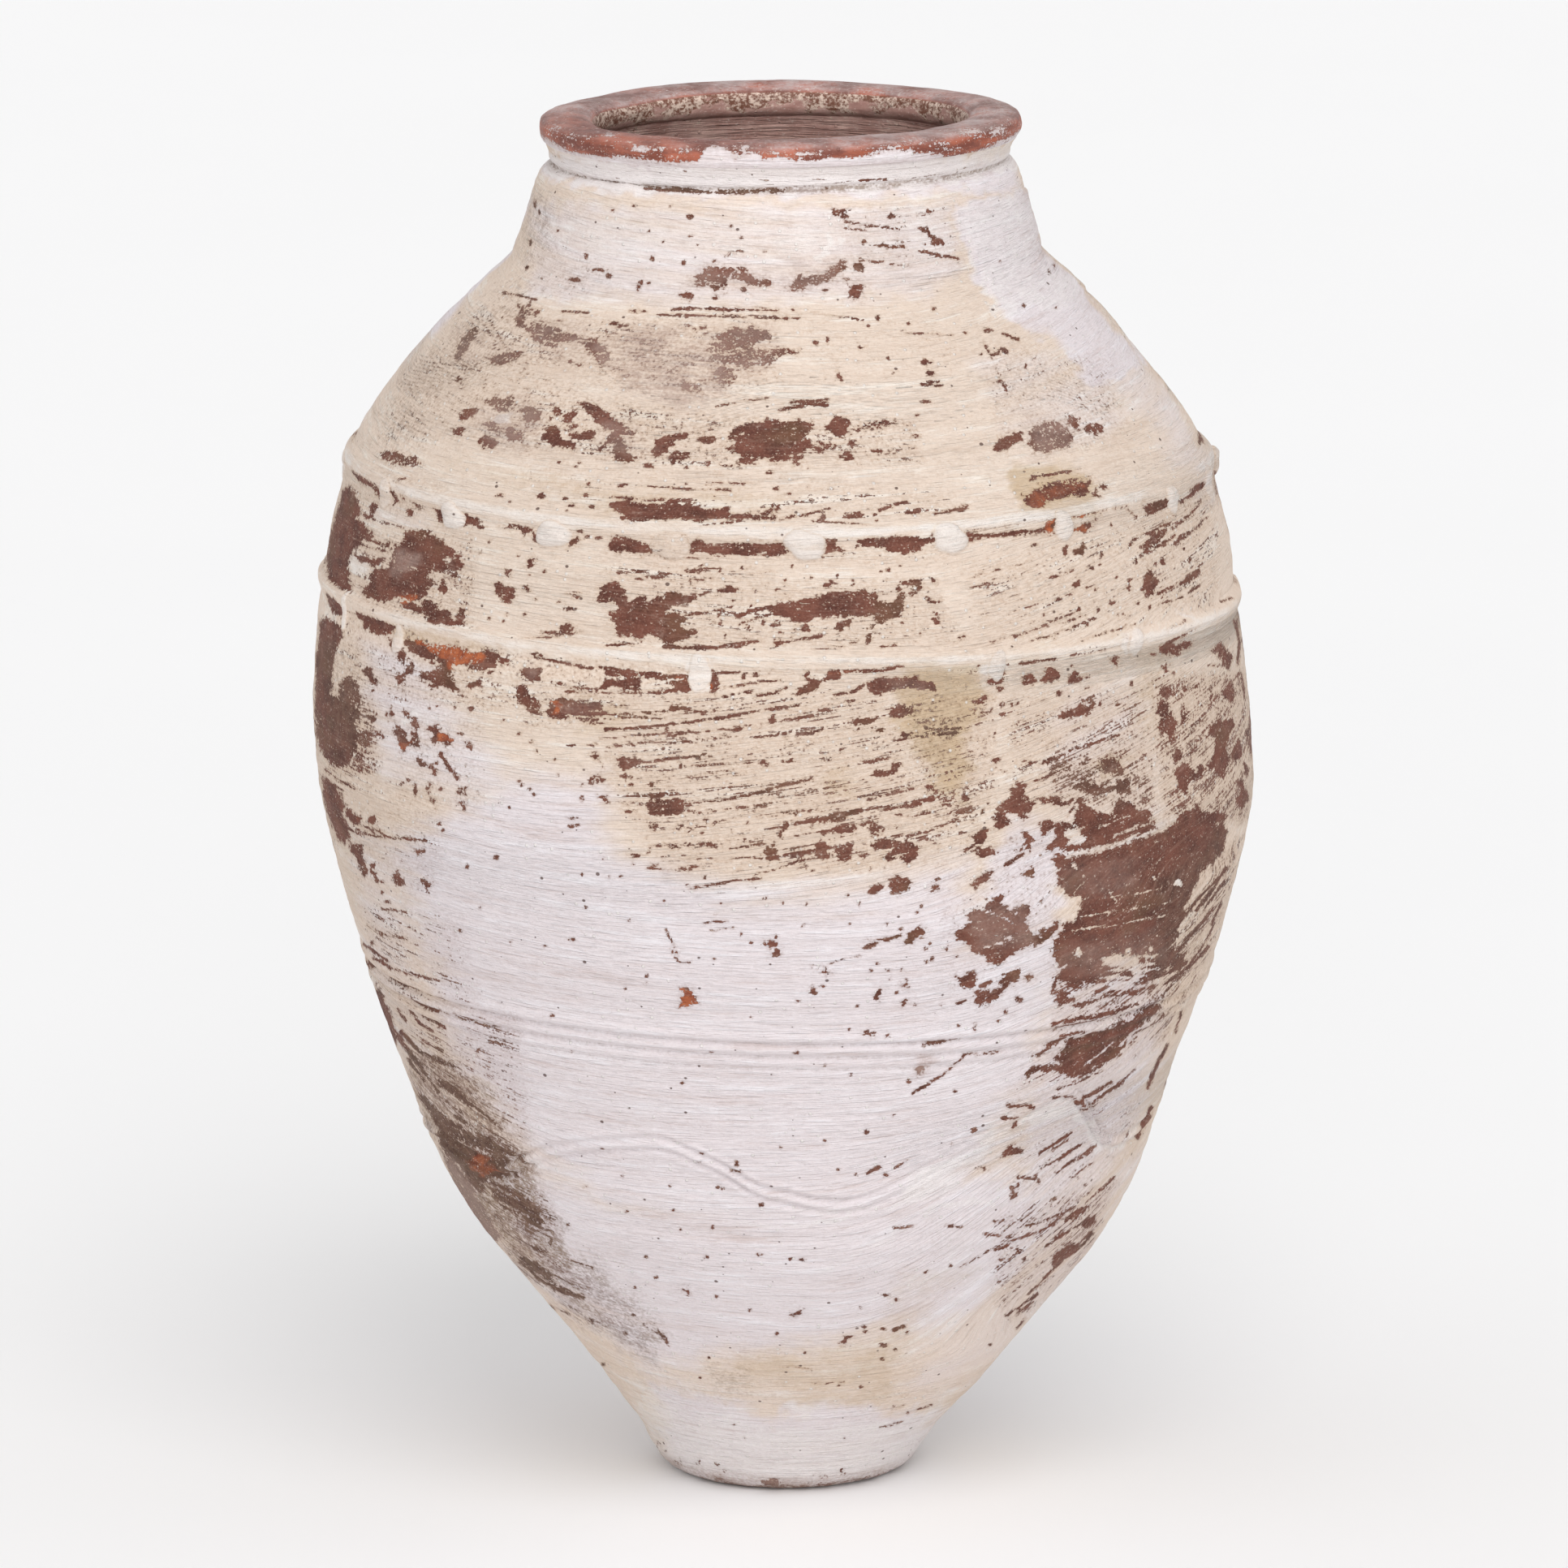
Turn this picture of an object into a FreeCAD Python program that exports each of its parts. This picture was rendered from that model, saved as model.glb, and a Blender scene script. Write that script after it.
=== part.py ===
# Large two-banded storage jar (olive jar) in terracotta.
# Millimetres, +Z up, the axis of the jar on Z, the foot standing on Z = 0.
# The side with the worn orange chips and the bead band's largest beads faces -Y.
# The jar is modelled as it is put together: a floor disc, five wall sections
# luted edge to edge on sloping (scarfed) joints, a neck, a collar, a rolled rim,
# two raised bands laid over joints, and clay beads and tabs pressed onto the bands.
import FreeCAD, Part
import math
import os

os.makedirs("parts", exist_ok=True)

V = FreeCAD.Vector

# ---------------------------------------------------------------- driving sizes
JAR_HEIGHT = 818.3          # foot to the top of the rim
BELLY_RADIUS = 278.8        # widest radius
FOOT_REST_RADIUS = 62.8     # flat resting disc
FOOT_EDGE_RADIUS = 18.4     # worn, rounded edge of the foot
FLOOR_TOP_Z = 24.0          # inside floor height at the wall
FLOOR_DISH = 3.0            # the inside floor dips this much at its middle

MOUTH_RADIUS = 109.5        # clear opening of the mouth
RIM_RADIUS = 141.8          # outside of the rolled rim
RIM_JOINT_Z = 804.0         # where the roll sits on the collar, outside
COLLAR_BASE_Z = 791.0       # groove between neck and collar
NECK_BASE_Z = 734.0         # break between shoulder and neck
NECK_BASE_RADIUS = 159.5

SHOULDER_CORNER_Z = 613.0   # upper band, where wall turns into shoulder
SHOULDER_CORNER_RADIUS = 254.3
BELLY_BAND_Z = 541.0        # lower band
STRING_GROOVE_Z = (313.5, 305.0)   # double groove round the lower belly
STRING_GROOVE_R = 2.4       # tool radius of those grooves
LOWER_JOINT_Z = 309.2       # joint hidden between the two grooves
FOOT_JOINT_Z = 105.0        # joint of the first wall section

WALL_FOOT = 20.0            # wall thickness low down
WALL_BELLY = 15.5           # wall thickness at the belly
WALL_SHOULDER = 15.0        # wall thickness at the shoulder

BEAD_COUNT = 20             # beads pressed on the upper band
BEAD_HALF_WIDTH = 11.0
BEAD_HALF_HEIGHT = 8.5
BEAD_HALF_DEPTH = 7.0
BEAD_Z = 606.5
BEAD_SEAT_RADIUS = 255.2

TAB_HALF_WIDTH = 7.5        # thumbed tabs under the lower band
TAB_HALF_HEIGHT = 13.0
TAB_HALF_DEPTH = 4.5
TAB_Z = 533.0
TAB_SEAT_RADIUS = 271.0

# bearings of the beads and tabs, degrees from -Y, positive towards +X
BEAD_BEARINGS = [-64.5, -48.8, -31.4, -14.0, 3.2, 22.9, 40.8, 59.8,
                 77.6, 95.4, 113.1, 130.5, 148.6, 166.2, 184.1, 202.0,
                 219.6, 237.4, 255.2, 272.8]
TAB_BEARINGS = [-70.0, -56.7, -10.2, 27.6, 49.6, 96.0, 141.0, 183.0, 224.0, 262.0]

# ------------------------------------------------- outside of the body (z, r)
BODY = [
    (16.5, 83.2), (28.3, 91.3), (47.6, 105.5), (66.9, 120.6), (86.1, 136.4),
    (FOOT_JOINT_Z, 152.2), (123.4, 167.1), (141.3, 180.6), (158.8, 192.4),
    (176.0, 202.3), (193.2, 210.7), (210.6, 217.9), (228.3, 224.3),
    (246.1, 230.4), (264.0, 236.3), (282.0, 242.2), (296.0, 246.8),
    (LOWER_JOINT_Z, 251.2), (322.0, 255.3), (335.5, 259.6), (353.0, 264.7),
    (370.4, 269.1), (387.6, 272.8), (404.8, 275.6), (421.9, 277.6),
    (439.0, 278.6), (450.0, BELLY_RADIUS), (473.4, 278.1), (490.7, 276.7),
    (508.1, 274.7), (525.6, 271.9), (BELLY_BAND_Z, 268.6), (556.0, 265.7),
    (570.0, 263.1), (584.5, 260.4), (600.0, 257.3),
    (SHOULDER_CORNER_Z, SHOULDER_CORNER_RADIUS),
]
SHOULDER = [
    (SHOULDER_CORNER_Z, SHOULDER_CORNER_RADIUS), (628.0, 246.3),
    (644.9, 236.8), (661.9, 225.2), (679.1, 211.7), (696.4, 196.4),
    (713.8, 179.6), (NECK_BASE_Z, NECK_BASE_RADIUS),
]
NECK = [
    (NECK_BASE_Z, NECK_BASE_RADIUS), (748.0, 154.3), (762.0, 149.2),
    (774.0, 145.1), (781.0, 142.7), (786.5, 139.8), (COLLAR_BASE_Z, 135.4),
]
COLLAR = [
    (COLLAR_BASE_Z, 135.4), (793.4, 136.3), (797.0, 136.2),
    (801.0, 137.5), (RIM_JOINT_Z, 139.3),
]
# inside of neck, collar and rim (z, r)
NECK_INSIDE = [
    (700.0, 174.0), (716.0, 158.0), (731.0, 144.6), (745.0, 137.0),
    (760.0, 131.0), (775.0, 125.4), (783.0, 122.4), (790.0, 119.8),
    (799.5, 116.0),
]


def p(rz):
    return V(rz[1], 0, rz[0])


def spline(points):
    c = Part.BSplineCurve()
    c.interpolate(points)
    return c


def piece(curve, a, b):
    # the stretch of a spline between two of its own points
    ua, ub = curve.parameter(a), curve.parameter(b)
    return curve.toShape(min(ua, ub), max(ua, ub))


def line(a, b):
    return Part.makeLine(a, b)


def arc(a, m, b):
    return Part.Arc(a, m, b).toShape()


def turn(edges):
    # close the section and turn it once round the jar's axis
    wire = Part.Wire(Part.__sortEdges__(edges))
    solid = Part.Face(wire).revolve(V(0, 0, 0), V(0, 0, 1), 360)
    return Part.Solid(Part.Shell(solid.Faces)) if solid.ShapeType != "Solid" else solid


def first_solid(shape):
    return max(shape.Solids, key=lambda s: s.Volume)


def wall_at(z):
    # wall thickness: thick low down, thinner from the belly up
    if z < 120.0:
        return WALL_FOOT
    if z < 420.0:
        return WALL_FOOT + (WALL_BELLY - WALL_FOOT) * (z - 120.0) / 300.0
    return WALL_BELLY + (WALL_SHOULDER - WALL_BELLY) * min(1.0, (z - 420.0) / 190.0)


def inside_of(stations, i):
    # point on the inner face, square to the outer face at station i
    a = stations[max(0, i - 1)]
    b = stations[min(len(stations) - 1, i + 1)]
    dz, dr = b[0] - a[0], b[1] - a[1]
    n = math.hypot(dz, dr)
    t = wall_at(stations[i][0])
    return V(stations[i][1] - t * dz / n, 0, stations[i][0] + t * dr / n)


# ------------------------------------------------------------- section curves
body_pts = [p(s) for s in BODY]
body_out = spline(body_pts)
shoulder_pts = [p(s) for s in SHOULDER]
shoulder_out = spline(shoulder_pts)
neck_pts = [p(s) for s in NECK]
neck_out = spline(neck_pts)
collar_pts = [p(s) for s in COLLAR]
collar_out = spline(collar_pts)

# one smooth inner face from the floor to the rim
FLOOR_EDGE = V(66.0, 0, FLOOR_TOP_Z + 3.0)
body_in = [inside_of(BODY, i) for i in range(len(BODY))]
shoulder_in = [inside_of(SHOULDER, i) for i in range(len(SHOULDER))]
inner_pts = [FLOOR_EDGE] + [q for q in body_in[2:-1]] + [V(239.6, 0, 604.5)] \
    + [q for q in shoulder_in[1:5]] + [p(s) for s in NECK_INSIDE]
inner = spline(inner_pts)


def station(z):
    # index of a body station
    return [i for i, s in enumerate(BODY) if abs(s[0] - z) < 0.01][0]


def joint_in(z):
    # inner end of a scarfed joint: one station lower than its outer end
    return body_in[station(z) - 1]


def shell(out_curve, out_a, out_b, in_a, in_b):
    return turn([
        piece(out_curve, out_a, out_b), line(out_b, in_b),
        piece(inner, in_a, in_b), line(in_a, out_a),
    ])


parts = {}

# ------------------------------------------------------------------ foot
wall_start = body_pts[0]
cx, cz = FOOT_REST_RADIUS, FOOT_EDGE_RADIUS
tangent = math.radians(-36.0)
edge_end = V(cx + FOOT_EDGE_RADIUS * math.cos(tangent), 0,
             cz + FOOT_EDGE_RADIUS * math.sin(tangent))
edge_mid = V(cx + FOOT_EDGE_RADIUS * math.cos(math.radians(-63.0)), 0,
             cz + FOOT_EDGE_RADIUS * math.sin(math.radians(-63.0)))
floor_mid = V(0, 0, FLOOR_TOP_Z - FLOOR_DISH)
floor_flat = V(24.0, 0, FLOOR_TOP_Z - FLOOR_DISH)
floor_via = V(46.0, 0, FLOOR_TOP_Z - FLOOR_DISH * 0.5)
parts["base_disc"] = turn([
    line(V(0, 0, 0), V(cx, 0, 0)),
    arc(V(cx, 0, 0), edge_mid, edge_end),
    line(edge_end, wall_start),
    line(wall_start, FLOOR_EDGE),
    arc(FLOOR_EDGE, floor_via, floor_flat),
    line(floor_flat, floor_mid),
    line(floor_mid, V(0, 0, 0)),
])

# ------------------------------------------------------------------ walls
foot_o, foot_i = p(BODY[station(FOOT_JOINT_Z)]), joint_in(FOOT_JOINT_Z)
low_o, low_i = p(BODY[station(LOWER_JOINT_Z)]), joint_in(LOWER_JOINT_Z)
band_o, band_i = p(BODY[station(BELLY_BAND_Z)]), joint_in(BELLY_BAND_Z)
corner_o, corner_i = body_pts[-1], V(239.6, 0, 604.5)
neck_o, neck_i = neck_pts[0], p((731.0, 144.6))
collar_o, collar_i = collar_pts[0], p((783.0, 122.4))
rim_o, rim_i = collar_pts[-1], p((799.5, 116.0))

parts["foot_wall"] = shell(body_out, wall_start, foot_o, FLOOR_EDGE, foot_i)
parts["lower_wall"] = shell(body_out, foot_o, low_o, foot_i, low_i)
parts["middle_wall"] = shell(body_out, low_o, band_o, low_i, band_i)
parts["upper_wall"] = shell(body_out, band_o, corner_o, band_i, corner_i)
parts["shoulder_wall"] = shell(shoulder_out, corner_o, neck_o, corner_i, neck_i)
parts["neck_wall"] = shell(neck_out, neck_o, collar_o, neck_i, collar_i)
parts["neck_collar"] = shell(collar_out, collar_o, rim_o, collar_i, rim_i)

# ------------------------------------------------------------------ rim
lip_in_low = V(MOUTH_RADIUS, 0, 805.5)
lip_in_high = V(MOUTH_RADIUS, 0, 812.6)
lip_top_in = V(115.2, 0, 817.8)
lip_top_mid = V(124.0, 0, JAR_HEIGHT)
lip_top_out = V(133.6, 0, 817.2)
lip_out = V(RIM_RADIUS, 0, 810.0)
parts["rim_ring"] = turn([
    arc(rim_i, V(111.3, 0, 801.8), lip_in_low),
    line(lip_in_low, lip_in_high),
    arc(lip_in_high, V(111.1, 0, 816.1), lip_top_in),
    arc(lip_top_in, lip_top_mid, lip_top_out),
    arc(lip_top_out, V(139.4, 0, 814.7), lip_out),
    arc(lip_out, V(141.3, 0, 806.6), rim_o),
    line(rim_o, rim_i),
])

# ------------------------------------------------------- double string groove
for z in STRING_GROOVE_Z:
    r = body_out.value(body_out.parameter(V(251.0, 0, z))).x
    tool = Part.makeTorus(r, STRING_GROOVE_R, V(0, 0, z), V(0, 0, 1))
    for name in ("lower_wall", "middle_wall"):
        if parts[name].common(tool).Volume > 1.0:
            parts[name] = first_solid(parts[name].cut(tool))


# ------------------------------------------------------- raised bands
def band(points, walls):
    # low ridge laid over a joint, hollowed to the wall it sits on
    back = [V(points[-1].x - 9.0, 0, points[-1].z), V(points[0].x - 9.0, 0, points[0].z)]
    ring = turn([
        spline(points).toShape(), line(points[-1], back[0]),
        line(back[0], back[1]), line(back[1], points[0]),
    ])
    for w in walls:
        ring = ring.cut(parts[w])
    return first_solid(ring)


parts["belly_cordon"] = band(
    [V(269.4, 0, 530.0), V(272.6, 0, 535.0), V(273.0, 0, 540.4),
     V(270.0, 0, 547.6), V(264.6, 0, 554.6)],
    ("middle_wall", "upper_wall"))
parts["shoulder_cordon"] = band(
    [V(256.0, 0, 601.0), V(256.6, 0, 606.5), V(257.6, 0, 612.2),
     V(255.4, 0, 617.4), V(247.6, 0, 624.6)],
    ("upper_wall", "shoulder_wall"))


# ------------------------------------------------------- beads and tabs
def lump(half_width, half_height, half_depth, radius, z, cutters):
    # flattened clay ball at bearing 0 (on -Y), hollowed to what it is pressed on
    m = FreeCAD.Matrix()
    m.scale(half_width, half_depth, half_height)
    ball = Part.makeSphere(1.0).transformGeometry(m)
    ball.translate(V(0, -radius, z))
    for c in cutters:
        ball = ball.cut(parts[c])
    solids = [s for s in ball.Solids if s.CenterOfMass.y < -radius + 0.5]
    return max(solids, key=lambda s: s.Volume)


def around(solid, bearings):
    out = []
    for b in bearings:
        s = solid.copy()
        s.rotate(V(0, 0, 0), V(0, 0, 1), b)
        out.append(s)
    return Part.Compound(out)


bead = lump(BEAD_HALF_WIDTH, BEAD_HALF_HEIGHT, BEAD_HALF_DEPTH, BEAD_SEAT_RADIUS,
            BEAD_Z, ("shoulder_cordon", "upper_wall", "shoulder_wall"))
parts["shoulder_beads"] = around(bead, BEAD_BEARINGS)
tab = lump(TAB_HALF_WIDTH, TAB_HALF_HEIGHT, TAB_HALF_DEPTH, TAB_SEAT_RADIUS,
           TAB_Z, ("belly_cordon", "middle_wall", "upper_wall"))
parts["belly_tabs"] = around(tab, TAB_BEARINGS)

# ------------------------------------------------------------------ write
for name, shape in parts.items():
    for s in shape.Solids:
        if not s.isValid():
            print("not valid:", name)
    print(name, shape.ShapeType, len(shape.Solids), round(shape.Volume / 1000.0, 1), "cm3")
    shape.exportStep("parts/" + name + ".step")
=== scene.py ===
import math

import bpy
import numpy as np
from mathutils import Matrix, Vector


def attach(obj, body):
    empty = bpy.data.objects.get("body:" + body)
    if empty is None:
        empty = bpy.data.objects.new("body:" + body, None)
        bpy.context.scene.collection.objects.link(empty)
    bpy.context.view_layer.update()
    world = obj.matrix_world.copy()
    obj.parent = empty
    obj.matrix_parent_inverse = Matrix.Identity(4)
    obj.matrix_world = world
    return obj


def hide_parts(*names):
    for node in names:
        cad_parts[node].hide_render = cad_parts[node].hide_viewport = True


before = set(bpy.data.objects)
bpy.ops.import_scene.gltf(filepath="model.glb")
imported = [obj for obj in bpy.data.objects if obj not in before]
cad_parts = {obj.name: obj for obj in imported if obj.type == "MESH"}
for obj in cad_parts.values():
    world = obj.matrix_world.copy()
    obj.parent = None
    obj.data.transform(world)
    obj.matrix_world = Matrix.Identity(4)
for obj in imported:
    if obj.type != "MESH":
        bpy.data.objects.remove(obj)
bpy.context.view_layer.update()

# =====================================================================
# Camera of the photograph (mm, pixels of the 1932 x 1932 frame)
# =====================================================================
W = 1932.0
CAM_L = 6600.0                    # distance from the jar's middle
CAM_PITCH = math.radians(11.4)
CAM_Z = 415.6                     # height on the axis that is at the frame's centre
CAM_ROLL = 0.0055                 # the jar leans a touch to the left
F_PX = 2.07 * CAM_L
_cp, _sp = math.cos(CAM_PITCH), math.sin(CAM_PITCH)
CAM_POS = np.array([0.0, -CAM_L * _cp, CAM_L * _sp + CAM_Z])


def project(x, y, z):
    """frame pixels (u, v) of points in mm"""
    dy = y - CAM_POS[1]
    dz = z - CAM_POS[2]
    depth = dy * _cp - dz * _sp
    up = dy * _sp + dz * _cp
    u = W / 2 + F_PX * (x - CAM_ROLL * up) / depth
    v = W / 2 - F_PX * (up + CAM_ROLL * x) / depth
    return u, v


# =====================================================================
# Numbers shared with the CAD (mm): z, r
# =====================================================================
BODY = [
    (16.5, 83.2), (28.3, 91.3), (47.6, 105.5), (66.9, 120.6), (86.1, 136.4),
    (105.0, 152.2), (123.4, 167.1), (141.3, 180.6), (158.8, 192.4),
    (176.0, 202.3), (193.2, 210.7), (210.6, 217.9), (228.3, 224.3),
    (246.1, 230.4), (264.0, 236.3), (282.0, 242.2), (296.0, 246.8),
    (309.2, 251.2), (322.0, 255.3), (335.5, 259.6), (353.0, 264.7),
    (370.4, 269.1), (387.6, 272.8), (404.8, 275.6), (421.9, 277.6),
    (439.0, 278.6), (450.0, 278.8), (473.4, 278.1), (490.7, 276.7),
    (508.1, 274.7), (525.6, 271.9), (541.0, 268.6), (556.0, 265.7),
    (570.0, 263.1), (584.5, 260.4), (600.0, 257.3), (613.0, 254.3),
]
SHOULDER = [
    (613.0, 254.3), (628.0, 246.3), (644.9, 236.8), (661.9, 225.2),
    (679.1, 211.7), (696.4, 196.4), (713.8, 179.6), (734.0, 159.5),
]
NECK = [
    (734.0, 159.5), (748.0, 154.3), (762.0, 149.2), (774.0, 145.1),
    (781.0, 142.7), (786.5, 139.8), (791.0, 135.4),
]
COLLAR = [(791.0, 135.4), (793.4, 136.3), (797.0, 136.2), (801.0, 137.5), (804.0, 139.3)]
INSIDE = [
    (27.0, 66.0), (41.0, 80.0), (58.0, 93.2), (78.0, 108.0), (98.0, 124.6),
    (116.0, 140.2), (134.0, 155.0), (151.5, 168.5), (168.5, 179.6), (186.0, 189.5),
    (222.0, 204.4), (258.0, 217.4), (292.0, 228.9), (328.0, 241.4), (366.0, 252.2),
    (402.0, 259.4), (438.0, 262.9), (473.0, 262.7), (506.0, 259.6), (538.0, 253.6),
    (567.0, 247.9), (604.5, 239.6), (637.5, 224.2), (652.0, 213.6), (668.0, 201.4),
    (684.0, 188.0), (700.0, 174.0), (716.0, 158.0), (731.0, 144.6), (745.0, 137.0),
    (760.0, 131.0), (775.0, 125.4), (783.0, 122.4), (790.0, 119.8), (799.5, 116.0),
]


def spline(points):
    """natural cubic through (z, r); returns r(z)"""
    x = np.array([p[0] for p in points], float)
    y = np.array([p[1] for p in points], float)
    n = len(x)
    h = np.diff(x)
    a = np.zeros((n, n))
    b = np.zeros(n)
    a[0, 0] = a[-1, -1] = 1.0
    for i in range(1, n - 1):
        a[i, i - 1], a[i, i], a[i, i + 1] = h[i - 1], 2 * (h[i - 1] + h[i]), h[i]
        b[i] = 6 * ((y[i + 1] - y[i]) / h[i] - (y[i] - y[i - 1]) / h[i - 1])
    m = np.linalg.solve(a, b)

    def f(q):
        q = np.clip(q, x[0], x[-1])
        i = np.clip(np.searchsorted(x, q) - 1, 0, n - 2)
        t = q - x[i]
        hh = h[i]
        return (m[i] * (hh - t) ** 3 + m[i + 1] * t ** 3) / (6 * hh) \
            + (y[i] / hh - m[i] * hh / 6) * (hh - t) + (y[i + 1] / hh - m[i + 1] * hh / 6) * t
    return f


def soften(z, r, at, sigma):
    """rounds a corner of the profile near height at"""
    k = np.arange(-40, 41) * (z[1] - z[0])
    g = np.exp(-0.5 * (k / sigma) ** 2)
    g /= g.sum()
    pad = np.pad(r, 40, mode="edge")
    smooth = np.convolve(pad, g, mode="valid")
    w = np.exp(-0.5 * ((z - at) / (2.2 * sigma)) ** 2)
    return r * (1 - w) + smooth * w


Z0, Z1 = 16.5, 804.0
_zd = np.arange(Z0, Z1 + 0.1, 0.25)
_zd[-1] = Z1
_rd = np.where(_zd <= 613, spline(BODY)(_zd),
               np.where(_zd <= 734, spline(SHOULDER)(_zd),
                        np.where(_zd <= 791, spline(NECK)(_zd), spline(COLLAR)(_zd))))
_rd = soften(_zd, _rd, 734.0, 3.2)
_rd = soften(_zd, _rd, 613.0, 2.6)
_dr = np.gradient(_rd, _zd)
_sd = np.concatenate([[0], np.cumsum(np.hypot(np.diff(_zd), np.diff(_rd)))])
_zi = np.arange(27.0, 799.6, 0.5)
_ri = spline(INSIDE)(_zi)


# The thrower's hand: the rings drift sideways, swell a little and lie slightly out of level (mm)
DRIFT = [(0, 0, 0), (16, .3, 0), (28, 1.1, -.8), (40, 2.0, .4), (52, 3.4, 1.2), (64, 4.3, 1.3), (76, 4.0, 1.4),
         (87, 4.5, 1.4), (111, 4.2, .2), (135, 4.0, .7), (158, 3.1, 1.8), (182, 2.8, 2.1), (206, 2.1, .6),
         (229, 1.1, -.8), (253, .9, -.3), (277, .8, .6), (300, .8, 1.1), (312, 2.2, 1.1), (324, 2.0, .5),
         (348, 1.9, .3), (371, 1.9, -.1), (395, 1.8, .3), (418, 1.7, .7), (430, 1.4, .6), (442, .5, .2),
         (454, -.2, .2), (478, -.8, 0), (501, -1.4, .3), (525, -1.8, 1.1), (541, -1.8, 1.2), (560, -.8, 2.8),
         (572, -.9, 2.8), (584, -1.3, 1.9), (596, -1.1, .3), (613, -1.6, .2), (631, -2.4, .9), (643, -2.9, 0),
         (655, -3.1, -.7), (667, -3.6, -1.5), (679, -3.9, -1.7), (690, -3.3, -.4), (702, -2.7, -.5),
         (714, -2.6, -.9), (726, -2.9, -2.3), (738, -3.2, -3.1), (750, -2.3, -2.3), (761, -2.4, -1.8),
         (773, -2.1, -1.2), (785, -1.9, -.8), (793, -1.2, -.9), (804, -.2, -.3), (812, 0, 0), (830, 0, 0)]
LEAN = [(0, 0, 0, 0), (16.5, 0, 0, 0), (105, 0, -2.5, 0), (309, 0, -6.0, .5), (430, 0, -7.0, 1.0),
        (541, -1.2, -7.6, 2.0), (580, 1.8, -5.2, -1.6), (613, 4.3, -3.0, -3.6), (650, 2.2, -2.2, -1.8),
        (734, .3, -.6, 0), (791, .7, .5, 0), (804, 1.0, .9, 0), (830, 1.0, .9, 0)]
_d = np.array(DRIFT, float)
_l = np.array(LEAN, float)


def lift(phi, z):
    return np.interp(z, _l[:, 0], _l[:, 1]) + np.interp(z, _l[:, 0], _l[:, 2]) * np.sin(phi) \
        + np.interp(z, _l[:, 0], _l[:, 3]) * np.cos(phi)


def place(phi, r, z):
    """point of ring z, radius r: sideways drift and lean added"""
    return r * np.sin(phi) + np.interp(z, _d[:, 0], _d[:, 1]), -r * np.cos(phi), z + lift(phi, z)


def r_out(z):
    return np.interp(z, _zd, _rd) + np.interp(z, _d[:, 0], _d[:, 2])


def slope_out(z):
    return np.interp(z, _zd, _dr)


# =====================================================================
# Small numeric helpers
# =====================================================================
def smooth01(x):
    x = np.clip(x, 0, 1)
    return x * x * (3 - 2 * x)


def ramp(x, a, b):
    return smooth01((x - a) / (b - a))


def noise2(phi, v, cells, seed):
    """value noise, periodic round the jar with that many cells, free along v; mean 0, about -1..1"""
    rng = np.random.default_rng(seed)
    u = (np.asarray(phi) / (2 * math.pi)) % 1.0 * cells
    v = np.asarray(v, float)
    lo = int(math.floor(v.min())) - 1
    hi = int(math.ceil(v.max())) + 2
    grid = rng.uniform(-1, 1, (hi - lo + 1, cells))
    iu = np.floor(u).astype(int)
    iv = np.floor(v).astype(int)
    fu = u - iu
    fv = v - iv
    fu = fu * fu * (3 - 2 * fu)
    fv = fv * fv * (3 - 2 * fv)
    iv = iv - lo
    i0, i1 = iu % cells, (iu + 1) % cells
    a = grid[iv, i0] * (1 - fu) + grid[iv, i1] * fu
    b = grid[iv + 1, i0] * (1 - fu) + grid[iv + 1, i1] * fu
    return a * (1 - fv) + b * fv


def seg_dist(u, v, pts):
    """distance in pixels to a polyline"""
    best = np.full(np.broadcast(u, v).shape, 1e9)
    for (x0, y0), (x1, y1) in zip(pts[:-1], pts[1:]):
        dx, dy = x1 - x0, y1 - y0
        t = np.clip(((u - x0) * dx + (v - y0) * dy) / (dx * dx + dy * dy + 1e-9), 0, 1)
        best = np.minimum(best, np.hypot(u - x0 - t * dx, v - y0 - t * dy))
    return best


def inside_poly(u, v, pts):
    """signed distance in pixels, positive inside the outline"""
    d = seg_dist(u, v, list(pts) + [pts[0]])
    odd = np.zeros(u.shape, bool)
    n = len(pts)
    for i in range(n):
        x0, y0 = pts[i]
        x1, y1 = pts[(i + 1) % n]
        if y0 == y1:
            continue
        cross = ((y0 > v) != (y1 > v)) & (u < (x1 - x0) * (v - y0) / (y1 - y0) + x0)
        odd ^= cross
    return np.where(odd, d, -d)


def on_jar(px, py):
    """bearing and height where a pixel's ray meets the near side of the jar"""
    sx = (px - W / 2) / F_PX
    sy = (W / 2 - py) / F_PX
    rx = sx + CAM_ROLL * sy
    ry = sy - CAM_ROLL * sx
    d = np.array([rx, _cp + ry * _sp, -_sp + ry * _cp])
    ts = np.linspace(CAM_L - 330.0, CAM_L + 5.0, 600)
    p = CAM_POS[None] + ts[:, None] * d[None]
    zr = p[:, 2].copy()
    for _ in range(4):
        q = p[:, 0] - np.interp(zr, _d[:, 0], _d[:, 1])
        ang = np.arctan2(q, -p[:, 1])
        zr = p[:, 2] - lift(ang, zr)
    gap = np.hypot(q, p[:, 1]) - r_out(np.clip(zr, Z0, Z1))
    hit = np.nonzero(gap < 0)[0]
    i = hit[0] if len(hit) else int(np.argmin(gap))
    return float(ang[i]), float(zr[i])


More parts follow.
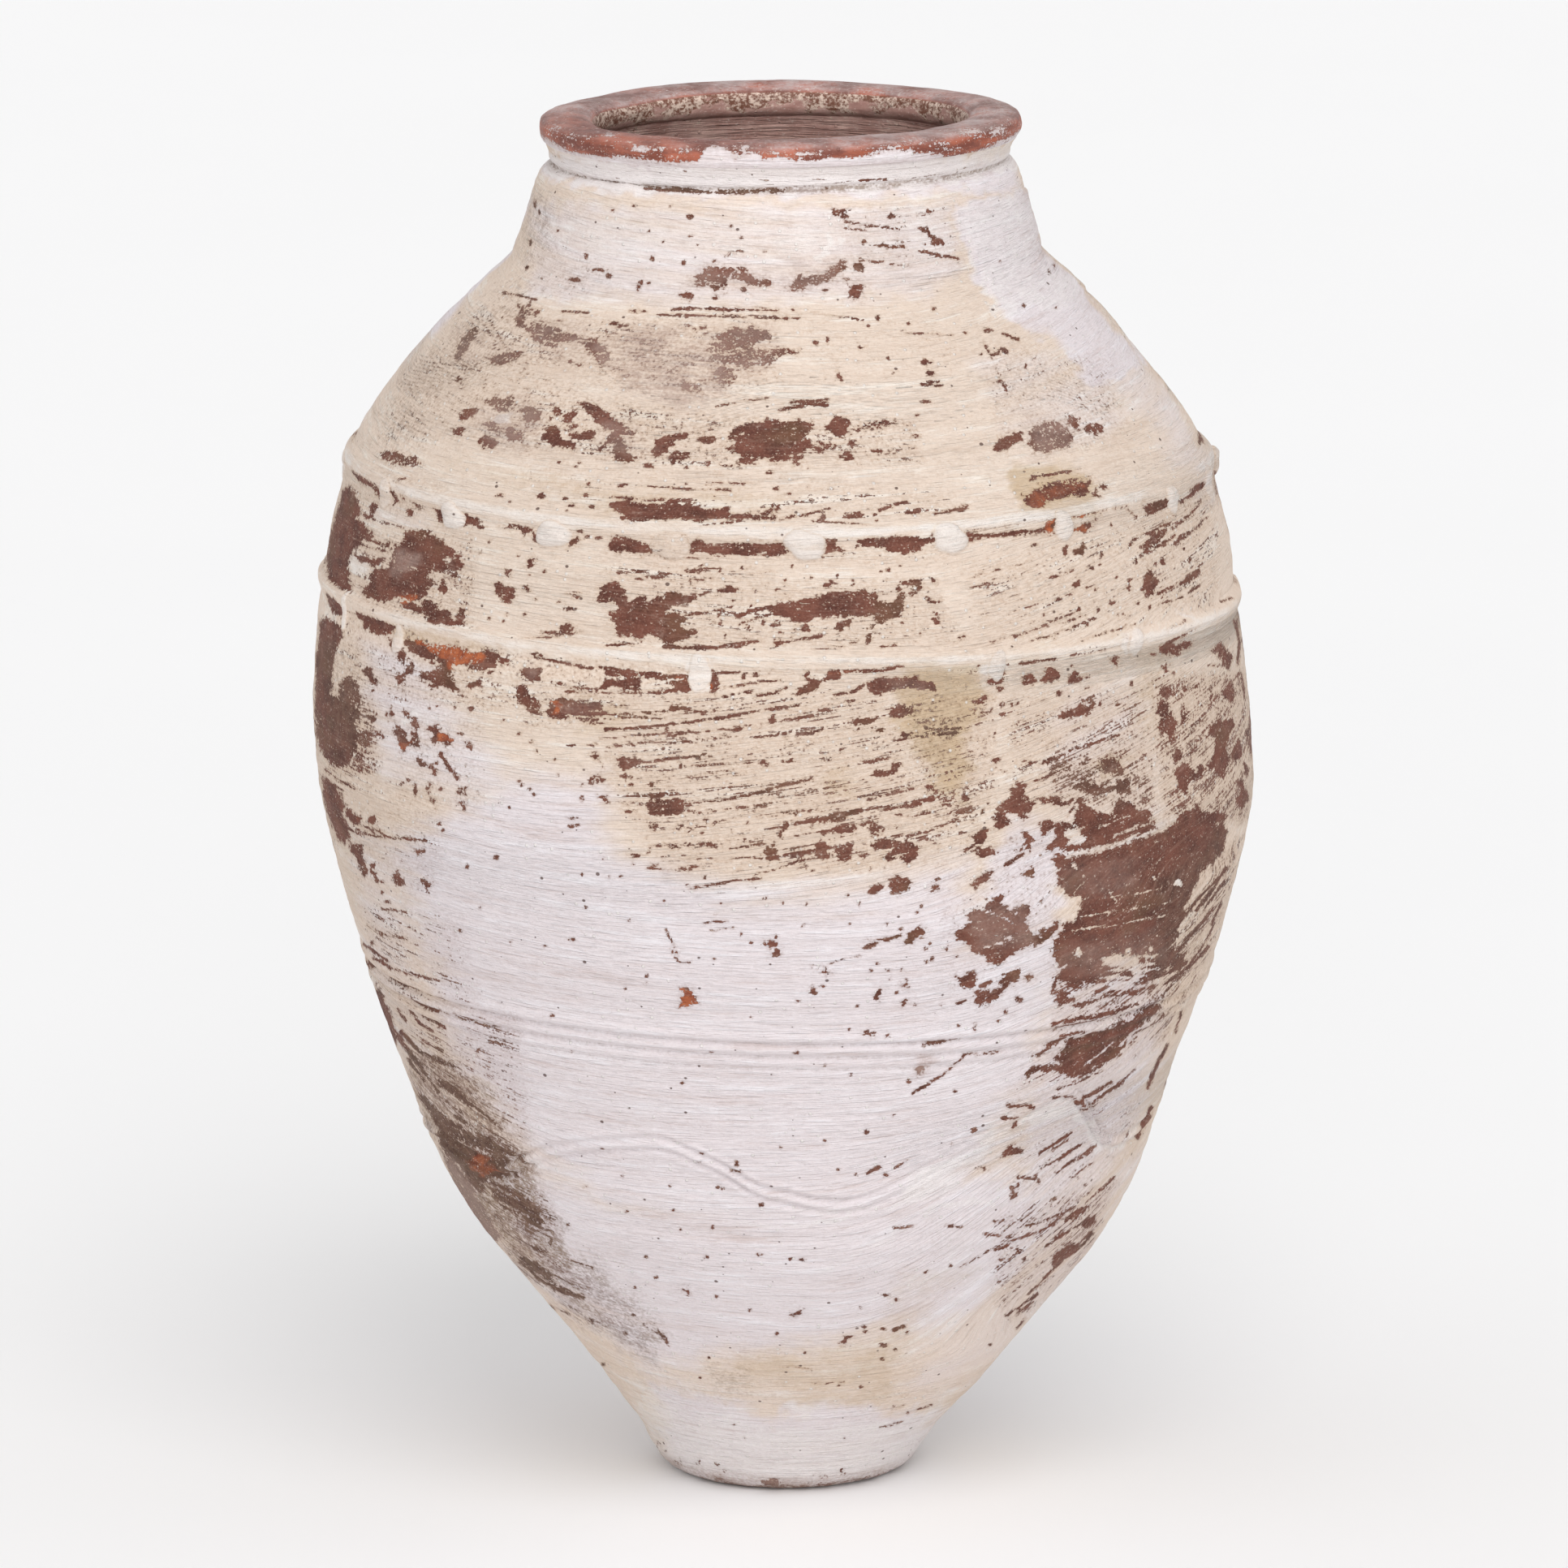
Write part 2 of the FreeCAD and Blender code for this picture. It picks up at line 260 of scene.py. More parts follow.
# =====================================================================
# Relief of the outside: hand-thrown unevenness, grooves, combed waves
# =====================================================================
def path_on_jar(pts, back):
    """height of a line round the jar: pixels for the near side, (degrees, z) for the rest"""
    got = [on_jar(*p) for p in pts]
    ang = [math.degrees(a) for a, _ in got] + [b[0] for b in back]
    hgt = [h for _, h in got] + [b[1] for b in back]
    o = np.argsort(ang)
    a = np.array(ang)[o]
    h = np.array(hgt)[o]
    a = np.concatenate([a - 360, a, a + 360])
    h = np.concatenate([h, h, h])
    fine = np.linspace(-185, 185, 741)
    hh = np.interp(fine, a, h)
    k = np.exp(-0.5 * (np.arange(-12, 13) / 3.2) ** 2)
    k /= k.sum()
    hh = np.convolve(np.pad(hh, 12, mode="edge"), k, mode="valid")
    return lambda phi: np.interp(np.degrees(np.arctan2(np.sin(phi), np.cos(phi))), fine, hh)


def tilt(phi, right, front):
    return right * np.sin(phi) + front * np.cos(phi)


LOW_WAVE = path_on_jar(
    [(620, 1452), (670, 1430), (718, 1421), (767, 1417), (801, 1415), (823, 1416), (840, 1424), (862, 1435),
     (890, 1445), (915, 1463), (938, 1477), (970, 1482), (1018, 1493), (1060, 1490), (1110, 1468), (1170, 1430),
     (1220, 1398), (1260, 1377), (1300, 1355), (1316, 1352), (1327, 1357), (1338, 1376), (1349, 1402),
     (1363, 1416), (1374, 1417), (1391, 1409), (1402, 1402)],
    [(100, 236), (125, 268), (150, 232), (172, 206), (-168, 236), (-145, 268), (-120, 236), (-95, 204), (-70, 212)])
HIGH_WAVE = path_on_jar(
    [(575, 470), (600, 456), (640, 447), (690, 452), (715, 468), (750, 490), (785, 507), (825, 517), (870, 510),
     (910, 496), (960, 484), (1005, 486), (1050, 493), (1100, 500), (1150, 496), (1200, 480), (1240, 470),
     (1290, 470), (1340, 490)],
    [(80, 668), (100, 690), (120, 668), (140, 645), (160, 668), (180, 690), (-160, 668), (-140, 645), (-120, 668), (-100, 690), (-80, 668)])


def relief(phi, z):
    """mm along the outward normal"""
    d = 0.9 * np.sin(2 * phi + 1.1 + z / 300.0) + 0.6 * np.sin(3 * phi + 2.0 - z / 170.0)
    d = d + 0.55 * noise2(phi, z / 46.0, 9, 11)
    d = d + 0.30 * noise2(phi, z / 17.0 + 0.4 * np.sin(phi), 14, 12)
    # throwing lines, nearly level, broken along their length
    warp = z + 2.2 * np.sin(phi * 1.0 + 0.6)
    amp = 0.5 + 0.5 * noise2(phi, z / 60.0, 7, 16)
    d = d + (0.20 + 0.10 * amp) * noise2(phi, warp / 5.3, 5, 13)
    d = d + 0.10 * noise2(phi, warp / 2.3, 8, 14)
    # neck and collar: tighter, deeper lines
    up = ramp(z, 735, 748)
    d = d + up * 0.22 * noise2(phi, (z + 1.2 * np.sin(phi + 1.0)) / 3.1, 6, 15)
    # keep joints with the rim and the foot disc clean
    d = d * ramp(z, 16.5, 30) * (1 - 0.55 * ramp(z, 786, 800))
    # double string groove low on the belly
    sag = tilt(phi, 0.4, 0.2)
    for z0, dep, s in ((313.0, 2.7, 1.3), (304.8, 2.3, 1.25), (297.5, 1.2, 1.2)):
        q = z - z0 - sag + 0.7 * noise2(phi, np.zeros_like(z) + z0, 9, int(z0))
        fade = 0.75 + 0.25 * noise2(phi, np.zeros_like(z), 6, int(z0) + 5)
        d = d - dep * fade * np.exp(-0.5 * (q / s) ** 2)
        d = d + 0.45 * dep * fade * np.exp(-0.5 * ((q - 3.6) / 2.2) ** 2)
    # incised two-line wave below it
    q = z - LOW_WAVE(phi)
    run = 0.85 + 0.15 * noise2(phi, np.zeros_like(z), 11, 31)
    deg = np.degrees(np.arctan2(np.sin(phi), np.cos(phi)))
    run = run * (1 - 0.62 * ramp(deg, 8, 20) * (1 - ramp(deg, 38, 50)))
    for off, dep in ((0.0, 1.8), (7.6, 1.6)):
        d = d - dep * run * np.exp(-0.5 * ((q - off) / 1.25) ** 2)
        d = d + 0.5 * dep * run * np.exp(-0.5 * ((q - off - 3.0) / 1.5) ** 2)
        d = d + 0.35 * dep * run * np.exp(-0.5 * ((q - off + 3.0) / 1.5) ** 2)
    # combed wave on the shoulder, nearly filled with wash
    q = z - HIGH_WAVE(phi)
    for k in range(5):
        d = d - 0.42 * np.exp(-0.5 * ((q - 3.4 * (k - 2)) / 0.95) ** 2)
    # groove lines on the neck foot and shoulder
    for z0, dep in ((737.0, 0.7), (715.0, 0.4), (707.0, 0.35)):
        q = z - z0 - tilt(phi, 0.8, -0.5)
        d = d - dep * np.exp(-0.5 * (q / 1.3) ** 2) * (0.7 + 0.3 * noise2(phi, np.zeros_like(z), 8, int(z0)))
    # thick plaster-like wash on the right of the neck, its ragged edge standing proud
    u, v = project(*place(phi, r_out(z), z))
    near = np.cos(phi) > -0.2
    edge = inside_poly(u, v, PLASTER) + 2.6 * noise2(phi, z / 4.0, 120, 41) + 1.6 * noise2(phi, z / 9.0, 50, 42)
    d = d + np.where(near, 1.35 * ramp(edge, -2.2, 2.2) * (1 - 0.75 * ramp(edge, 24, 95)), 0.0)
    # the turned groove under the collar
    q = z - 791.5 - tilt(phi, 0.3, -0.2)
    d = d - 1.2 * np.exp(-0.5 * (q / 1.25) ** 2) * (0.8 + 0.2 * noise2(phi, np.zeros_like(z), 12, 88))
    d = d + ramp(z, 793.5, 796) * 0.34 * noise2(phi, z / 2.2, 9, 89)
    # the lump in the groove under the collar
    for x, y, w, h, a in ((775, 229, 16, 6, 2.0), (738, 224, 9, 4, 1.0), (1090, 186, 12, 6, 0.8)):
        d = d + np.where(near, a * np.exp(-(((u - x) / w) ** 2 + ((v - y) / h) ** 2)), 0.0)
    return d


PLASTER = [(1175, 275), (1177, 260), (1186, 251), (1196, 245), (1225, 239), (1265, 232), (1330, 300), (1345, 340),
           (1320, 380), (1275, 378), (1246, 388), (1232, 394), (1224, 382), (1222, 366), (1219, 350), (1211, 332),
           (1203, 320), (1199, 311), (1195, 300), (1191, 290), (1182, 283)]


def shell_points(phi, z, extra=0.0):
    """outside surface points (mm) at bearing phi and height z, standing extra proud"""
    r = r_out(z)
    s = slope_out(z)
    n = np.sqrt(1 + s * s)
    d = relief(phi, z) + extra
    rr = r + d / n
    zz = z - d * s / n
    return place(phi, rr, zz)


# =====================================================================
# Where the limewash is worn, thin, stained or thick, with some painted shade and light (frame pixels)
# =====================================================================
def poly(text):
    return [tuple(float(q) for q in p.split(",")) for p in text.split()]


# bare clay patches: outline, how solid (0..1), edge softness in pixels
PATCHES = [
    # neck and upper shoulder
    ("852,346 860,338 867,332 885,331 898,330 910,330 920,334 927,337 930,345 950,345 948,351 935,353 927,354 917,347 910,342 897,345 895,355 882,357 872,352 860,352", .55, 5),
    ("890,313 900,308 908,307 914,310 904,314 892,316", .30, 4), ("841,364 846,360 851,364 848,369 843,368", .9, 4),
    ("967,355 980,344 992,339 1006,340 1015,336 1026,325 1036,318 1046,320 1040,330 1028,342 1010,349 990,354 976,358", .42, 5),
    ("981,338 988,336 988,348 981,348", .85, 3), ("1046,345 1050,350 1060,350 1067,352 1060,361 1057,367 1049,364 1050,355", .9, 4),
    ("1053,322 1062,324 1064,334 1055,332", .6, 4), ("1026,258 1036,258 1047,257 1044,263 1034,266 1026,264", .8, 4),
    ("1094,262 1100,262 1106,266 1104,269 1097,267", .85, 3), ("1134,280 1142,280 1150,288 1165,300 1162,304 1152,300 1142,290 1137,286", .75, 4),
    ("1137,262 1150,260 1148,264 1138,265", .5, 3), ("635,394 646,386 652,396 646,406 638,404", .7, 4),
    ("645,404 665,398 690,408 712,414 720,416 700,424 680,428 660,422 648,414", .30, 6),
    ("605,446 612,438 622,438 632,434 644,434 638,446 628,452 612,452", .62, 4),
    ("563,430 572,416 582,408 590,402 588,418 578,434 568,444 562,446", .55, 4),
    ("640,380 655,378 668,386 664,392 648,390", .4, 4), ("716,420 735,418 742,428 736,440 722,436", .4, 4),
    ("730,432 748,430 752,446 742,452 732,446", .35, 4),
    ("868,432 880,416 893,406 905,402 918,404 930,400 944,408 938,418 926,420 936,430 948,436 960,438 948,446 930,440 918,452 905,448 895,450 884,440 874,442", .36, 6),
    ("848,402 862,401 874,402 868,406 850,405", .55, 3), ("930,408 946,410 952,416 938,420 930,416", .55, 4),
    ("930,430 955,427 985,430 980,437 955,436 932,438", .35, 4), ("840,470 856,474 868,482 856,486 842,480", .30, 5),
    ("885,450 900,454 910,466 900,476 888,470", .35, 5), ("1031,456 1038,458 1043,468 1037,470", .5, 3),
    ("1136,444 1144,440 1150,446 1140,449", .7, 3), ("1139,456 1146,454 1152,460 1142,461", .85, 3),
    ("1211,421 1217,426 1222,434 1234,428 1243,427 1240,434 1230,438 1226,443 1218,434", .60, 3),
    ("1229,456 1234,462 1240,476 1242,486 1236,478 1231,468", .5, 3),
    # band of losses above the shoulder ridge
    ("684,503 690,501 693,508 688,514 684,510", .9, 3), ("695,514 703,508 710,510 704,518 698,522", .5, 3),
    ("673,530 680,528 690,526 695,534 697,543 708,550 706,556 696,553 684,551 673,545", .95, 3),
    ("702,535 714,534 726,530 734,534 735,542 722,542 709,542", .90, 3),
    ("700,524 713,524 712,528 702,528", .7, 3),
    ("714,496 722,496 735,501 748,508 757,516 770,522 769,536 766,548 772,556 784,564 774,572 764,569 756,562 757,547 750,549 741,557 736,556 744,544 754,534 742,528 728,518 720,507", .72, 4),
    ("762,520 776,524 786,532 780,540 768,534", .30, 4),
    ("807,541 818,537 832,535 848,534 850,539 838,543 830,547 824,558 814,562 805,562 809,552 806,546", .80, 3),
    ("790,571 800,571 806,578 794,577", .85, 3), ("824,562 836,556 848,556 850,562 838,569 828,571", .55, 4),
    ("860,540 872,538 884,538 884,544 872,547 861,546", .85, 3), ("890,549 906,547 904,553 893,553", .7, 3), ("898,556 908,556 904,560", .6, 3),
    ("898,538 908,526 920,520 935,518 950,516 966,520 984,516 1000,518 1007,526 996,532 990,540 1000,546 1014,552 1019,560 1008,558 997,554 990,560 984,572 974,566 966,568 950,570 938,566 926,570 910,572 916,562 904,556 908,546", .66, 4),
    ("912,545 926,548 944,556 950,566 936,566 920,558", .95, 3), ("975,545 990,548 996,552 985,560 975,556", .9, 3),
    ("1022,516 1033,511 1042,514 1049,522 1041,528 1046,535 1034,540 1026,536 1022,527", .62, 4),
    ("1048,528 1062,524 1080,518 1100,516 1108,522 1094,526 1074,528 1056,534", .24, 5),
    ("1110,520 1124,520 1136,526 1124,527", .40, 3), ("1122,533 1133,533 1136,537 1126,537", .8, 3),
    ("1070,553 1082,552 1089,558 1080,560", .8, 3), ("1030,560 1040,556 1054,562 1052,568 1042,565", .7, 3),
    ("1008,540 1022,544 1032,548 1022,553 1012,550", .55, 4), ("1050,542 1056,540 1054,550 1049,548", .7, 3),
    ("884,573 900,570 905,576 892,578", .6, 3), ("905,570 916,570 914,576", .6, 3),
    ("1225,551 1232,545 1236,541 1246,536 1253,531 1262,532 1258,542 1248,548 1242,554 1232,556", .70, 3),
    ("1270,531 1280,524 1290,517 1304,520 1313,526 1320,540 1318,550 1300,555 1284,557 1272,556 1267,544", .50, 5),
    ("1314,515 1322,511 1330,516 1331,529 1322,527", .8, 3), ("1338,524 1352,520 1360,530 1350,536 1340,532", .5, 4),
    ("588,545 596,538 606,540 616,546 610,553 598,553", .85, 3), ("622,530 636,526 650,534 646,546 632,544", .40, 5),
    ("566,512 578,506 590,504 584,516 572,522", .6, 4), ("560,528 574,530 570,538 560,536", .5, 4),
    ("600,498 616,492 632,490 640,500 628,508 610,506", .34, 5), ("596,522 612,522 622,534 608,536", .40, 4),
    ("642,506 654,502 668,506 670,518 658,524 646,516", .45, 4),
    ("470,560 486,556 500,562 514,566 520,572 500,576 484,574", .30, 5), ("560,466 572,462 570,470 562,472", .5, 3),
    # left edge between the two ridges
    ("424,602 434,600 443,616 446,632 441,640 452,648 461,656 447,667 437,680 431,700 433,715 437,730 424,728 410,714 403,692 407,660 415,630", .95, 4),
    ("437,577 442,588 452,597 468,602 476,601 462,592 450,588 443,578", .80, 3), ("462,604 470,600 474,608 468,612", .7, 3),
    ("486,602 496,604 494,618 488,620", .7, 3), ("500,604 508,608 506,618 500,618", .45, 4),
    ("464,618 469,622 467,632 462,634 460,626", .75, 3), ("448,632 462,632 464,638 452,640", .6, 3),
    ("503,628 510,626 515,636 507,637", .8, 3), ("515,622 522,624 518,630", .7, 3), ("540,626 548,627 551,640 546,646 542,634", .75, 3),
    ("572,632 580,634 596,640 590,648 579,646 573,650 570,644", .92, 3), ("622,646 640,648 656,650 654,656 648,660 639,652 628,651", .80, 3),
    ("656,655 662,660 668,670 662,668 657,661", .85, 3), ("701,668 706,662 716,660 714,666 705,673", .80, 3),
    ("480,686 484,676 492,672 500,665 499,658 512,654 530,655 540,660 547,667 556,674 563,680 571,687 560,688 552,683 546,690 555,698 548,706 538,704 532,712 540,719 530,727 527,738 512,742 494,737 480,740 470,743 458,737 449,731 457,722 457,706 468,701 480,700", .86, 4),
    ("436,681 446,684 460,690 476,687 480,693 462,697 446,693", .78, 3), ("556,692 566,690 575,698 566,703 557,701", .80, 3),
    ("560,704 569,705 566,713 560,711", .7, 3), ("543,716 550,714 554,727 548,733 543,725", .80, 3),
    ("522,742 533,740 543,748 553,754 561,764 573,766 572,770 560,772 548,768 538,770 530,766 524,759", .82, 3),
    ("498,742 513,744 524,750 520,758 508,751 499,748", .80, 3), ("565,748 575,749 577,762 571,771 565,769", .62, 4),
    ("440,652 452,656 466,660 460,666 446,664", .5, 3), ("466,664 486,668 500,672 494,678 474,674", .45, 3),
    ("408,730 420,738 430,753 424,763 413,756 406,744", .85, 3),
    # ridge line losses
    ("752,618 762,617 790,621 812,622 830,620 858,624 876,629 900,625 899,640 880,638 862,643 840,640 815,642 800,640 791,645 770,646 764,640 766,632 757,628", .86, 3),
    ("900,634 920,634 940,630 960,634 958,642 930,641 902,643", .44, 3), ("942,630 956,622 962,625 950,634", .7, 3),
    ("1040,634 1060,632 1065,637 1045,638", .75, 3), ("1068,634 1085,629 1079,636", .75, 3), ("1115,631 1126,627 1133,625 1131,631 1120,634", .75, 3),
    ("1176,625 1190,624 1190,630 1178,630", .85, 3), ("1006,636 1015,634 1014,640 1006,640", .5, 3),
    ("752,661 764,660 778,661 784,668 799,672 800,680 780,682 762,680 752,674", .88, 3), ("803,664 812,666 817,674 806,676", .45, 3),
    ("842,659 850,659 853,669 862,663 870,668 880,672 900,670 930,670 950,672 962,669 970,672 975,679 960,682 940,680 925,685 905,685 890,682 870,680 856,683 848,680 844,668", .84, 3),
    ("1018,664 1027,663 1030,672 1040,676 1046,677 1036,681 1026,680 1018,680", .85, 3),
    ("1060,665 1076,661 1090,664 1100,660 1120,661 1140,663 1154,660 1156,668 1141,669 1136,677 1120,681 1096,681 1090,674 1075,672 1061,675", .88, 3),
    ("1325,650 1336,643 1350,641 1346,649 1332,655", .95, 3), ("1290,641 1301,638 1303,655 1294,657 1288,650", .9, 3),
    ("1310,678 1314,671 1319,674 1315,682 1310,684", .9, 3), ("1326,677 1334,671 1340,676 1336,683 1328,683", .9, 3),
    ("1403,672 1412,667 1420,660 1424,656 1438,650 1441,660 1422,669 1408,679", .62, 3), ("1410,625 1420,620 1441,616 1442,624 1420,631 1413,634", .85, 3),
    ("1402,612 1407,612 1409,621 1404,622", .8, 3), ("1464,605 1480,592 1481,601 1468,611", .75, 3), ("1346,607 1354,603 1352,613 1347,613", .9, 3),
    ("1357,595 1366,600 1361,604 1357,600", .8, 3), ("1408,712 1414,707 1414,699 1418,699 1419,708 1427,713 1428,721 1422,731 1414,735 1410,726 1407,719", .96, 3),
    ("1388,716 1392,713 1397,726 1392,728", .9, 3), ("1462,712 1478,700 1481,706 1467,719", .85, 3), ("1323,718 1331,715 1333,720 1326,725", .85, 3),
    ("1341,722 1353,724 1350,728", .7, 3), ("1396,668 1390,672 1394,678", .8, 3),
    # middle of the band between the ridges
    ("612,718 619,715 622,724 632,722 638,726 639,738 630,743 620,740 614,733", .66, 3), ("645,722 654,720 656,728 648,729", .75, 3),
    ("649,696 656,688 661,692 654,698", .8, 3), ("624,700 629,702 628,710 624,708", .55, 3),
    ("738,722 752,718 756,713 763,716 765,724 770,731 775,742 784,733 793,731 798,742 806,736 812,731 817,738 824,731 832,730 846,734 864,736 850,741 836,745 829,746 822,751 838,754 843,764 836,770 844,777 858,776 863,781 850,786 838,790 822,791 806,787 800,780 790,787 776,783 764,785 756,777 760,768 752,762 750,757 758,752 758,744 752,738 744,743 735,740 742,732", .86, 3),
    ("694,770 702,767 716,774 706,780 692,779", .85, 3), ("884,727 900,722 911,726 905,731 890,731", .85, 3),
    ("1014,719 1020,715 1028,720 1022,725 1015,724", .92, 3),
    ("950,750 958,745 975,742 1000,736 1020,732 1045,728 1066,729 1078,732 1088,740 1078,750 1084,762 1072,757 1060,760 1048,758 1040,758 1020,760 1002,762 990,768 975,766 968,760 955,758", .84, 3),
    ("1080,742 1092,742 1104,744 1106,732 1104,726 1110,723 1115,732 1118,741 1112,747 1108,758 1098,763 1088,769 1080,764 1076,752", .55, 4),
    ("1028,773 1036,767 1045,772 1035,780", .70, 3), ("986,768 998,769 995,778 987,777", .75, 3), ("1066,771 1078,771 1076,775 1067,775", .8, 3),
    ("1068,783 1080,779 1075,789 1068,793", .85, 3), ("1046,790 1060,789 1056,793 1048,793", .8, 3), ("920,767 928,772 925,779", .85, 3),
    ("950,769 960,764 967,768 958,773", .65, 3), ("950,797 956,785 963,788 957,797", .55, 3), ("1040,764 1056,764 1054,774 1044,772", .45, 3),
    ("1112,717 1136,715 1137,719 1114,720", .7, 3), ("1118,728 1124,726 1131,728 1124,733", .8, 3), ("1148,752 1154,758 1152,764 1163,764 1160,773 1152,770 1149,764", .75, 3),
    ("1146,712 1152,714 1158,718 1150,719", .6, 3), ("1134,718 1140,722 1138,730 1133,724", .6, 3), ("1296,783 1310,780 1300,788", .3, 3),
    ("1176,782 1184,780 1192,784 1184,786 1178,790", .8, 3), ("905,795 912,796 908,801", .8, 3), ("876,766 884,768 880,773", .4, 3),
    # under the belly ridge, left
    ("443,752 452,757 470,763 482,768 491,774 485,779 478,784 462,781 450,772 443,762", .92, 3), ("478,784 488,789 497,800 503,812 498,817 488,804 480,794", .90, 3),
    ("500,790 506,786 520,795 536,800 541,810 540,821 530,815 516,806 504,802", .85, 3),
    ("588,806 604,802 618,806 613,818 600,827 590,827 580,821 584,812", .80, 4), ("619,812 629,812 627,818 620,818", .7, 3),
    ("395,765 404,762 419,770 425,780 416,800 411,830 409,856 440,866 447,880 438,892 444,905 440,925 432,938 420,946 408,940 400,930 390,905 388,870 388,820", .96, 4),
    ("452,820 460,820 463,830 470,838 466,845 458,842 455,832 448,826", .85, 3), ("490,832 501,829 500,845 494,847 491,838", .82, 3),
    ("502,820 510,815 515,824 506,833 501,828", .80, 3), ("520,828 545,825 560,832 557,839 570,850 560,853 548,846 536,849 527,840 518,837", .66, 4),
    ("574,844 590,839 594,846 580,851", .70, 3), ("422,836 432,832 441,840 447,858 444,880 430,886 419,878 417,850", .52, 4),
    ("455,884 464,877 467,886 460,891", .8, 3), ("478,878 484,871 487,880 480,887", .85, 3),
    ("498,873 506,877 513,884 519,896 514,901 506,893 501,885", .65, 3), ("506,900 516,903 521,913 516,921 506,919 505,908", .75, 3),
    ("484,896 491,903 496,911 508,913 502,921 500,926 494,922 491,912", .80, 3), ("486,888 492,898 500,908 496,912 488,902", .55, 3),
    ("528,894 538,891 546,902 556,906 557,916 548,919 540,914 534,919 532,910 536,904 530,900", .85, 3),
    ("514,932 522,937 531,946 539,950 536,954 528,950 519,941", .75, 3), ("562,970 576,969 575,980 566,979", .62, 3),
    ("570,988 577,994 569,1001 565,992", .50, 3), ("524,974 530,966 534,968 530,978", .65, 3), ("574,914 585,919 582,923 576,920", .75, 3),
    ("532,985 539,988 536,995", .6, 3), ("578,870 585,872 582,877", .8, 3),
    ("398,955 412,964 420,978 426,992 421,1005 429,1015 431,1030 424,1040 415,1032 407,1010 400,985", .84, 4),
    ("428,992 436,998 447,1008 444,1017 434,1014 427,1005", .92, 3), ("430,1035 438,1040 447,1042 449,1056 453,1072 450,1082 444,1068 437,1054 431,1045", .90, 3),
    ("454,1009 463,1005 465,1014 457,1017", .80, 3), ("504,1034 511,1033 510,1039", .85, 3), ("510,1046 526,1046 526,1051 512,1051", .82, 3),
    ("456,1064 463,1061 464,1068 459,1071 463,1080 473,1084 474,1089 464,1085 457,1077", .80, 3), ("484,1080 492,1073 497,1084 496,1093 488,1090", .70, 3),
    ("519,1081 528,1086 533,1088 528,1094 532,1101 526,1099 521,1090", .90, 3), ("526,964 534,962 532,972", .4, 3),
    ("463,898 470,898 474,908 468,910", .6, 3), ("432,900 442,902 440,912 434,910", .7, 3),
    # under the belly ridge, middle left
    ("640,848 650,845 653,858 663,866 665,879 655,879 645,868 639,860", .62, 4), ("645,822 667,824 666,838 656,843 646,838", .72, 4),
    ("738,842 750,836 768,838 785,837 791,846 784,853 770,850 752,848 737,849", .86, 3), ("735,822 760,825 800,829 852,831 851,836 800,836 750,833", .50, 3),
    ("700,845 735,846 740,852 704,853", .42, 3), ("676,868 700,862 716,864 742,866 749,878 730,883 700,882 684,882", .60, 4),
    ("686,862 697,861 699,880 688,880", .92, 3), ("668,876 680,871 686,880 700,884 694,889 680,886", .70, 3),
    ("700,884 720,886 736,884 742,892 720,893", .55, 3), ("724,926 737,929 740,937 732,935", .70, 3), ("738,942 742,939 741,949", .7, 3),
    ("760,936 770,931 780,934 791,938 784,945 770,949 760,943", .86, 3), ("726,956 738,951 743,960 732,965", .38, 4),
    ("738,980 750,978 753,989 746,990", .65, 3), ("764,995 781,998 776,1001", .65, 3), ("766,955 771,955 770,961", .7, 3),
    ("800,982 812,977 817,989 824,985 838,983 843,996 836,1005 820,1003 806,1005 797,996", .62, 3), ("796,1010 812,1015 809,1023 800,1018", .42, 3),
    ("774,1046 780,1051 791,1053 782,1057", .80, 3), ("830,1013 842,1015 838,1020", .5, 3), ("826,869 838,867 836,874 828,876", .75, 3),
    ("822,843 840,838 852,840 849,852 840,853 830,848", .80, 3), ("876,826 884,829 885,842 887,852 876,855 874,840", .80, 3),
    ("924,828 932,827 934,833 926,833", .75, 3), ("910,830 917,830 918,838 912,838", .6, 3),
    ("980,850 988,846 994,842 996,835 1005,836 1011,838 1004,848 1000,853 984,857 979,854", .92, 3), ("988,826 995,828 995,834 989,834", .75, 3),
    ("1014,836 1024,828 1037,827 1034,834 1024,838 1016,839", .80, 3), ("1086,824 1100,820 1113,818 1104,825", .85, 3),
    ("1068,846 1074,838 1088,835 1110,833 1130,833 1146,839 1155,846 1151,853 1130,848 1110,847 1096,851 1086,857 1075,853", .84, 3),
    ("1196,863 1221,857 1217,867 1200,869", .75, 3), ("1206,879 1227,872 1221,879", .75, 3), ("1096,872 1112,867 1127,874 1122,883 1104,885 1096,880", .66, 4),
    ("1216,836 1228,833 1237,837 1229,844 1219,842", .85, 3), ("1228,847 1241,843 1238,849 1230,852", .85, 3), ("1262,837 1270,831 1279,837 1276,844 1265,843", .92, 3),
    ("1284,832 1292,823 1300,823 1307,830 1307,838 1296,841 1285,838", .94, 3), ("1317,837 1326,826 1333,828 1329,834 1340,832 1330,839 1320,840", .88, 3),
    ("1366,812 1374,807 1379,814 1377,821 1372,816", .85, 3), ("1429,796 1440,789 1450,796 1461,791 1471,789 1466,800 1450,807 1435,807", .82, 3),
    ("1434,819 1440,817 1441,829 1436,829", .85, 3), ("1431,848 1440,845 1447,852 1440,859 1433,857", .7, 3),
    ("1492,800 1506,791 1513,800 1521,810 1517,825 1508,817 1500,807", .60, 4), ("1508,850 1520,839 1527,852 1520,867 1511,862", .70, 4),
    # big dry-brushed middle: its solid chips
    ("946,882 957,880 954,890 950,891", .9, 3), ("906,898 914,893 914,900 906,902", .85, 3), ("938,940 951,935 946,944 940,946", .85, 3),
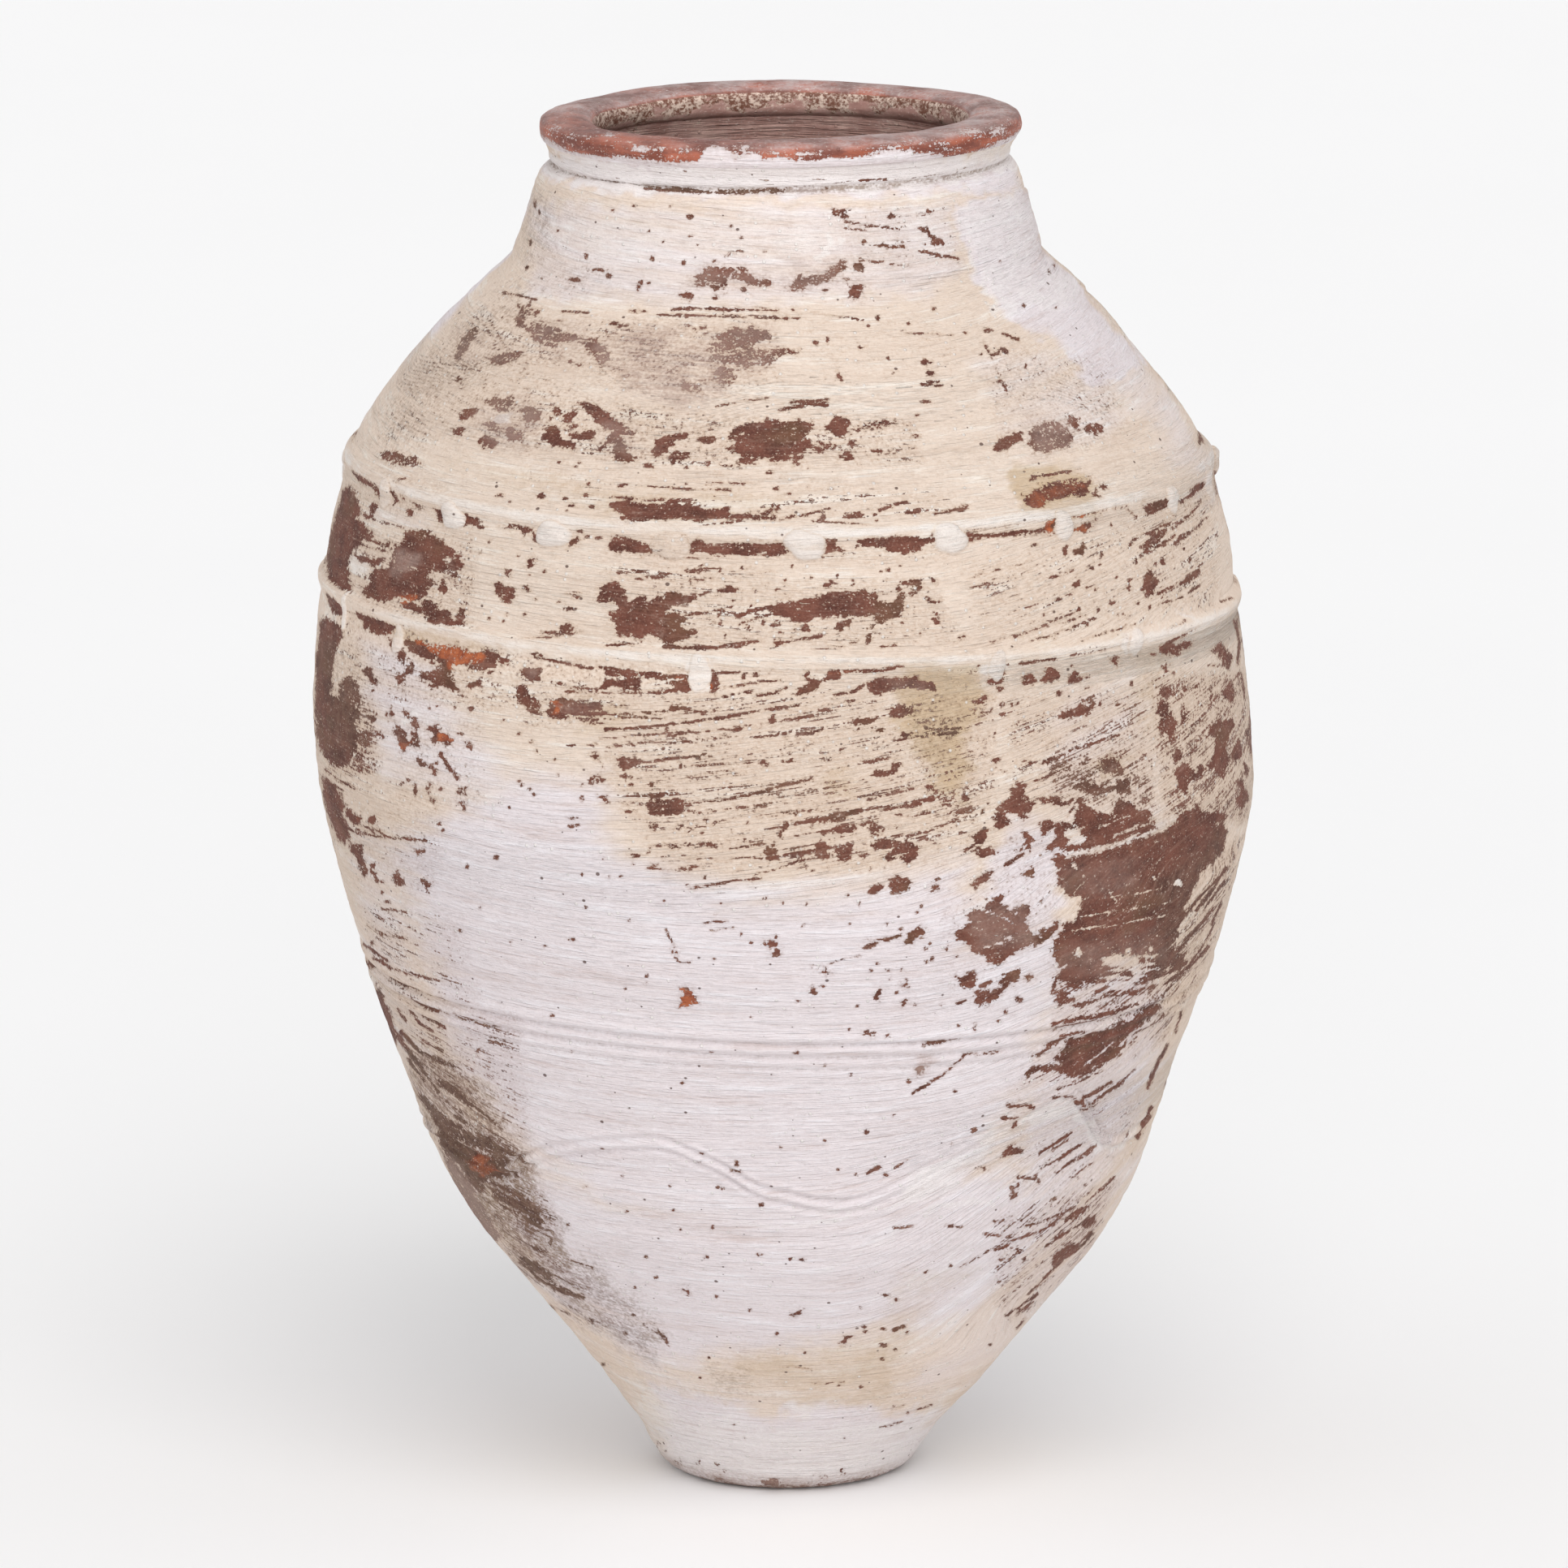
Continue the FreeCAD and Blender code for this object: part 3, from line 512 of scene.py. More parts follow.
    ("962,936 974,935 979,939 968,939", .9, 3), ("1046,888 1060,885 1080,883 1077,889 1050,893", .9, 3), ("1080,898 1091,897 1091,904 1082,903", .65, 3),
    ("1008,874 1020,872 1022,876 1010,877", .85, 3), ("1112,900 1124,901 1119,912 1112,909", .70, 3),
    ("1072,952 1078,945 1090,948 1104,943 1109,948 1096,955 1080,959 1074,957", .92, 3), ("1096,940 1110,935 1113,942 1100,945", .65, 3),
    ("1144,964 1150,969 1155,978 1148,977 1142,970", .70, 3), ("1192,977 1197,988 1188,985", .6, 3), ("1120,991 1131,991 1126,997", .9, 3),
    ("1158,985 1172,984 1176,994 1162,995", .35, 4), ("943,1042 955,1037 959,1056 949,1059 940,1051", .72, 4), ("960,1030 964,1016 973,1011 968,1024 962,1035", .75, 3),
    ("1002,1042 1010,1033 1017,1040 1021,1050 1014,1061 1006,1057", .80, 3), ("1030,1050 1044,1039 1053,1039 1047,1050 1049,1058 1040,1063 1031,1060", .82, 3),
    ("1022,1006 1033,1001 1030,1013", .8, 3), ("1010,1024 1030,1017 1052,1017 1051,1026 1030,1029 1012,1029", .80, 3),
    ("1058,1018 1070,1011 1081,1014 1091,1024 1087,1031 1074,1027 1070,1020 1060,1023", .66, 4), ("1073,1040 1090,1033 1101,1038 1097,1045 1080,1047", .90, 3),
    ("1086,1054 1098,1049 1101,1058 1094,1063", .70, 3), ("1055,1052 1068,1049 1065,1057", .6, 3),
    ("1100,1035 1112,1040 1122,1033 1127,1044 1133,1050 1127,1060 1120,1065 1110,1060 1102,1055", .96, 3),
    ("980,1069 993,1061 991,1069", .4, 4), ("866,1008 874,1010 870,1015", .6, 3), ("860,1038 880,1035 885,1046 878,1045", .6, 3), ("826,1040 834,1040 834,1045 827,1046", .85, 3),
    ("1090,1082 1104,1079 1119,1082 1123,1092 1112,1099 1102,1100 1096,1092", .86, 3), ("1073,1097 1080,1087 1087,1090 1084,1100 1076,1101", .88, 3),
    ("1146,1092 1152,1089 1157,1096 1148,1099", .7, 3), ("951,1176 956,1167 965,1170 961,1178", .92, 3), ("939,1160 952,1158 956,1164 944,1166", .80, 3),
    ("1063,1166 1072,1159 1081,1162 1070,1169", .85, 3), ("1113,1159 1124,1147 1134,1141 1141,1144 1134,1152 1124,1161 1117,1161", .94, 3),
    ("1026,1046 1040,1042 1034,1050", .5, 3), ("970,1050 1000,1046 998,1052 974,1055", .55, 3), ("998,1009 1024,1008 1040,1006 1036,1012 1004,1014", .6, 3),
    # right of the middle and the big bare area
    ("1305,878 1316,876 1330,872 1332,867 1340,872 1350,867 1353,872 1342,879 1330,883 1307,885", .95, 3),
    ("1222,936 1230,934 1241,931 1238,937 1228,941", .80, 3), ("1284,938 1292,933 1301,935 1292,942", .80, 3), ("1224,906 1230,902 1231,908", .8, 3),
    ("1248,893 1256,886 1261,883 1256,891", .85, 3),
    ("1424,868 1432,863 1441,870 1447,880 1453,890 1451,902 1444,913 1438,903 1431,905 1425,896 1432,888 1427,878", .90, 3),
    ("1454,872 1462,865 1467,876 1460,891 1455,885", .75, 3), ("1491,898 1500,891 1510,889 1520,883 1523,894 1517,906 1513,920 1517,936 1513,950 1508,961 1502,953 1498,944 1492,950 1487,946 1494,936 1500,924 1498,908", .93, 3),
    ("1519,920 1530,911 1533,930 1525,941 1517,934", .88, 3), ("1533,936 1540,945 1541,958 1534,951", .85, 3), ("1523,960 1534,964 1541,985 1532,997 1523,985 1530,975", .75, 4),
    ("1449,950 1458,939 1466,943 1475,950 1475,960 1466,967 1464,973 1461,982 1456,973 1450,963", .95, 3), ("1476,946 1485,939 1487,948 1481,962 1476,967", .92, 3),
    ("1445,930 1454,923 1457,938 1450,940", .75, 3), ("1356,940 1372,929 1381,936 1389,948 1380,957 1370,955 1361,950", .50, 5),
    ("1323,969 1340,961 1352,966 1364,972 1376,963 1393,959 1389,970 1399,974 1384,979 1372,974 1360,979 1350,981 1340,976 1327,973", .78, 3),
    ("1325,1000 1330,994 1326,984 1332,980 1341,990 1350,1000 1366,1002 1377,998 1372,992 1382,987 1394,990 1401,996 1410,1000 1421,1000 1420,1010 1423,1020 1400,1028 1370,1040 1340,1048 1318,1054 1312,1046 1320,1040 1330,1041 1337,1034 1334,1022 1322,1016", .96, 3),
    ("1316,1060 1345,1052 1380,1042 1420,1030 1440,1020 1450,1011 1460,1000 1474,996 1474,986 1480,996 1490,1000 1500,1000 1515,1002 1510,1014 1513,1030 1509,1050 1500,1061 1486,1070 1479,1082 1471,1096 1469,1110 1461,1130 1453,1150 1448,1172 1460,1176 1466,1164 1463,1178 1458,1189 1450,1195 1440,1197 1432,1205 1416,1207 1404,1211 1408,1196 1404,1182 1396,1176 1380,1180 1366,1178 1356,1180 1360,1187 1368,1191 1376,1194 1388,1192 1398,1197 1396,1207 1390,1211 1376,1203 1362,1209 1352,1207 1345,1213 1336,1209 1330,1219 1322,1221 1310,1211 1302,1206 1305,1190 1298,1180 1298,1160 1302,1152 1310,1140 1325,1135 1328,1122 1334,1106 1318,1104 1310,1093 1302,1090 1306,1080 1303,1068 1296,1060 1300,1050 1310,1052", .97, 4),
    ("1281,1018 1288,1009 1296,1010 1299,1016 1310,1014 1322,1014 1330,1020 1316,1024 1312,1034 1318,1042 1310,1050 1306,1042 1298,1047 1289,1046 1300,1032 1300,1018 1291,1028 1284,1031", .84, 3),
    ("1221,1010 1230,1001 1239,1004 1245,1012 1236,1019 1227,1021", .96, 3), ("1231,997 1238,988 1246,984 1244,974 1254,968 1263,966 1261,978 1271,984 1277,990 1268,1001 1256,1009 1248,1003 1240,1001", .88, 3),
    ("1273,980 1286,984 1300,979 1311,986 1325,984 1327,992 1310,993 1296,993 1280,990", .88, 3), ("1199,1031 1208,1023 1219,1021 1216,1033 1206,1041 1200,1039", .90, 3),
    ("1199,1042 1212,1044 1221,1043 1227,1050 1214,1055 1204,1057 1200,1050", .90, 3), ("1261,1024 1270,1027 1271,1040 1268,1053 1263,1044", .84, 3),
    ("1259,1079 1268,1072 1272,1065 1275,1078 1270,1083", .94, 3), ("1195,1091 1206,1080 1216,1075 1225,1073 1220,1083 1210,1087 1202,1095", .86, 3),
    ("1175,1150 1186,1142 1196,1136 1196,1124 1204,1120 1216,1118 1222,1112 1232,1102 1237,1105 1234,1116 1246,1120 1258,1118 1271,1113 1266,1124 1264,1132 1268,1146 1273,1156 1266,1165 1254,1171 1240,1177 1232,1187 1220,1187 1210,1177 1200,1171 1192,1161 1182,1157", .96, 3),
    ("1271,1156 1282,1148 1292,1142 1300,1133 1303,1142 1294,1151 1284,1159 1275,1165", .90, 3), ("1250,1006 1262,1002 1272,1006 1262,1012", .5, 3),
    # below: chips and the diagonal streaks on the right
    ("1176,1199 1184,1204 1192,1198 1200,1195 1201,1204 1198,1216 1190,1218 1184,1210", .90, 3), ("1197,1233 1200,1221 1210,1219 1220,1224 1232,1216 1242,1209 1245,1213 1232,1224 1220,1233 1208,1239 1200,1239", .93, 3),
    ("1231,1207 1240,1198 1252,1193 1259,1196 1256,1205 1244,1209 1234,1213", .90, 3), ("1211,1185 1222,1176 1231,1178 1224,1185", .85, 3), ("1262,1207 1270,1199 1273,1204 1264,1209", .85, 3),
    ("1247,1231 1252,1227 1258,1232 1253,1237", .4, 3), ("1237,1245 1241,1242 1244,1249 1239,1251", .85, 3),
    ("1300,1228 1310,1223 1322,1230 1340,1233 1352,1234 1340,1241 1320,1241 1305,1239", .84, 3),
    ("1295,1304 1304,1298 1314,1288 1320,1280 1334,1278 1344,1271 1356,1272 1368,1268 1380,1261 1394,1258 1404,1250 1414,1246 1424,1239 1433,1237 1429,1248 1420,1257 1410,1262 1401,1272 1392,1285 1384,1295 1372,1305 1360,1309 1350,1315 1338,1321 1322,1327 1308,1323 1300,1317 1290,1321 1276,1319 1268,1325 1261,1329 1264,1321 1272,1313 1282,1314 1296,1312 1311,1312 1305,1307", .88, 3),
    ("1230,1425 1238,1416 1246,1408 1251,1414 1261,1413 1252,1421 1240,1425", .95, 3), ("1204,1436 1216,1435 1218,1439 1206,1439", .7, 3),
    ("1310,1504 1318,1496 1330,1490 1341,1485 1338,1494 1328,1503 1314,1507", .84, 3), ("1335,1505 1350,1499 1355,1506 1345,1515 1336,1513", .84, 3),
    ("1333,1531 1346,1517 1351,1522 1342,1531", .92, 3), ("1299,1549 1312,1538 1322,1531 1335,1534 1326,1545 1312,1553 1302,1561 1295,1561", .88, 3),
    ("1248,1537 1254,1540 1257,1545 1250,1546", .9, 3), ("1256,1614 1270,1604 1276,1607 1262,1619 1253,1622", .6, 3), ("1240,1474 1248,1469 1255,1472 1248,1478", .8, 3),
    ("1076,1226 1079,1218 1083,1219 1086,1228 1080,1231", .92, 3), ("1112,1239 1118,1232 1125,1228 1122,1235 1114,1241", .88, 3), ("1012,1196 1018,1191 1023,1196 1020,1201 1016,1197", .85, 3),
    ("1109,1210 1117,1209 1119,1215 1111,1216", .85, 3), ("1126,1316 1134,1309 1139,1318 1132,1323", .55, 4), ("1064,1272 1070,1269 1075,1272 1070,1275", .85, 3),
    ("839,1218 845,1215 852,1226 858,1236 850,1237 843,1240 836,1240 838,1228", .80, 3), ("998,1218 1004,1214 1007,1222 1001,1225", .85, 3),
    ("974,1618 984,1613 991,1613 986,1619 977,1620", .95, 3), ("1037,1653 1042,1645 1051,1643 1046,1650 1040,1654", .85, 3), ("841,1588 848,1587 852,1591 846,1594", .92, 3),
    ("807,1635 813,1639 823,1657 818,1655 810,1645", .75, 3),
    # left below the grooves
    ("463,1215 468,1219 477,1240 485,1262 491,1280 488,1288 481,1276 471,1252 464,1234", .88, 3),
    ("533,1330 545,1331 558,1339 569,1346 579,1356 583,1363 572,1363 562,1353 550,1345 540,1339", .88, 3),
    ("528,1364 546,1371 560,1381 581,1396 576,1401 560,1399 545,1393 535,1384", .84, 4), ("512,1342 522,1350 534,1366 528,1368 518,1356", .80, 3),
    ("540,1378 570,1390 600,1407 621,1420 627,1432 621,1451 600,1453 592,1472 575,1472 560,1450 550,1430 540,1405", .72, 5),
    ("546,1424 564,1448 590,1488 618,1526 606,1536 580,1502 556,1464", .58, 5),
    ("578,1422 592,1419 606,1430 621,1440 625,1451 612,1453 596,1445 583,1436", .98, 4), ("623,1438 640,1448 636,1455 626,1447", .75, 3),
    ("600,1456 620,1461 641,1473 656,1484 665,1494 669,1506 662,1515 650,1509 640,1501 625,1495 612,1487 603,1474", .74, 4),
    ("675,1526 681,1531 677,1537", .75, 3), ("648,1531 664,1537 675,1544 668,1547 654,1541", .78, 3),
    ("640,1546 660,1556 674,1567 690,1584 702,1591 717,1598 712,1603 696,1597 680,1591 664,1575 652,1565 640,1555", .66, 4),
    ("721,1625 735,1629 730,1635", .7, 3), ("560,1400 580,1408 590,1420 576,1424 562,1416", .6, 5), ("552,1440 570,1460 590,1482 600,1500 586,1494 568,1472 552,1450", .45, 6),
    # foot
    ("829,1797 840,1799 838,1806 831,1803", .6, 3), ("857,1797 862,1797 862,1806 857,1804", .9, 3), ("876,1801 886,1804 888,1811 882,1808", .8, 3),
    ("880,1817 893,1821 890,1827 882,1824", .7, 3), ("934,1823 946,1821 958,1823 957,1832 942,1833", .97, 3), ("1032,1812 1038,1809 1043,1814 1038,1818", .88, 3),
    ("1004,1814 1014,1815 1012,1820 1005,1820", .4, 3), ("808,1775 813,1778 812,1784 808,1782", .8, 3), ("888,1810 894,1812 893,1817 889,1816", .6, 3),
    ("1012,1818 1020,1816 1019,1822 1013,1822", .5, 3),
]

# single small chips: x, y, half width, half height (pixels)
DOTS = """
724,316,3,4 709,346,9,3 739,333,9,1.6 752,341,4,3 805,319,3,3 842,324,3,3 787,354,2,5 791,349,2,3 800,349,2,2 881,366,4,3 916,356,4,4 942,309,3,2
1040,266,6,3 1065,297,3,2 1141,301,2,2 1017,356,4,2 940,349,9,4 1082,390,2,3 1151,380,3,2 977,380,2,2 1005,421,4,2 1020,418,2,4 1060,427,4,2 1217,406,6,2
1139,445,4,4 1145,458,4,3 1130,511,3,2 1150,470,7,2 1142,494,6,2 996,577,2,2 949,582,3,2 850,267,5,4 660,252,2,4 666,262,2,3 655,300,2,4 650,330,3,3
690,285,1.5,2 757,260,1.5,1.5 782,254,1.5,1.5 827,255,1.5,1.5 801,285,1.5,1.5 901,278,1.5,1.5 914,293,3,2 853,291,3,1.5 880,321,1.5,1.5 818,298,1.5,1
644,400,4,3 757,400,5,2 765,402,3,2 772,401,3,2 703,447,3,3 716,452,3,2 680,517,2,2 860,302,2,1.5 1120,398,2,2 1070,400,1.5,1.5 1190,410,2,1.5
1500,660,2,2 1296,330,2,4 1290,338,2,3 1230,323,1.5,1.5 1260,378,2,1 1300,380,1.5,1.5 1265,450,2,3 1210,436,1.5,1.5 1095,440,2,2 1102,458,1.5,1.5
496,596,4,2 596,650,4,2 640,685,2,2 630,620,2,2 618,612,5,2 668,612,6,4 698,615,4,3 722,611,4,3 700,630,2,1.5 706,624,5,2 730,625,4,2 690,571,2,2 715,570,2,1 500,592,4,1.5
476,612,1.5,3 710,575,2,1 726,597,2,1.5 765,600,3,1 818,572,2,1.5 716,655,4,2 724,661,3,2 738,663,4,2 672,704,2,2 662,738,2,2 653,708,2,1 690,741,1.5,1 706,731,6,1 712,736,4,1
702,750,6,1.2 626,758,2,1.5 648,757,1.5,1.5 604,762,2,1.5 622,766,2,1.5 606,667,2,1.5 594,680,1.5,1 830,572,3,2 846,576,2,1 873,572,2,3 770,598,4,1.5 845,597,2,1.5
946,582,3,2 956,602,4,3 972,608,4,1.5 940,625,3,2 960,625,3,2 925,652,2,1.5 1006,649,2,2 1056,673,2,2 1080,641,1.5,1.5 1002,664,1.5,1.5 863,697,2,1.5 914,700,2,1.5 887,702,1.5,1.5
976,697,2,2 1000,712,2,1 967,715,2,1.5 1032,710,2,2 1051,714,1,2 1051,721,1,1 1095,702,3,2 1110,697,2,1.5 1086,704,1.5,1.5 1068,737,2,1 930,727,2,1 957,727,2,1 904,740,3,1.5 926,746,2,1
941,766,2,4 968,746,3,2 887,768,2,2 893,784,2,2 918,786,3,1.5 886,758,1.5,1 975,785,3,1.5 1134,782,2,2 1146,738,1.5,1.5 1112,768,1.5,1.5 1056,742,2,1.5 1275,671,4,2 1370,646,1.5,2 1434,692,4,4
1425,695,2,2 1401,692,1.5,4 1377,711,2,1.2 1345,700,4,2 1356,696,2,2 1358,684,1.5,2 1370,743,4,1.5 1330,751,2,3 1354,751,2,2 1287,757,1.5,2 1302,733,1.5,1 1455,662,4,3 1460,676,2,2 1434,672,3,3
1468,690,2,3 1403,744,1.5,2 1417,748,1.5,3 1433,738,2,1 1340,770,2,2 1321,820,1.5,1.5 1378,758,2,2 1384,756,2,1 1340,848,4,2 1305,855,3,4 1235,868,4,2.5 1247,868,1.5,1.5 1254,866,2,1.5 1378,868,3,2
1395,843,1.5,3 1400,868,1.5,2 1421,806,4,2 1461,850,2,2 1476,846,3,2 1494,858,2,6 1447,830,1.5,2 1342,864,6,2 1237,828,1.5,3 1356,868,2,2 1236,880,4,2 1455,836,2,1
461,851,2,2 478,880,2,3 545,817,3,2 605,828,4,2 660,806,6,2 690,842,3,1.5 728,823,4,2 680,842,2,1.5 668,808,3,1.5 540,870,1.5,1.5 561,872,2,1.5 847,868,2,2 880,812,1.5,1 1048,864,6,1.5 830,840,4,2
581,873,3,3 530,873,2,1.5 568,904,4,1.5 640,904,1.5,1 655,914,1.5,1 661,925,2,1.5 620,889,1.5,1 504,961,2,1.5 497,965,2,1.5 538,940,2,1.5 545,972,3,2 512,975,1.5,8 683,936,2,2 688,955,2,1 640,962,1.5,2 643,967,1.5,1.5
652,972,2,1.2 658,979,1.5,2 717,968,2,1 717,982,1.5,2 718,987,1.5,1.2 628,995,1.5,1 706,1008,6,1.2 704,1018,4,2 711,1017,3,1.5 717,1077,2,2 576,1068,1.2,2.5 612,1056,3.5,2.5 546,1023,1.5,2 542,1015,1.5,1.2
722,1118,2,1.2 704,1157,5,1.8 567,1146,1.5,2.5 630,1160,1.2,1.2 672,1165,1.2,1.2 592,1118,1.5,1 775,1134,1.5,1.5 818,1110,2,2 744,1058,1.5,1 751,1080,1.5,1.2 764,1080,1.5,1 796,1032,2,1 780,1065,2,1 800,1050,2,1.2
817,1056,2,1 846,1090,1.5,1.2 868,1082,1.5,2 807,1066,4,1 848,1026,2,2 440,1049,3,2 471,1099,2,2 478,1111,3,1.5 458,1162,2,2 770,957,3,3 778,958,2,1.5 778,967,3,2 768,948,2,1 803,967,4,2 839,944,2,3 822,899,1.5,1
876,932,1.5,1.5 862,933,2,1.5 867,880,4,2 1057,898,1.5,1.5 1020,936,1.5,1.5 1036,926,2,1.5 1004,934,1.5,1 1183,1027,2,1.5 1143,1034,2,2 1172,1002,2,1.5 1103,1020,2,1.5 1107,974,1.5,2 1180,1000,2,1.5 1211,1000,2,1.2
868,1010,2,2 852,1023,2,1 865,1026,2,2 918,1035,1.5,2 902,1024,1.5,2 921,1013,2,1 980,1003,1.5,1 1002,1073,2,1.5 1072,1071,2,1.5 1088,1068,1.5,1.5 1154,1083,3,1.5 1155,1066,1.5,1.5 1043,1103,2.5,2 1059,1113,1.5,2.5
994,1113,2,1.5 990,1139,1.5,1.2 1047,1139,1.2,1 913,1150,1.5,2.5 926,1161,1.5,1 957,1154,2,1 882,1126,1.5,1 943,1107,1.5,1 888,1114,1.5,1.2 964,1112,1,1 1092,1138,1.5,1 1110,1144,3,1.5 1130,1124,1.5,1 1135,1116,1.5,1
1166,1169,2,3 1140,1168,1.5,1 1092,1158,3,1.2 1145,1162,1,1 1188,1026,1.5,1.5 1252,1048,2,1.5 1246,1034,1.5,1 880,1181,2,1.5 1000,1190,1.5,1.5 1014,1214,1.5,1.5 1094,1194,4,1.5 1110,1194,1.5,2 1116,1206,2,1.5
1127,1237,2,2 1148,1181,2,3 1140,1184,1.2,1 1178,1178,2,1.2 1080,1186,1.2,1 1073,1195,1.2,1.2 1160,1238,2,1 1181,1264,1.5,1.5 1200,1268,1.2,1.2 1201,1262,2,1 1230,1258,2,1 1093,1275,2.5,1.5 1046,1268,1.5,1 1056,1239,1.5,1
982,1296,3,1.2 983,1233,1.5,1 926,1253,1.5,1 877,1296,1.5,1 1104,1222,1.5,1.5 1096,1205,1.5,1 1016,1312,2,1 1048,1324,1.5,1 1119,1332,2.5,2 1176,1343,1.5,1.5 1067,1393,3,3 1199,1391,4,3 1171,1408,1.5,1 962,1412,2,1.2 1016,1404,1.2,1
1101,1373,1.2,1 1236,1377,4,3 1250,1385,3,1.5 1032,1439,2,1.5 1090,1446,3,2 1054,1446,1.5,1 908,1432,2,3 907,1442,5,1.5 865,1420,3,1.2 862,1430,1.5,1 841,1334,2.5,2 766,1449,2,1.5 721,1462,1.5,1.2 826,1460,1.5,1.2
770,1218,2,1.5 797,1202,1.2,1 796,1211,1.5,1 680,1251,2,1.2 704,1296,1.2,1.2 588,1295,1.5,1 743,1415,1.5,1 839,1514,2,2 878,1511,3,3 871,1547,3,2.5 936,1544,3,1.2 938,1482,3.5,2.5 924,1613,2,1.2 781,1620,2.5,2
794,1632,2,1.2 700,1510,2,1 796,1548,1.5,1 809,1573,1.5,1 783,1586,1.5,1 729,1562,2,1.2 883,1596,1.5,1 770,1644,1.5,1 741,1683,2,1.2 863,1697,1.5,1 874,1671,1.2,1 830,1490,2,1 773,1492,1.5,1 891,1463,2,1 885,1461,1,1
974,1549,2.5,1.8 988,1550,3.5,1.8 1091,1594,4,2 1104,1600,2.5,1.2 1060,1609,1.5,1 1064,1632,3,1.2 1066,1638,3,2 1087,1635,3.5,1.2 1088,1655,4,1.8 1085,1672,3,1.2 1135,1463,1.5,1.5 1247,1464,3.5,3 1254,1449,2,3 1254,1459,1.5,3
1280,1456,2,3 1277,1448,2,1.2 1300,1478,1.5,1.5 1295,1486,2,1.2 1225,1504,3,1.2 1258,1503,1.5,2 1233,1552,3,1.5 1263,1552,1.5,2 1232,1580,2,1.2 1205,1549,2,1 1170,1558,1.5,1 1140,1566,1.5,1 1102,1661,1.5,1 1117,1640,1.5,1
1060,1706,2,1 1033,1705,2,1 1040,1770,1.5,1 1220,1657,2,1 991,1664,2,1.2 957,1640,1.5,1 1330,1452,2,1.5 1338,1461,2,1.2 1310,1445,1.5,1 905,1754,2,1 1101,1732,2,1 1300,1352,2,1 1118,1740,2,1 918,1770,1.5,1 820,1788,2,1.2
"""

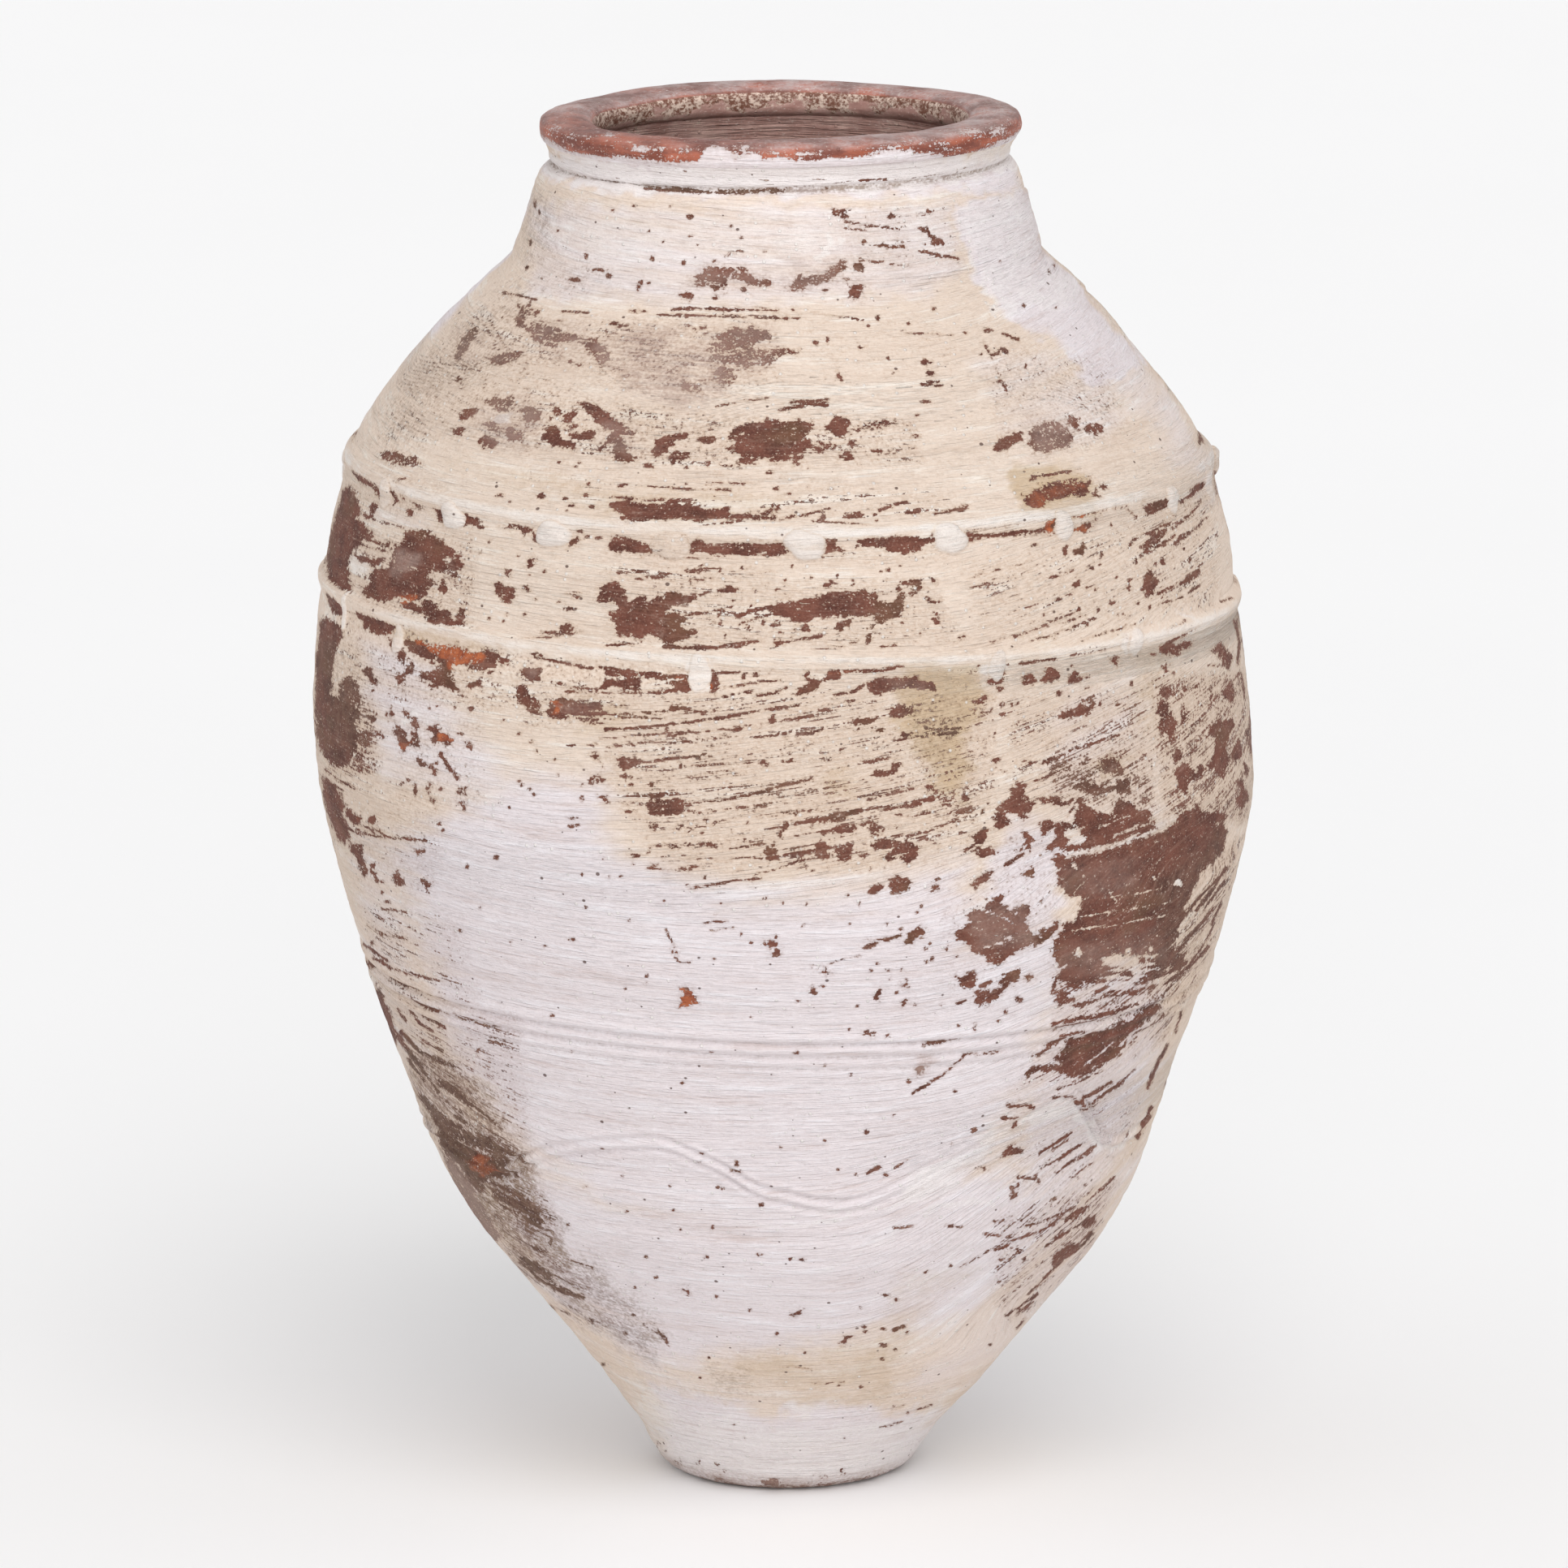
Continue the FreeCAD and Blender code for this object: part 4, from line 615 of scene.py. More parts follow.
# thin streaks of bare clay: line, half width in pixels, strength
LINES = [
    ("795,233 820,234 860,235 890,236 916,235", 3.0, 1.0), ("916,235 966,234", 1.8, .8), ("966,233 990,230 1044,227", 1.5, .7),
    ("1061,223 1080,222 1093,222", 2.8, 1.0), ("1104,221 1116,220", 1.4, .6), ("724,218 756,223", 1.6, .5), ("676,200 690,206 706,214 724,218", 1.7, .7), ("1120,220 1154,216 1190,208 1226,197", 1.5, .6), ("724,218 760,223 795,232", 1.5, .6),
    ("828,382 865,379 900,380 960,381", 1.4, .55), ("777,385 795,385", 1.6, .7), ("810,389 860,388 960,390 984,391", 1.3, .6), ("695,386 725,387", 1.4, .6), ("882,380 897,381", 2.2, .7),
    ("1085,302 1115,303", 1.8, .7), ("1135,309 1160,314 1182,318", 1.8, .6), ("1040,272 1080,278 1110,282", 1.2, .5), ("1042,280 1070,284", 1.4, .6), ("1237,410 1255,418", 1.8, .7),
    ("622,362 640,366 662,371", 1.5, .6), ("640,378 668,384", 1.2, .5), ("645,404 664,398", 1.6, .5), ("605,395 625,430", 1.0, .35), ("598,400 616,434", 1.0, .35), ("1060,320 1090,322", 1.2, .5),
    ("1098,325 1125,328", 1.2, .5), ("1000,384 1064,392", 1.0, .4), ("1110,408 1175,412", 1.0, .4), ("1135,473 1162,474", 1.4, .6),
    ("620,392 668,400 700,396", 1.0, .3), ("860,470 905,462", 1.0, .3), ("880,500 950,488", 1.0, .35), ("975,494 1020,492", 1.4, .6), ("960,505 990,498 1020,497", 1.6, .6),
    ("462,640 500,652", 1.2, .4), ("444,662 470,670 496,672", 1.6, .7), ("444,670 476,680", 1.5, .6), ("500,770 530,776 565,779", 1.4, .6), ("430,752 460,766", 1.2, .5),
    ("762,706 790,704", 1.6, .7), ("785,713 820,711", 1.6, .6), ("668,780 700,780 719,778", 1.6, .7), ("640,788 690,784", 1.1, .5), ("748,796 790,792", 1.3, .6), ("818,797 850,799 880,798 910,793 935,790", 2.0, .8),
    ("822,706 870,704", 1.1, .5), ("845,702 890,700", 1.1, .5), ("850,716 880,712", 1.0, .45), ("755,612 800,616 850,617", 1.6, .6), ("800,600 860,602 900,604", 1.2, .5), ("870,596 920,596", 1.3, .6),
    ("860,640 900,636", 1.2, .4), ("862,650 905,644", 1.2, .5), ("820,688 860,686 900,684 960,684", 1.4, .6), ("960,640 990,634 1022,626", 1.5, .65), ("1084,628 1118,617", 1.8, .7), ("1152,632 1192,624", 1.6, .7),
    ("1000,642 1040,645 1075,648", 1.3, .55), ("1190,654 1240,648 1292,640", 1.5, .6), ("1194,660 1215,660 1240,658 1270,655 1292,652", 2.6, .85), ("1186,668 1208,664", 1.8, .75), ("1190,652 1196,662", 1.8, .8),
    ("1250,664 1275,660 1300,658", 1.2, .5), ("1316,658 1330,650", 1.2, .5), ("1310,637 1332,636 1360,628", 2.2, .8), ("1368,627 1386,624", 1.8, .8), ("1386,628 1402,637", 1.2, .5), ("1396,664 1420,654 1442,645", 1.4, .6),
    ("1406,684 1430,672 1448,660", 1.6, .7), ("1445,650 1466,636 1480,618", 1.6, .7), ("1448,670 1475,650 1488,636", 1.4, .6), ("1442,605 1445,634", 1.3, .7), ("1455,620 1480,600", 1.8, .7), ("1270,590 1300,584 1320,580", 1.3, .6),
    ("1280,596 1330,590 1345,588", 1.2, .5), ("1428,732 1460,716 1478,702", 1.8, .8), ("1465,730 1479,722", 1.6, .7), ("1428,744 1458,735", 1.4, .6), ("1294,712 1324,702", 1.4, .65), ("1195,726 1225,716", 1.2, .5), ("1200,710 1260,694", 1.0, .4),
    ("1220,792 1270,777 1330,753", 1.2, .55), ("1270,790 1300,782 1350,762", 1.4, .6), ("1250,786 1300,770 1340,756", 1.2, .5), ("1300,740 1345,722", 1.0, .4), ("1330,790 1400,768", 1.0, .35), ("1240,756 1280,744", 1.0, .4),
    ("1256,817 1280,814 1300,812", 2.0, .8), ("1318,807 1350,802 1392,790", 2.4, .9), ("1200,821 1240,819", 1.0, .4), ("1384,786 1392,792", 2, .8), ("1435,792 1452,784 1472,773", 1.8, .8), ("1426,782 1458,765", 1.4, .6),
    ("1490,870 1510,850 1530,828", 1.8, .6), ("1500,884 1530,850", 1.4, .5), ("1523,765 1529,790 1527,820", 1.8, .6), ("1490,820 1508,820", 1.4, .5), ("1504,742 1514,738", 1.6, .7), ("1532,830 1536,860", 1.6, .6),
    ("1142,736 1148,742 1162,740", 1.4, .6), ("908,759 930,751 952,747", 1.8, .7), ("912,768 950,757", 1.3, .5), ("840,760 870,754 900,748", 1.3, .55), ("845,737 872,730", 1.2, .5), ("955,794 985,788 1012,784", 2.0, .85),
    ("960,780 1000,772", 1.2, .45), ("1085,797 1106,795", 1.5, .7), ("1000,800 1040,797", 1.0, .4), ("660,810 700,818 722,822", 1.6, .6), ("738,822 790,830 856,834", 1.8, .6), ("696,852 760,854 820,852 855,848", 1.4, .6),
    ("884,830 912,828", 1.4, .5), ("884,848 920,843 960,838", 1.6, .75), ("890,858 925,852", 1.2, .5), ("930,858 960,852 970,846", 1.4, .6), ("1040,828 1062,826 1090,826 1112,820", 1.8, .7), ("1028,856 1052,852 1064,845", 1.8, .75),
    ("700,880 760,880 800,878 850,872", 1.4, .6), ("745,898 800,896 850,890 900,882 950,874 985,868", 1.7, .8), ("740,910 800,906 850,900", 1.3, .6), ("748,920 800,914 823,912", 1.2, .5), ("744,886 790,884 820,886", 1.4, .5),
    ("823,892 870,887 900,884", 1.8, .7), ("823,905 870,900 905,897 950,889 1000,882", 1.5, .75), ("823,915 860,912 900,908", 1.2, .55), ("845,878 885,876", 1.4, .6), ("930,909 975,902", 1.4, .7), ("982,905 1000,902 1013,898", 1.9, .8),
    ("786,940 820,936 850,932 868,930", 1.5, .7), ("840,944 880,942 935,939", 1.2, .55), ("840,958 900,950", 1.0, .35), ("1098,914 1120,910 1150,905 1182,903", 1.8, .6), ("1140,900 1185,898", 1.8, .5), ("1060,940 1085,936 1105,934", 1.4, .5),
    ("1070,985 1100,977 1132,970", 1.8, .8), ("1090,998 1120,992 1156,982", 2.0, .85), ("1104,1004 1125,1006 1146,1000", 2.0, .85), ("1180,1002 1197,994", 1.8, .7), ("1100,1031 1140,1026 1178,1010", 1.4, .6), ("840,991 900,984 925,978 970,966 1002,960", 1.5, .75),
    ("860,990 905,982 950,972", 1.2, .5), ("820,1003 860,1000 905,996 950,990", 1.4, .65), ("880,1012 920,1006 960,1002 1000,999", 1.4, .6), ("830,1022 880,1016", 1.1, .5), ("966,1053 1002,1048", 1.8, .75), ("980,1014 1010,1010 1034,1004 1062,998", 2.0, .85),
    ("900,1044 940,1040", 1.2, .5), ("823,1046 860,1042", 1.1, .5), ("860,1058 900,1056 940,1058", 1.2, .5), ("823,1072 870,1068", 1.1, .45), ("930,1078 960,1070 990,1058", 1.4, .5), ("980,1030 1020,1022", 1.2, .5), ("1000,1036 1040,1030", 1.2, .5),
    ("850,1094 880,1090 905,1085 938,1082", 1.5, .8), ("868,1137 896,1134", 1.4, .85), ("875,1146 905,1142", 1.0, .45), ("1080,1158 1110,1151", 1.4, .6), ("796,1070 850,1072", 1.1, .45), ("800,1043 830,1041 850,1040", 1.2, .5), ("700,918 735,918", 1.1, .45),
    ("428,1020 446,1027 480,1032 524,1035", 1.5, .8), ("440,1022 474,1026", 1.2, .5), ("543,928 552,943 564,960", 2.2, .7), ("446,1018 470,1022", 1.2, .5), ("820,1145 828,1160 836,1176", 1.2, .5), ("826,1168 838,1186 852,1184", 1.2, .5),
    ("1296,938 1320,925 1350,915 1382,904", 1.6, .6), ("1245,970 1290,958 1310,948", 1.4, .55), ("1238,1067 1262,1052", 2.0, .8), ("1188,1049 1204,1038", 1.8, .8), ("1252,1058 1262,1040", 1.4, .5), ("1316,1005 1330,985", 1.5, .6), ("1262,938 1290,942", 1.4, .6),
    ("1300,952 1340,940", 1.2, .5), ("1210,940 1240,952", 1.0, .4), ("1475,1122 1500,1092 1512,1070", 2.6, .75), ("1450,1142 1480,1106 1502,1084", 2.2, .7), ("1454,1172 1480,1142 1498,1118", 2.4, .7), ("1440,1186 1470,1150", 1.8, .6),
    ("1468,1190 1490,1160 1500,1140", 1.8, .6), ("1496,1140 1508,1112", 2.0, .6), ("1486,1120 1512,1086", 1.6, .6), ("1350,1222 1390,1224 1426,1216", 2.2, .8), ("1362,1229 1420,1223", 1.8, .7), ("1410,1211 1440,1200 1464,1187", 3.0, .9),
    ("1438,1213 1470,1191 1492,1168", 2.2, .75), ("1300,1222 1320,1226", 2.2, .7), ("1296,1262 1320,1256 1345,1254 1370,1247 1402,1237", 2.4, .85), ("1350,1252 1376,1247 1392,1240", 2.4, .7), ("1302,1266 1330,1262 1352,1258", 1.6, .6),
    ("1306,1276 1336,1272", 1.8, .6), ("1280,1300 1296,1286 1312,1279", 2.4, .8), ("1302,1204 1296,1222", 2.0, .7), ("1320,1332 1360,1312 1400,1284", 1.5, .6), ("1302,1342 1330,1332 1356,1320", 1.5, .6), ("1340,1322 1380,1300 1402,1278", 1.6, .6),
    ("1400,1275 1425,1262 1436,1250", 1.8, .6), ("1326,1360 1350,1346 1370,1334", 2.4, .8), ("1336,1368 1360,1350 1385,1336", 1.8, .7), ("1346,1364 1400,1318", 1.3, .5), ("1298,1352 1320,1351 1336,1362", 1.5, .7), ("1240,1361 1272,1364", 1.8, .85),
    ("1240,1378 1252,1376", 1.3, .7), ("1246,1389 1252,1380", 1.5, .7), ("1280,1421 1300,1408 1320,1396", 1.9, .75), ("1296,1418 1316,1404", 2.0, .75), ("1304,1428 1330,1412", 1.6, .65), ("1310,1439 1352,1411", 1.8, .75), ("1300,1446 1346,1420", 1.3, .5),
    ("1320,1452 1350,1432", 1.5, .6), ("1282,1440 1300,1430", 1.2, .5), ("1340,1482 1376,1452", 1.6, .6), ("1256,1450 1274,1453", 1.6, .7), ("1417,1342 1430,1310 1441,1288", 2.4, .75), ("1404,1402 1415,1380 1421,1366", 2.8, .85), ("1450,1272 1460,1248", 2.0, .7),
    ("1068,1444 1076,1440 1082,1436", 2.0, .95), ("1102,1437 1120,1426", 1.2, .55), ("1124,1346 1160,1325 1189,1300", 1.3, .75), ("1138,1287 1150,1285 1162,1283", 1.8, .8), ("1162,1283 1182,1281", 1.2, .6), ("1186,1300 1240,1295", 1.0, .35), ("1180,1236 1189,1232", 1.8, .8),
    ("1020,1188 1040,1180 1060,1176", 1.0, .35), ("1208,1215 1219,1208", 2.2, .85), ("1290,1536 1305,1526 1330,1512 1352,1500", 2.0, .8), ("1226,1540 1243,1534", 1.8, .8), ("1240,1530 1280,1518 1300,1508", 1.4, .55), ("1210,1520 1245,1524", 1.4, .5),
    ("1262,1512 1300,1500 1330,1486", 1.4, .55), ("1300,1562 1330,1540 1345,1528", 1.8, .7), ("1268,1596 1292,1572 1310,1556", 1.8, .7), ("1240,1622 1262,1608 1280,1596", 1.6, .65), ("1254,1638 1264,1626", 1.8, .7), ("1100,1637 1114,1632", 1.6, .7),
    ("1130,1736 1148,1731", 1.8, .75), ("1084,1758 1112,1751", 1.4, .6), ("1098,1735 1112,1731", 1.4, .5), ("1000,1702 1040,1700", 1.0, .4), ("960,1680 1000,1684", 1.0, .35), ("1100,1511 1124,1509", 1.4, .5), ("1164,1508 1184,1511", 1.4, .55), ("1182,1560 1220,1540 1240,1530", 1.2, .4),
    ("448,1164 462,1174 476,1184", 1.8, .7), ("444,1176 452,1186 458,1192", 2.0, .8), ("476,1190 500,1200 540,1208", 1.4, .55), ("478,1204 498,1215 520,1222", 2.0, .75), ("507,1232 522,1241 538,1247", 2.2, .85), ("524,1226 546,1232", 1.8, .7), ("490,1244 500,1258", 1.8, .7),
    ("504,1247 518,1262 532,1271", 1.9, .75), ("518,1252 540,1263 548,1268", 2.0, .75), ("494,1271 516,1296 540,1308 546,1312", 2.4, .85), ("489,1275 504,1296 520,1316", 2.8, .85), ("504,1305 512,1318 522,1332", 2.8, .75), ("520,1318 540,1346", 2.0, .7),
    ("535,1300 560,1316", 1.4, .5), ("520,1282 545,1296", 1.6, .6), ("560,1375 580,1390 604,1404", 2.0, .7), ("590,1400 610,1412 632,1422", 2.6, .8), ("548,1355 570,1372", 1.4, .5), ("585,1365 610,1385", 1.3, .45), ("460,1180 480,1192", 1.6, .6),
    ("560,1248 580,1258", 1.6, .6), ("470,1120 500,1124", 1.2, .45), ("470,1150 502,1158", 1.3, .5), ("452,1140 470,1152", 1.3, .45), ("640,1556 664,1578 690,1592 718,1600", 2.4, .75), ("700,1552 724,1560", 1.2, .45), ("660,1546 690,1562", 1.2, .45),
    ("655,1600 700,1622", 1.2, .35), ("442,905 455,906", 1.5, .6), ("440,915 456,917", 1.4, .5), ("438,925 458,928", 1.4, .55), ("436,936 452,940", 1.4, .55), ("424,944 448,950", 1.4, .55), ("402,948 420,962 440,972", 1.6, .6), ("404,960 424,974", 1.5, .6),
    ("438,890 452,892", 1.3, .5), ("440,875 456,876", 1.3, .5), ("500,1140 512,1148", 1.2, .3),
]

# areas full of small losses or dry-brush gaps: outline, level, streakiness, softness
FIELDS = [
    ("672,188 800,202 960,205 1120,200 1262,176 1262,205 1180,226 960,240 760,236 672,212", .33, 1, 6),
    ("640,330 670,240 740,240 760,330 720,385 640,370", .17, .8, 30),
    ("480,470 560,380 640,350 700,400 720,500 640,560 520,560 440,560", .23, .7, 40),
    ("560,400 760,390 960,385 965,470 880,490 760,480 600,470", .26, .5, 24),
    ("960,380 1140,380 1200,420 1180,480 1000,480", .16, .9, 30),
    ("1020,250 1180,250 1190,330 1040,330", .23, .95, 16),
    ("840,320 1070,320 1070,370 850,370", .10, .4, 20),
    ("880,375 1000,370 1000,400 880,400", .19, .8, 16),
    ("580,485 760,490 900,512 1140,512 1140,575 880,580 640,570", .25, .45, 18),
    ("1200,410 1380,440 1400,560 1230,560", .20, .5, 24),
    ("640,560 960,580 1200,600 1150,645 820,650 640,620", .20, .95, 20),
    ("740,585 1100,590 1120,625 740,625", .12, 1, 14),
    ("1260,575 1340,572 1340,590 1262,592", .22, 1, 10),
    ("430,560 560,600 560,640 440,640", .22, .5, 20),
    ("430,650 590,660 590,780 440,760", .28, .5, 20),
    ("740,655 1160,655 1180,700 740,700", .20, .8, 12),
    ("740,690 960,690 960,800 740,800", .23, .8, 14),
    ("945,715 1150,710 1200,800 945,800", .23, .8, 14),
    ("1180,690 1500,620 1510,760 1200,800", .235, 1, 25),
    ("1380,640 1500,590 1515,760 1390,760", .25, .9, 20),
    ("400,740 640,790 660,880 420,880", .25, .5, 20),
    ("620,800 900,820 900,900 640,900", .24, .6, 20),
    ("860,815 1260,815 1240,870 880,880", .18, .8, 14),
    ("740,850 1060,845 1180,870 1180,960 1120,1000 1140,1060 1100,1075 960,1075 820,1060 760,1000 740,960", .27, 1, 20),
    ("960,960 1200,930 1210,1010 1140,1070 980,1080", .30, 1, 22),
    ("790,985 960,1010 960,1080 820,1080 790,1040", .25, 1, 18),
    ("770,1080 1060,1070 1060,1100 860,1140 800,1120", .12, 1, 20),
    ("1110,850 1230,850 1230,1000 1120,1000", .29, .6, 14),
    ("1230,850 1420,840 1440,1000 1240,990", .27, .9, 18),
    ("1280,930 1420,910 1430,1000 1300,1000", .38, .8, 16),
    ("1410,830 1545,820 1548,1020 1430,1010", .37, .75, 18),
    ("1150,1000 1310,1000 1310,1150 1160,1240 1150,1100", .18, .6, 22),
    ("1290,1185 1440,1185 1470,1200 1430,1260 1300,1270", .36, 1, 14),
    ("1450,1060 1545,1020 1500,1180 1440,1290 1400,1300 1440,1180", .33, 1, 16),
    ("1300,1250 1440,1200 1420,1290 1350,1345 1240,1345", .28, .9, 16),
    ("1240,1340 1420,1320 1400,1430 1330,1480 1240,1480", .22, 1, 20),
    ("1220,1490 1390,1450 1330,1580 1240,1640 1220,1600", .27, 1, 16),
    ("1290,1480 1385,1450 1350,1540 1290,1565", .34, 1, 10),
    ("1110,1480 1300,1480 1260,1560 1120,1560", .12, 1, 20),
    ("470,870 600,870 600,1010 500,1010", .16, .3, 22),
    ("395,840 470,850 470,960 400,960", .39, .8, 16),
    ("398,940 560,960 540,1110 430,1110", .20, .8, 18),
    ("430,1100 570,1130 600,1260 500,1300 470,1240", .24, 1, 22),
    ("490,1220 640,1250 660,1420 560,1420 500,1330", .29, 1, 20),
    ("500,1280 560,1290 640,1400 690,1500 700,1600 640,1580 560,1450", .32, 1, 14),
    ("630,1530 700,1540 760,1640 700,1640", .26, 1, 16),
    ("820,1640 1160,1620 1160,1740 860,1740", .12, 1, 25),
    ("1020,1700 1160,1700 1140,1760 1040,1760", .15, 1, 15),
    ("800,1760 1140,1760 1100,1832 850,1832", .10, .2, 15),
    ("700,1200 1000,1250 1250,1240 1250,1300 700,1300", .05, .8, 30),
]

# flecks and brush tails of wash left on the bare clay: line, half width
CUTS = [
    ("1452,1088 1454,1089", 3.6), ("1383,1013 1385,1014", 1.9), ("1501,1014 1502,1015", 2.2), ("1425,1038 1427,1037", 1.6),
    ("1335,1079 1336,1080", 1.9), ("1367,1100 1369,1100", 2.4), ("1386,1091 1387,1092", 1.9), ("1422,1082 1423,1083", 2.0),
    ("1328,1170 1329,1174", 3.4), ("1389,1171 1391,1171", 3.2), ("1418,1167 1419,1171", 2.2), ("1446,1030 1447,1031", 1.5),
    ("1360,1180 1384,1177 1408,1179 1432,1178", 1.5), ("1358,1189 1380,1187 1404,1190 1424,1188", 1.9),
    ("1364,1197 1390,1195 1410,1197 1430,1194", 1.7), ("1350,1206 1376,1204 1400,1206 1414,1203", 1.6),
    ("1344,1217 1366,1213 1392,1211", 1.7), ("1394,1178 1398,1190 1402,1204", 1.3), ("1412,1176 1414,1190 1412,1200", 1.2),
    ("1310,1240 1340,1231 1378,1216", 1.6), ("1316,1228 1330,1224 1346,1221", 1.5), ("1306,1252 1330,1246 1368,1232", 1.3),
    ("1318,1050 1350,1046 1384,1038", 1.5), ("1322,1066 1326,1070", 2.2), ("1300,1196 1312,1190", 1.5),
    ("1460,1120 1480,1098 1496,1076", 1.6), ("1452,1146 1474,1124", 1.4), ("1440,1170 1462,1150", 1.3),
    ("1330,1130 1380,1122 1440,1112", .9), ("1320,1146 1372,1140 1436,1128", .9), ("1336,1108 1384,1104 1430,1096", .8),
    ("1204,1118 1230,1128 1252,1140", .9), ("1196,1140 1222,1150 1248,1156", .8), ("1210,1166 1236,1160", .8),
    ("1350,1020 1372,1012 1392,1006", .9), ("1372,1030 1400,1020 1420,1014", .9),
    ("1390,1290 1372,1306 1352,1318", 1.0), ("1372,1286 1352,1302 1336,1312", 1.0), ("1398,1274 1380,1290", .9),
    ("776,446 800,440 830,446", .9), ("786,466 820,470 850,462", .9), ("812,452 840,456 872,448", .8),
    ("545,1344 552,1350 558,1360", 3.2), ("566,1384 584,1392 600,1400", 1.1), ("556,1402 580,1414 604,1424", 1.0),
    ("590,1458 612,1466 636,1478", 1.1), ("604,1478 626,1488 650,1500", 1.0), ("560,1432 572,1452 586,1470", 1.0),
]

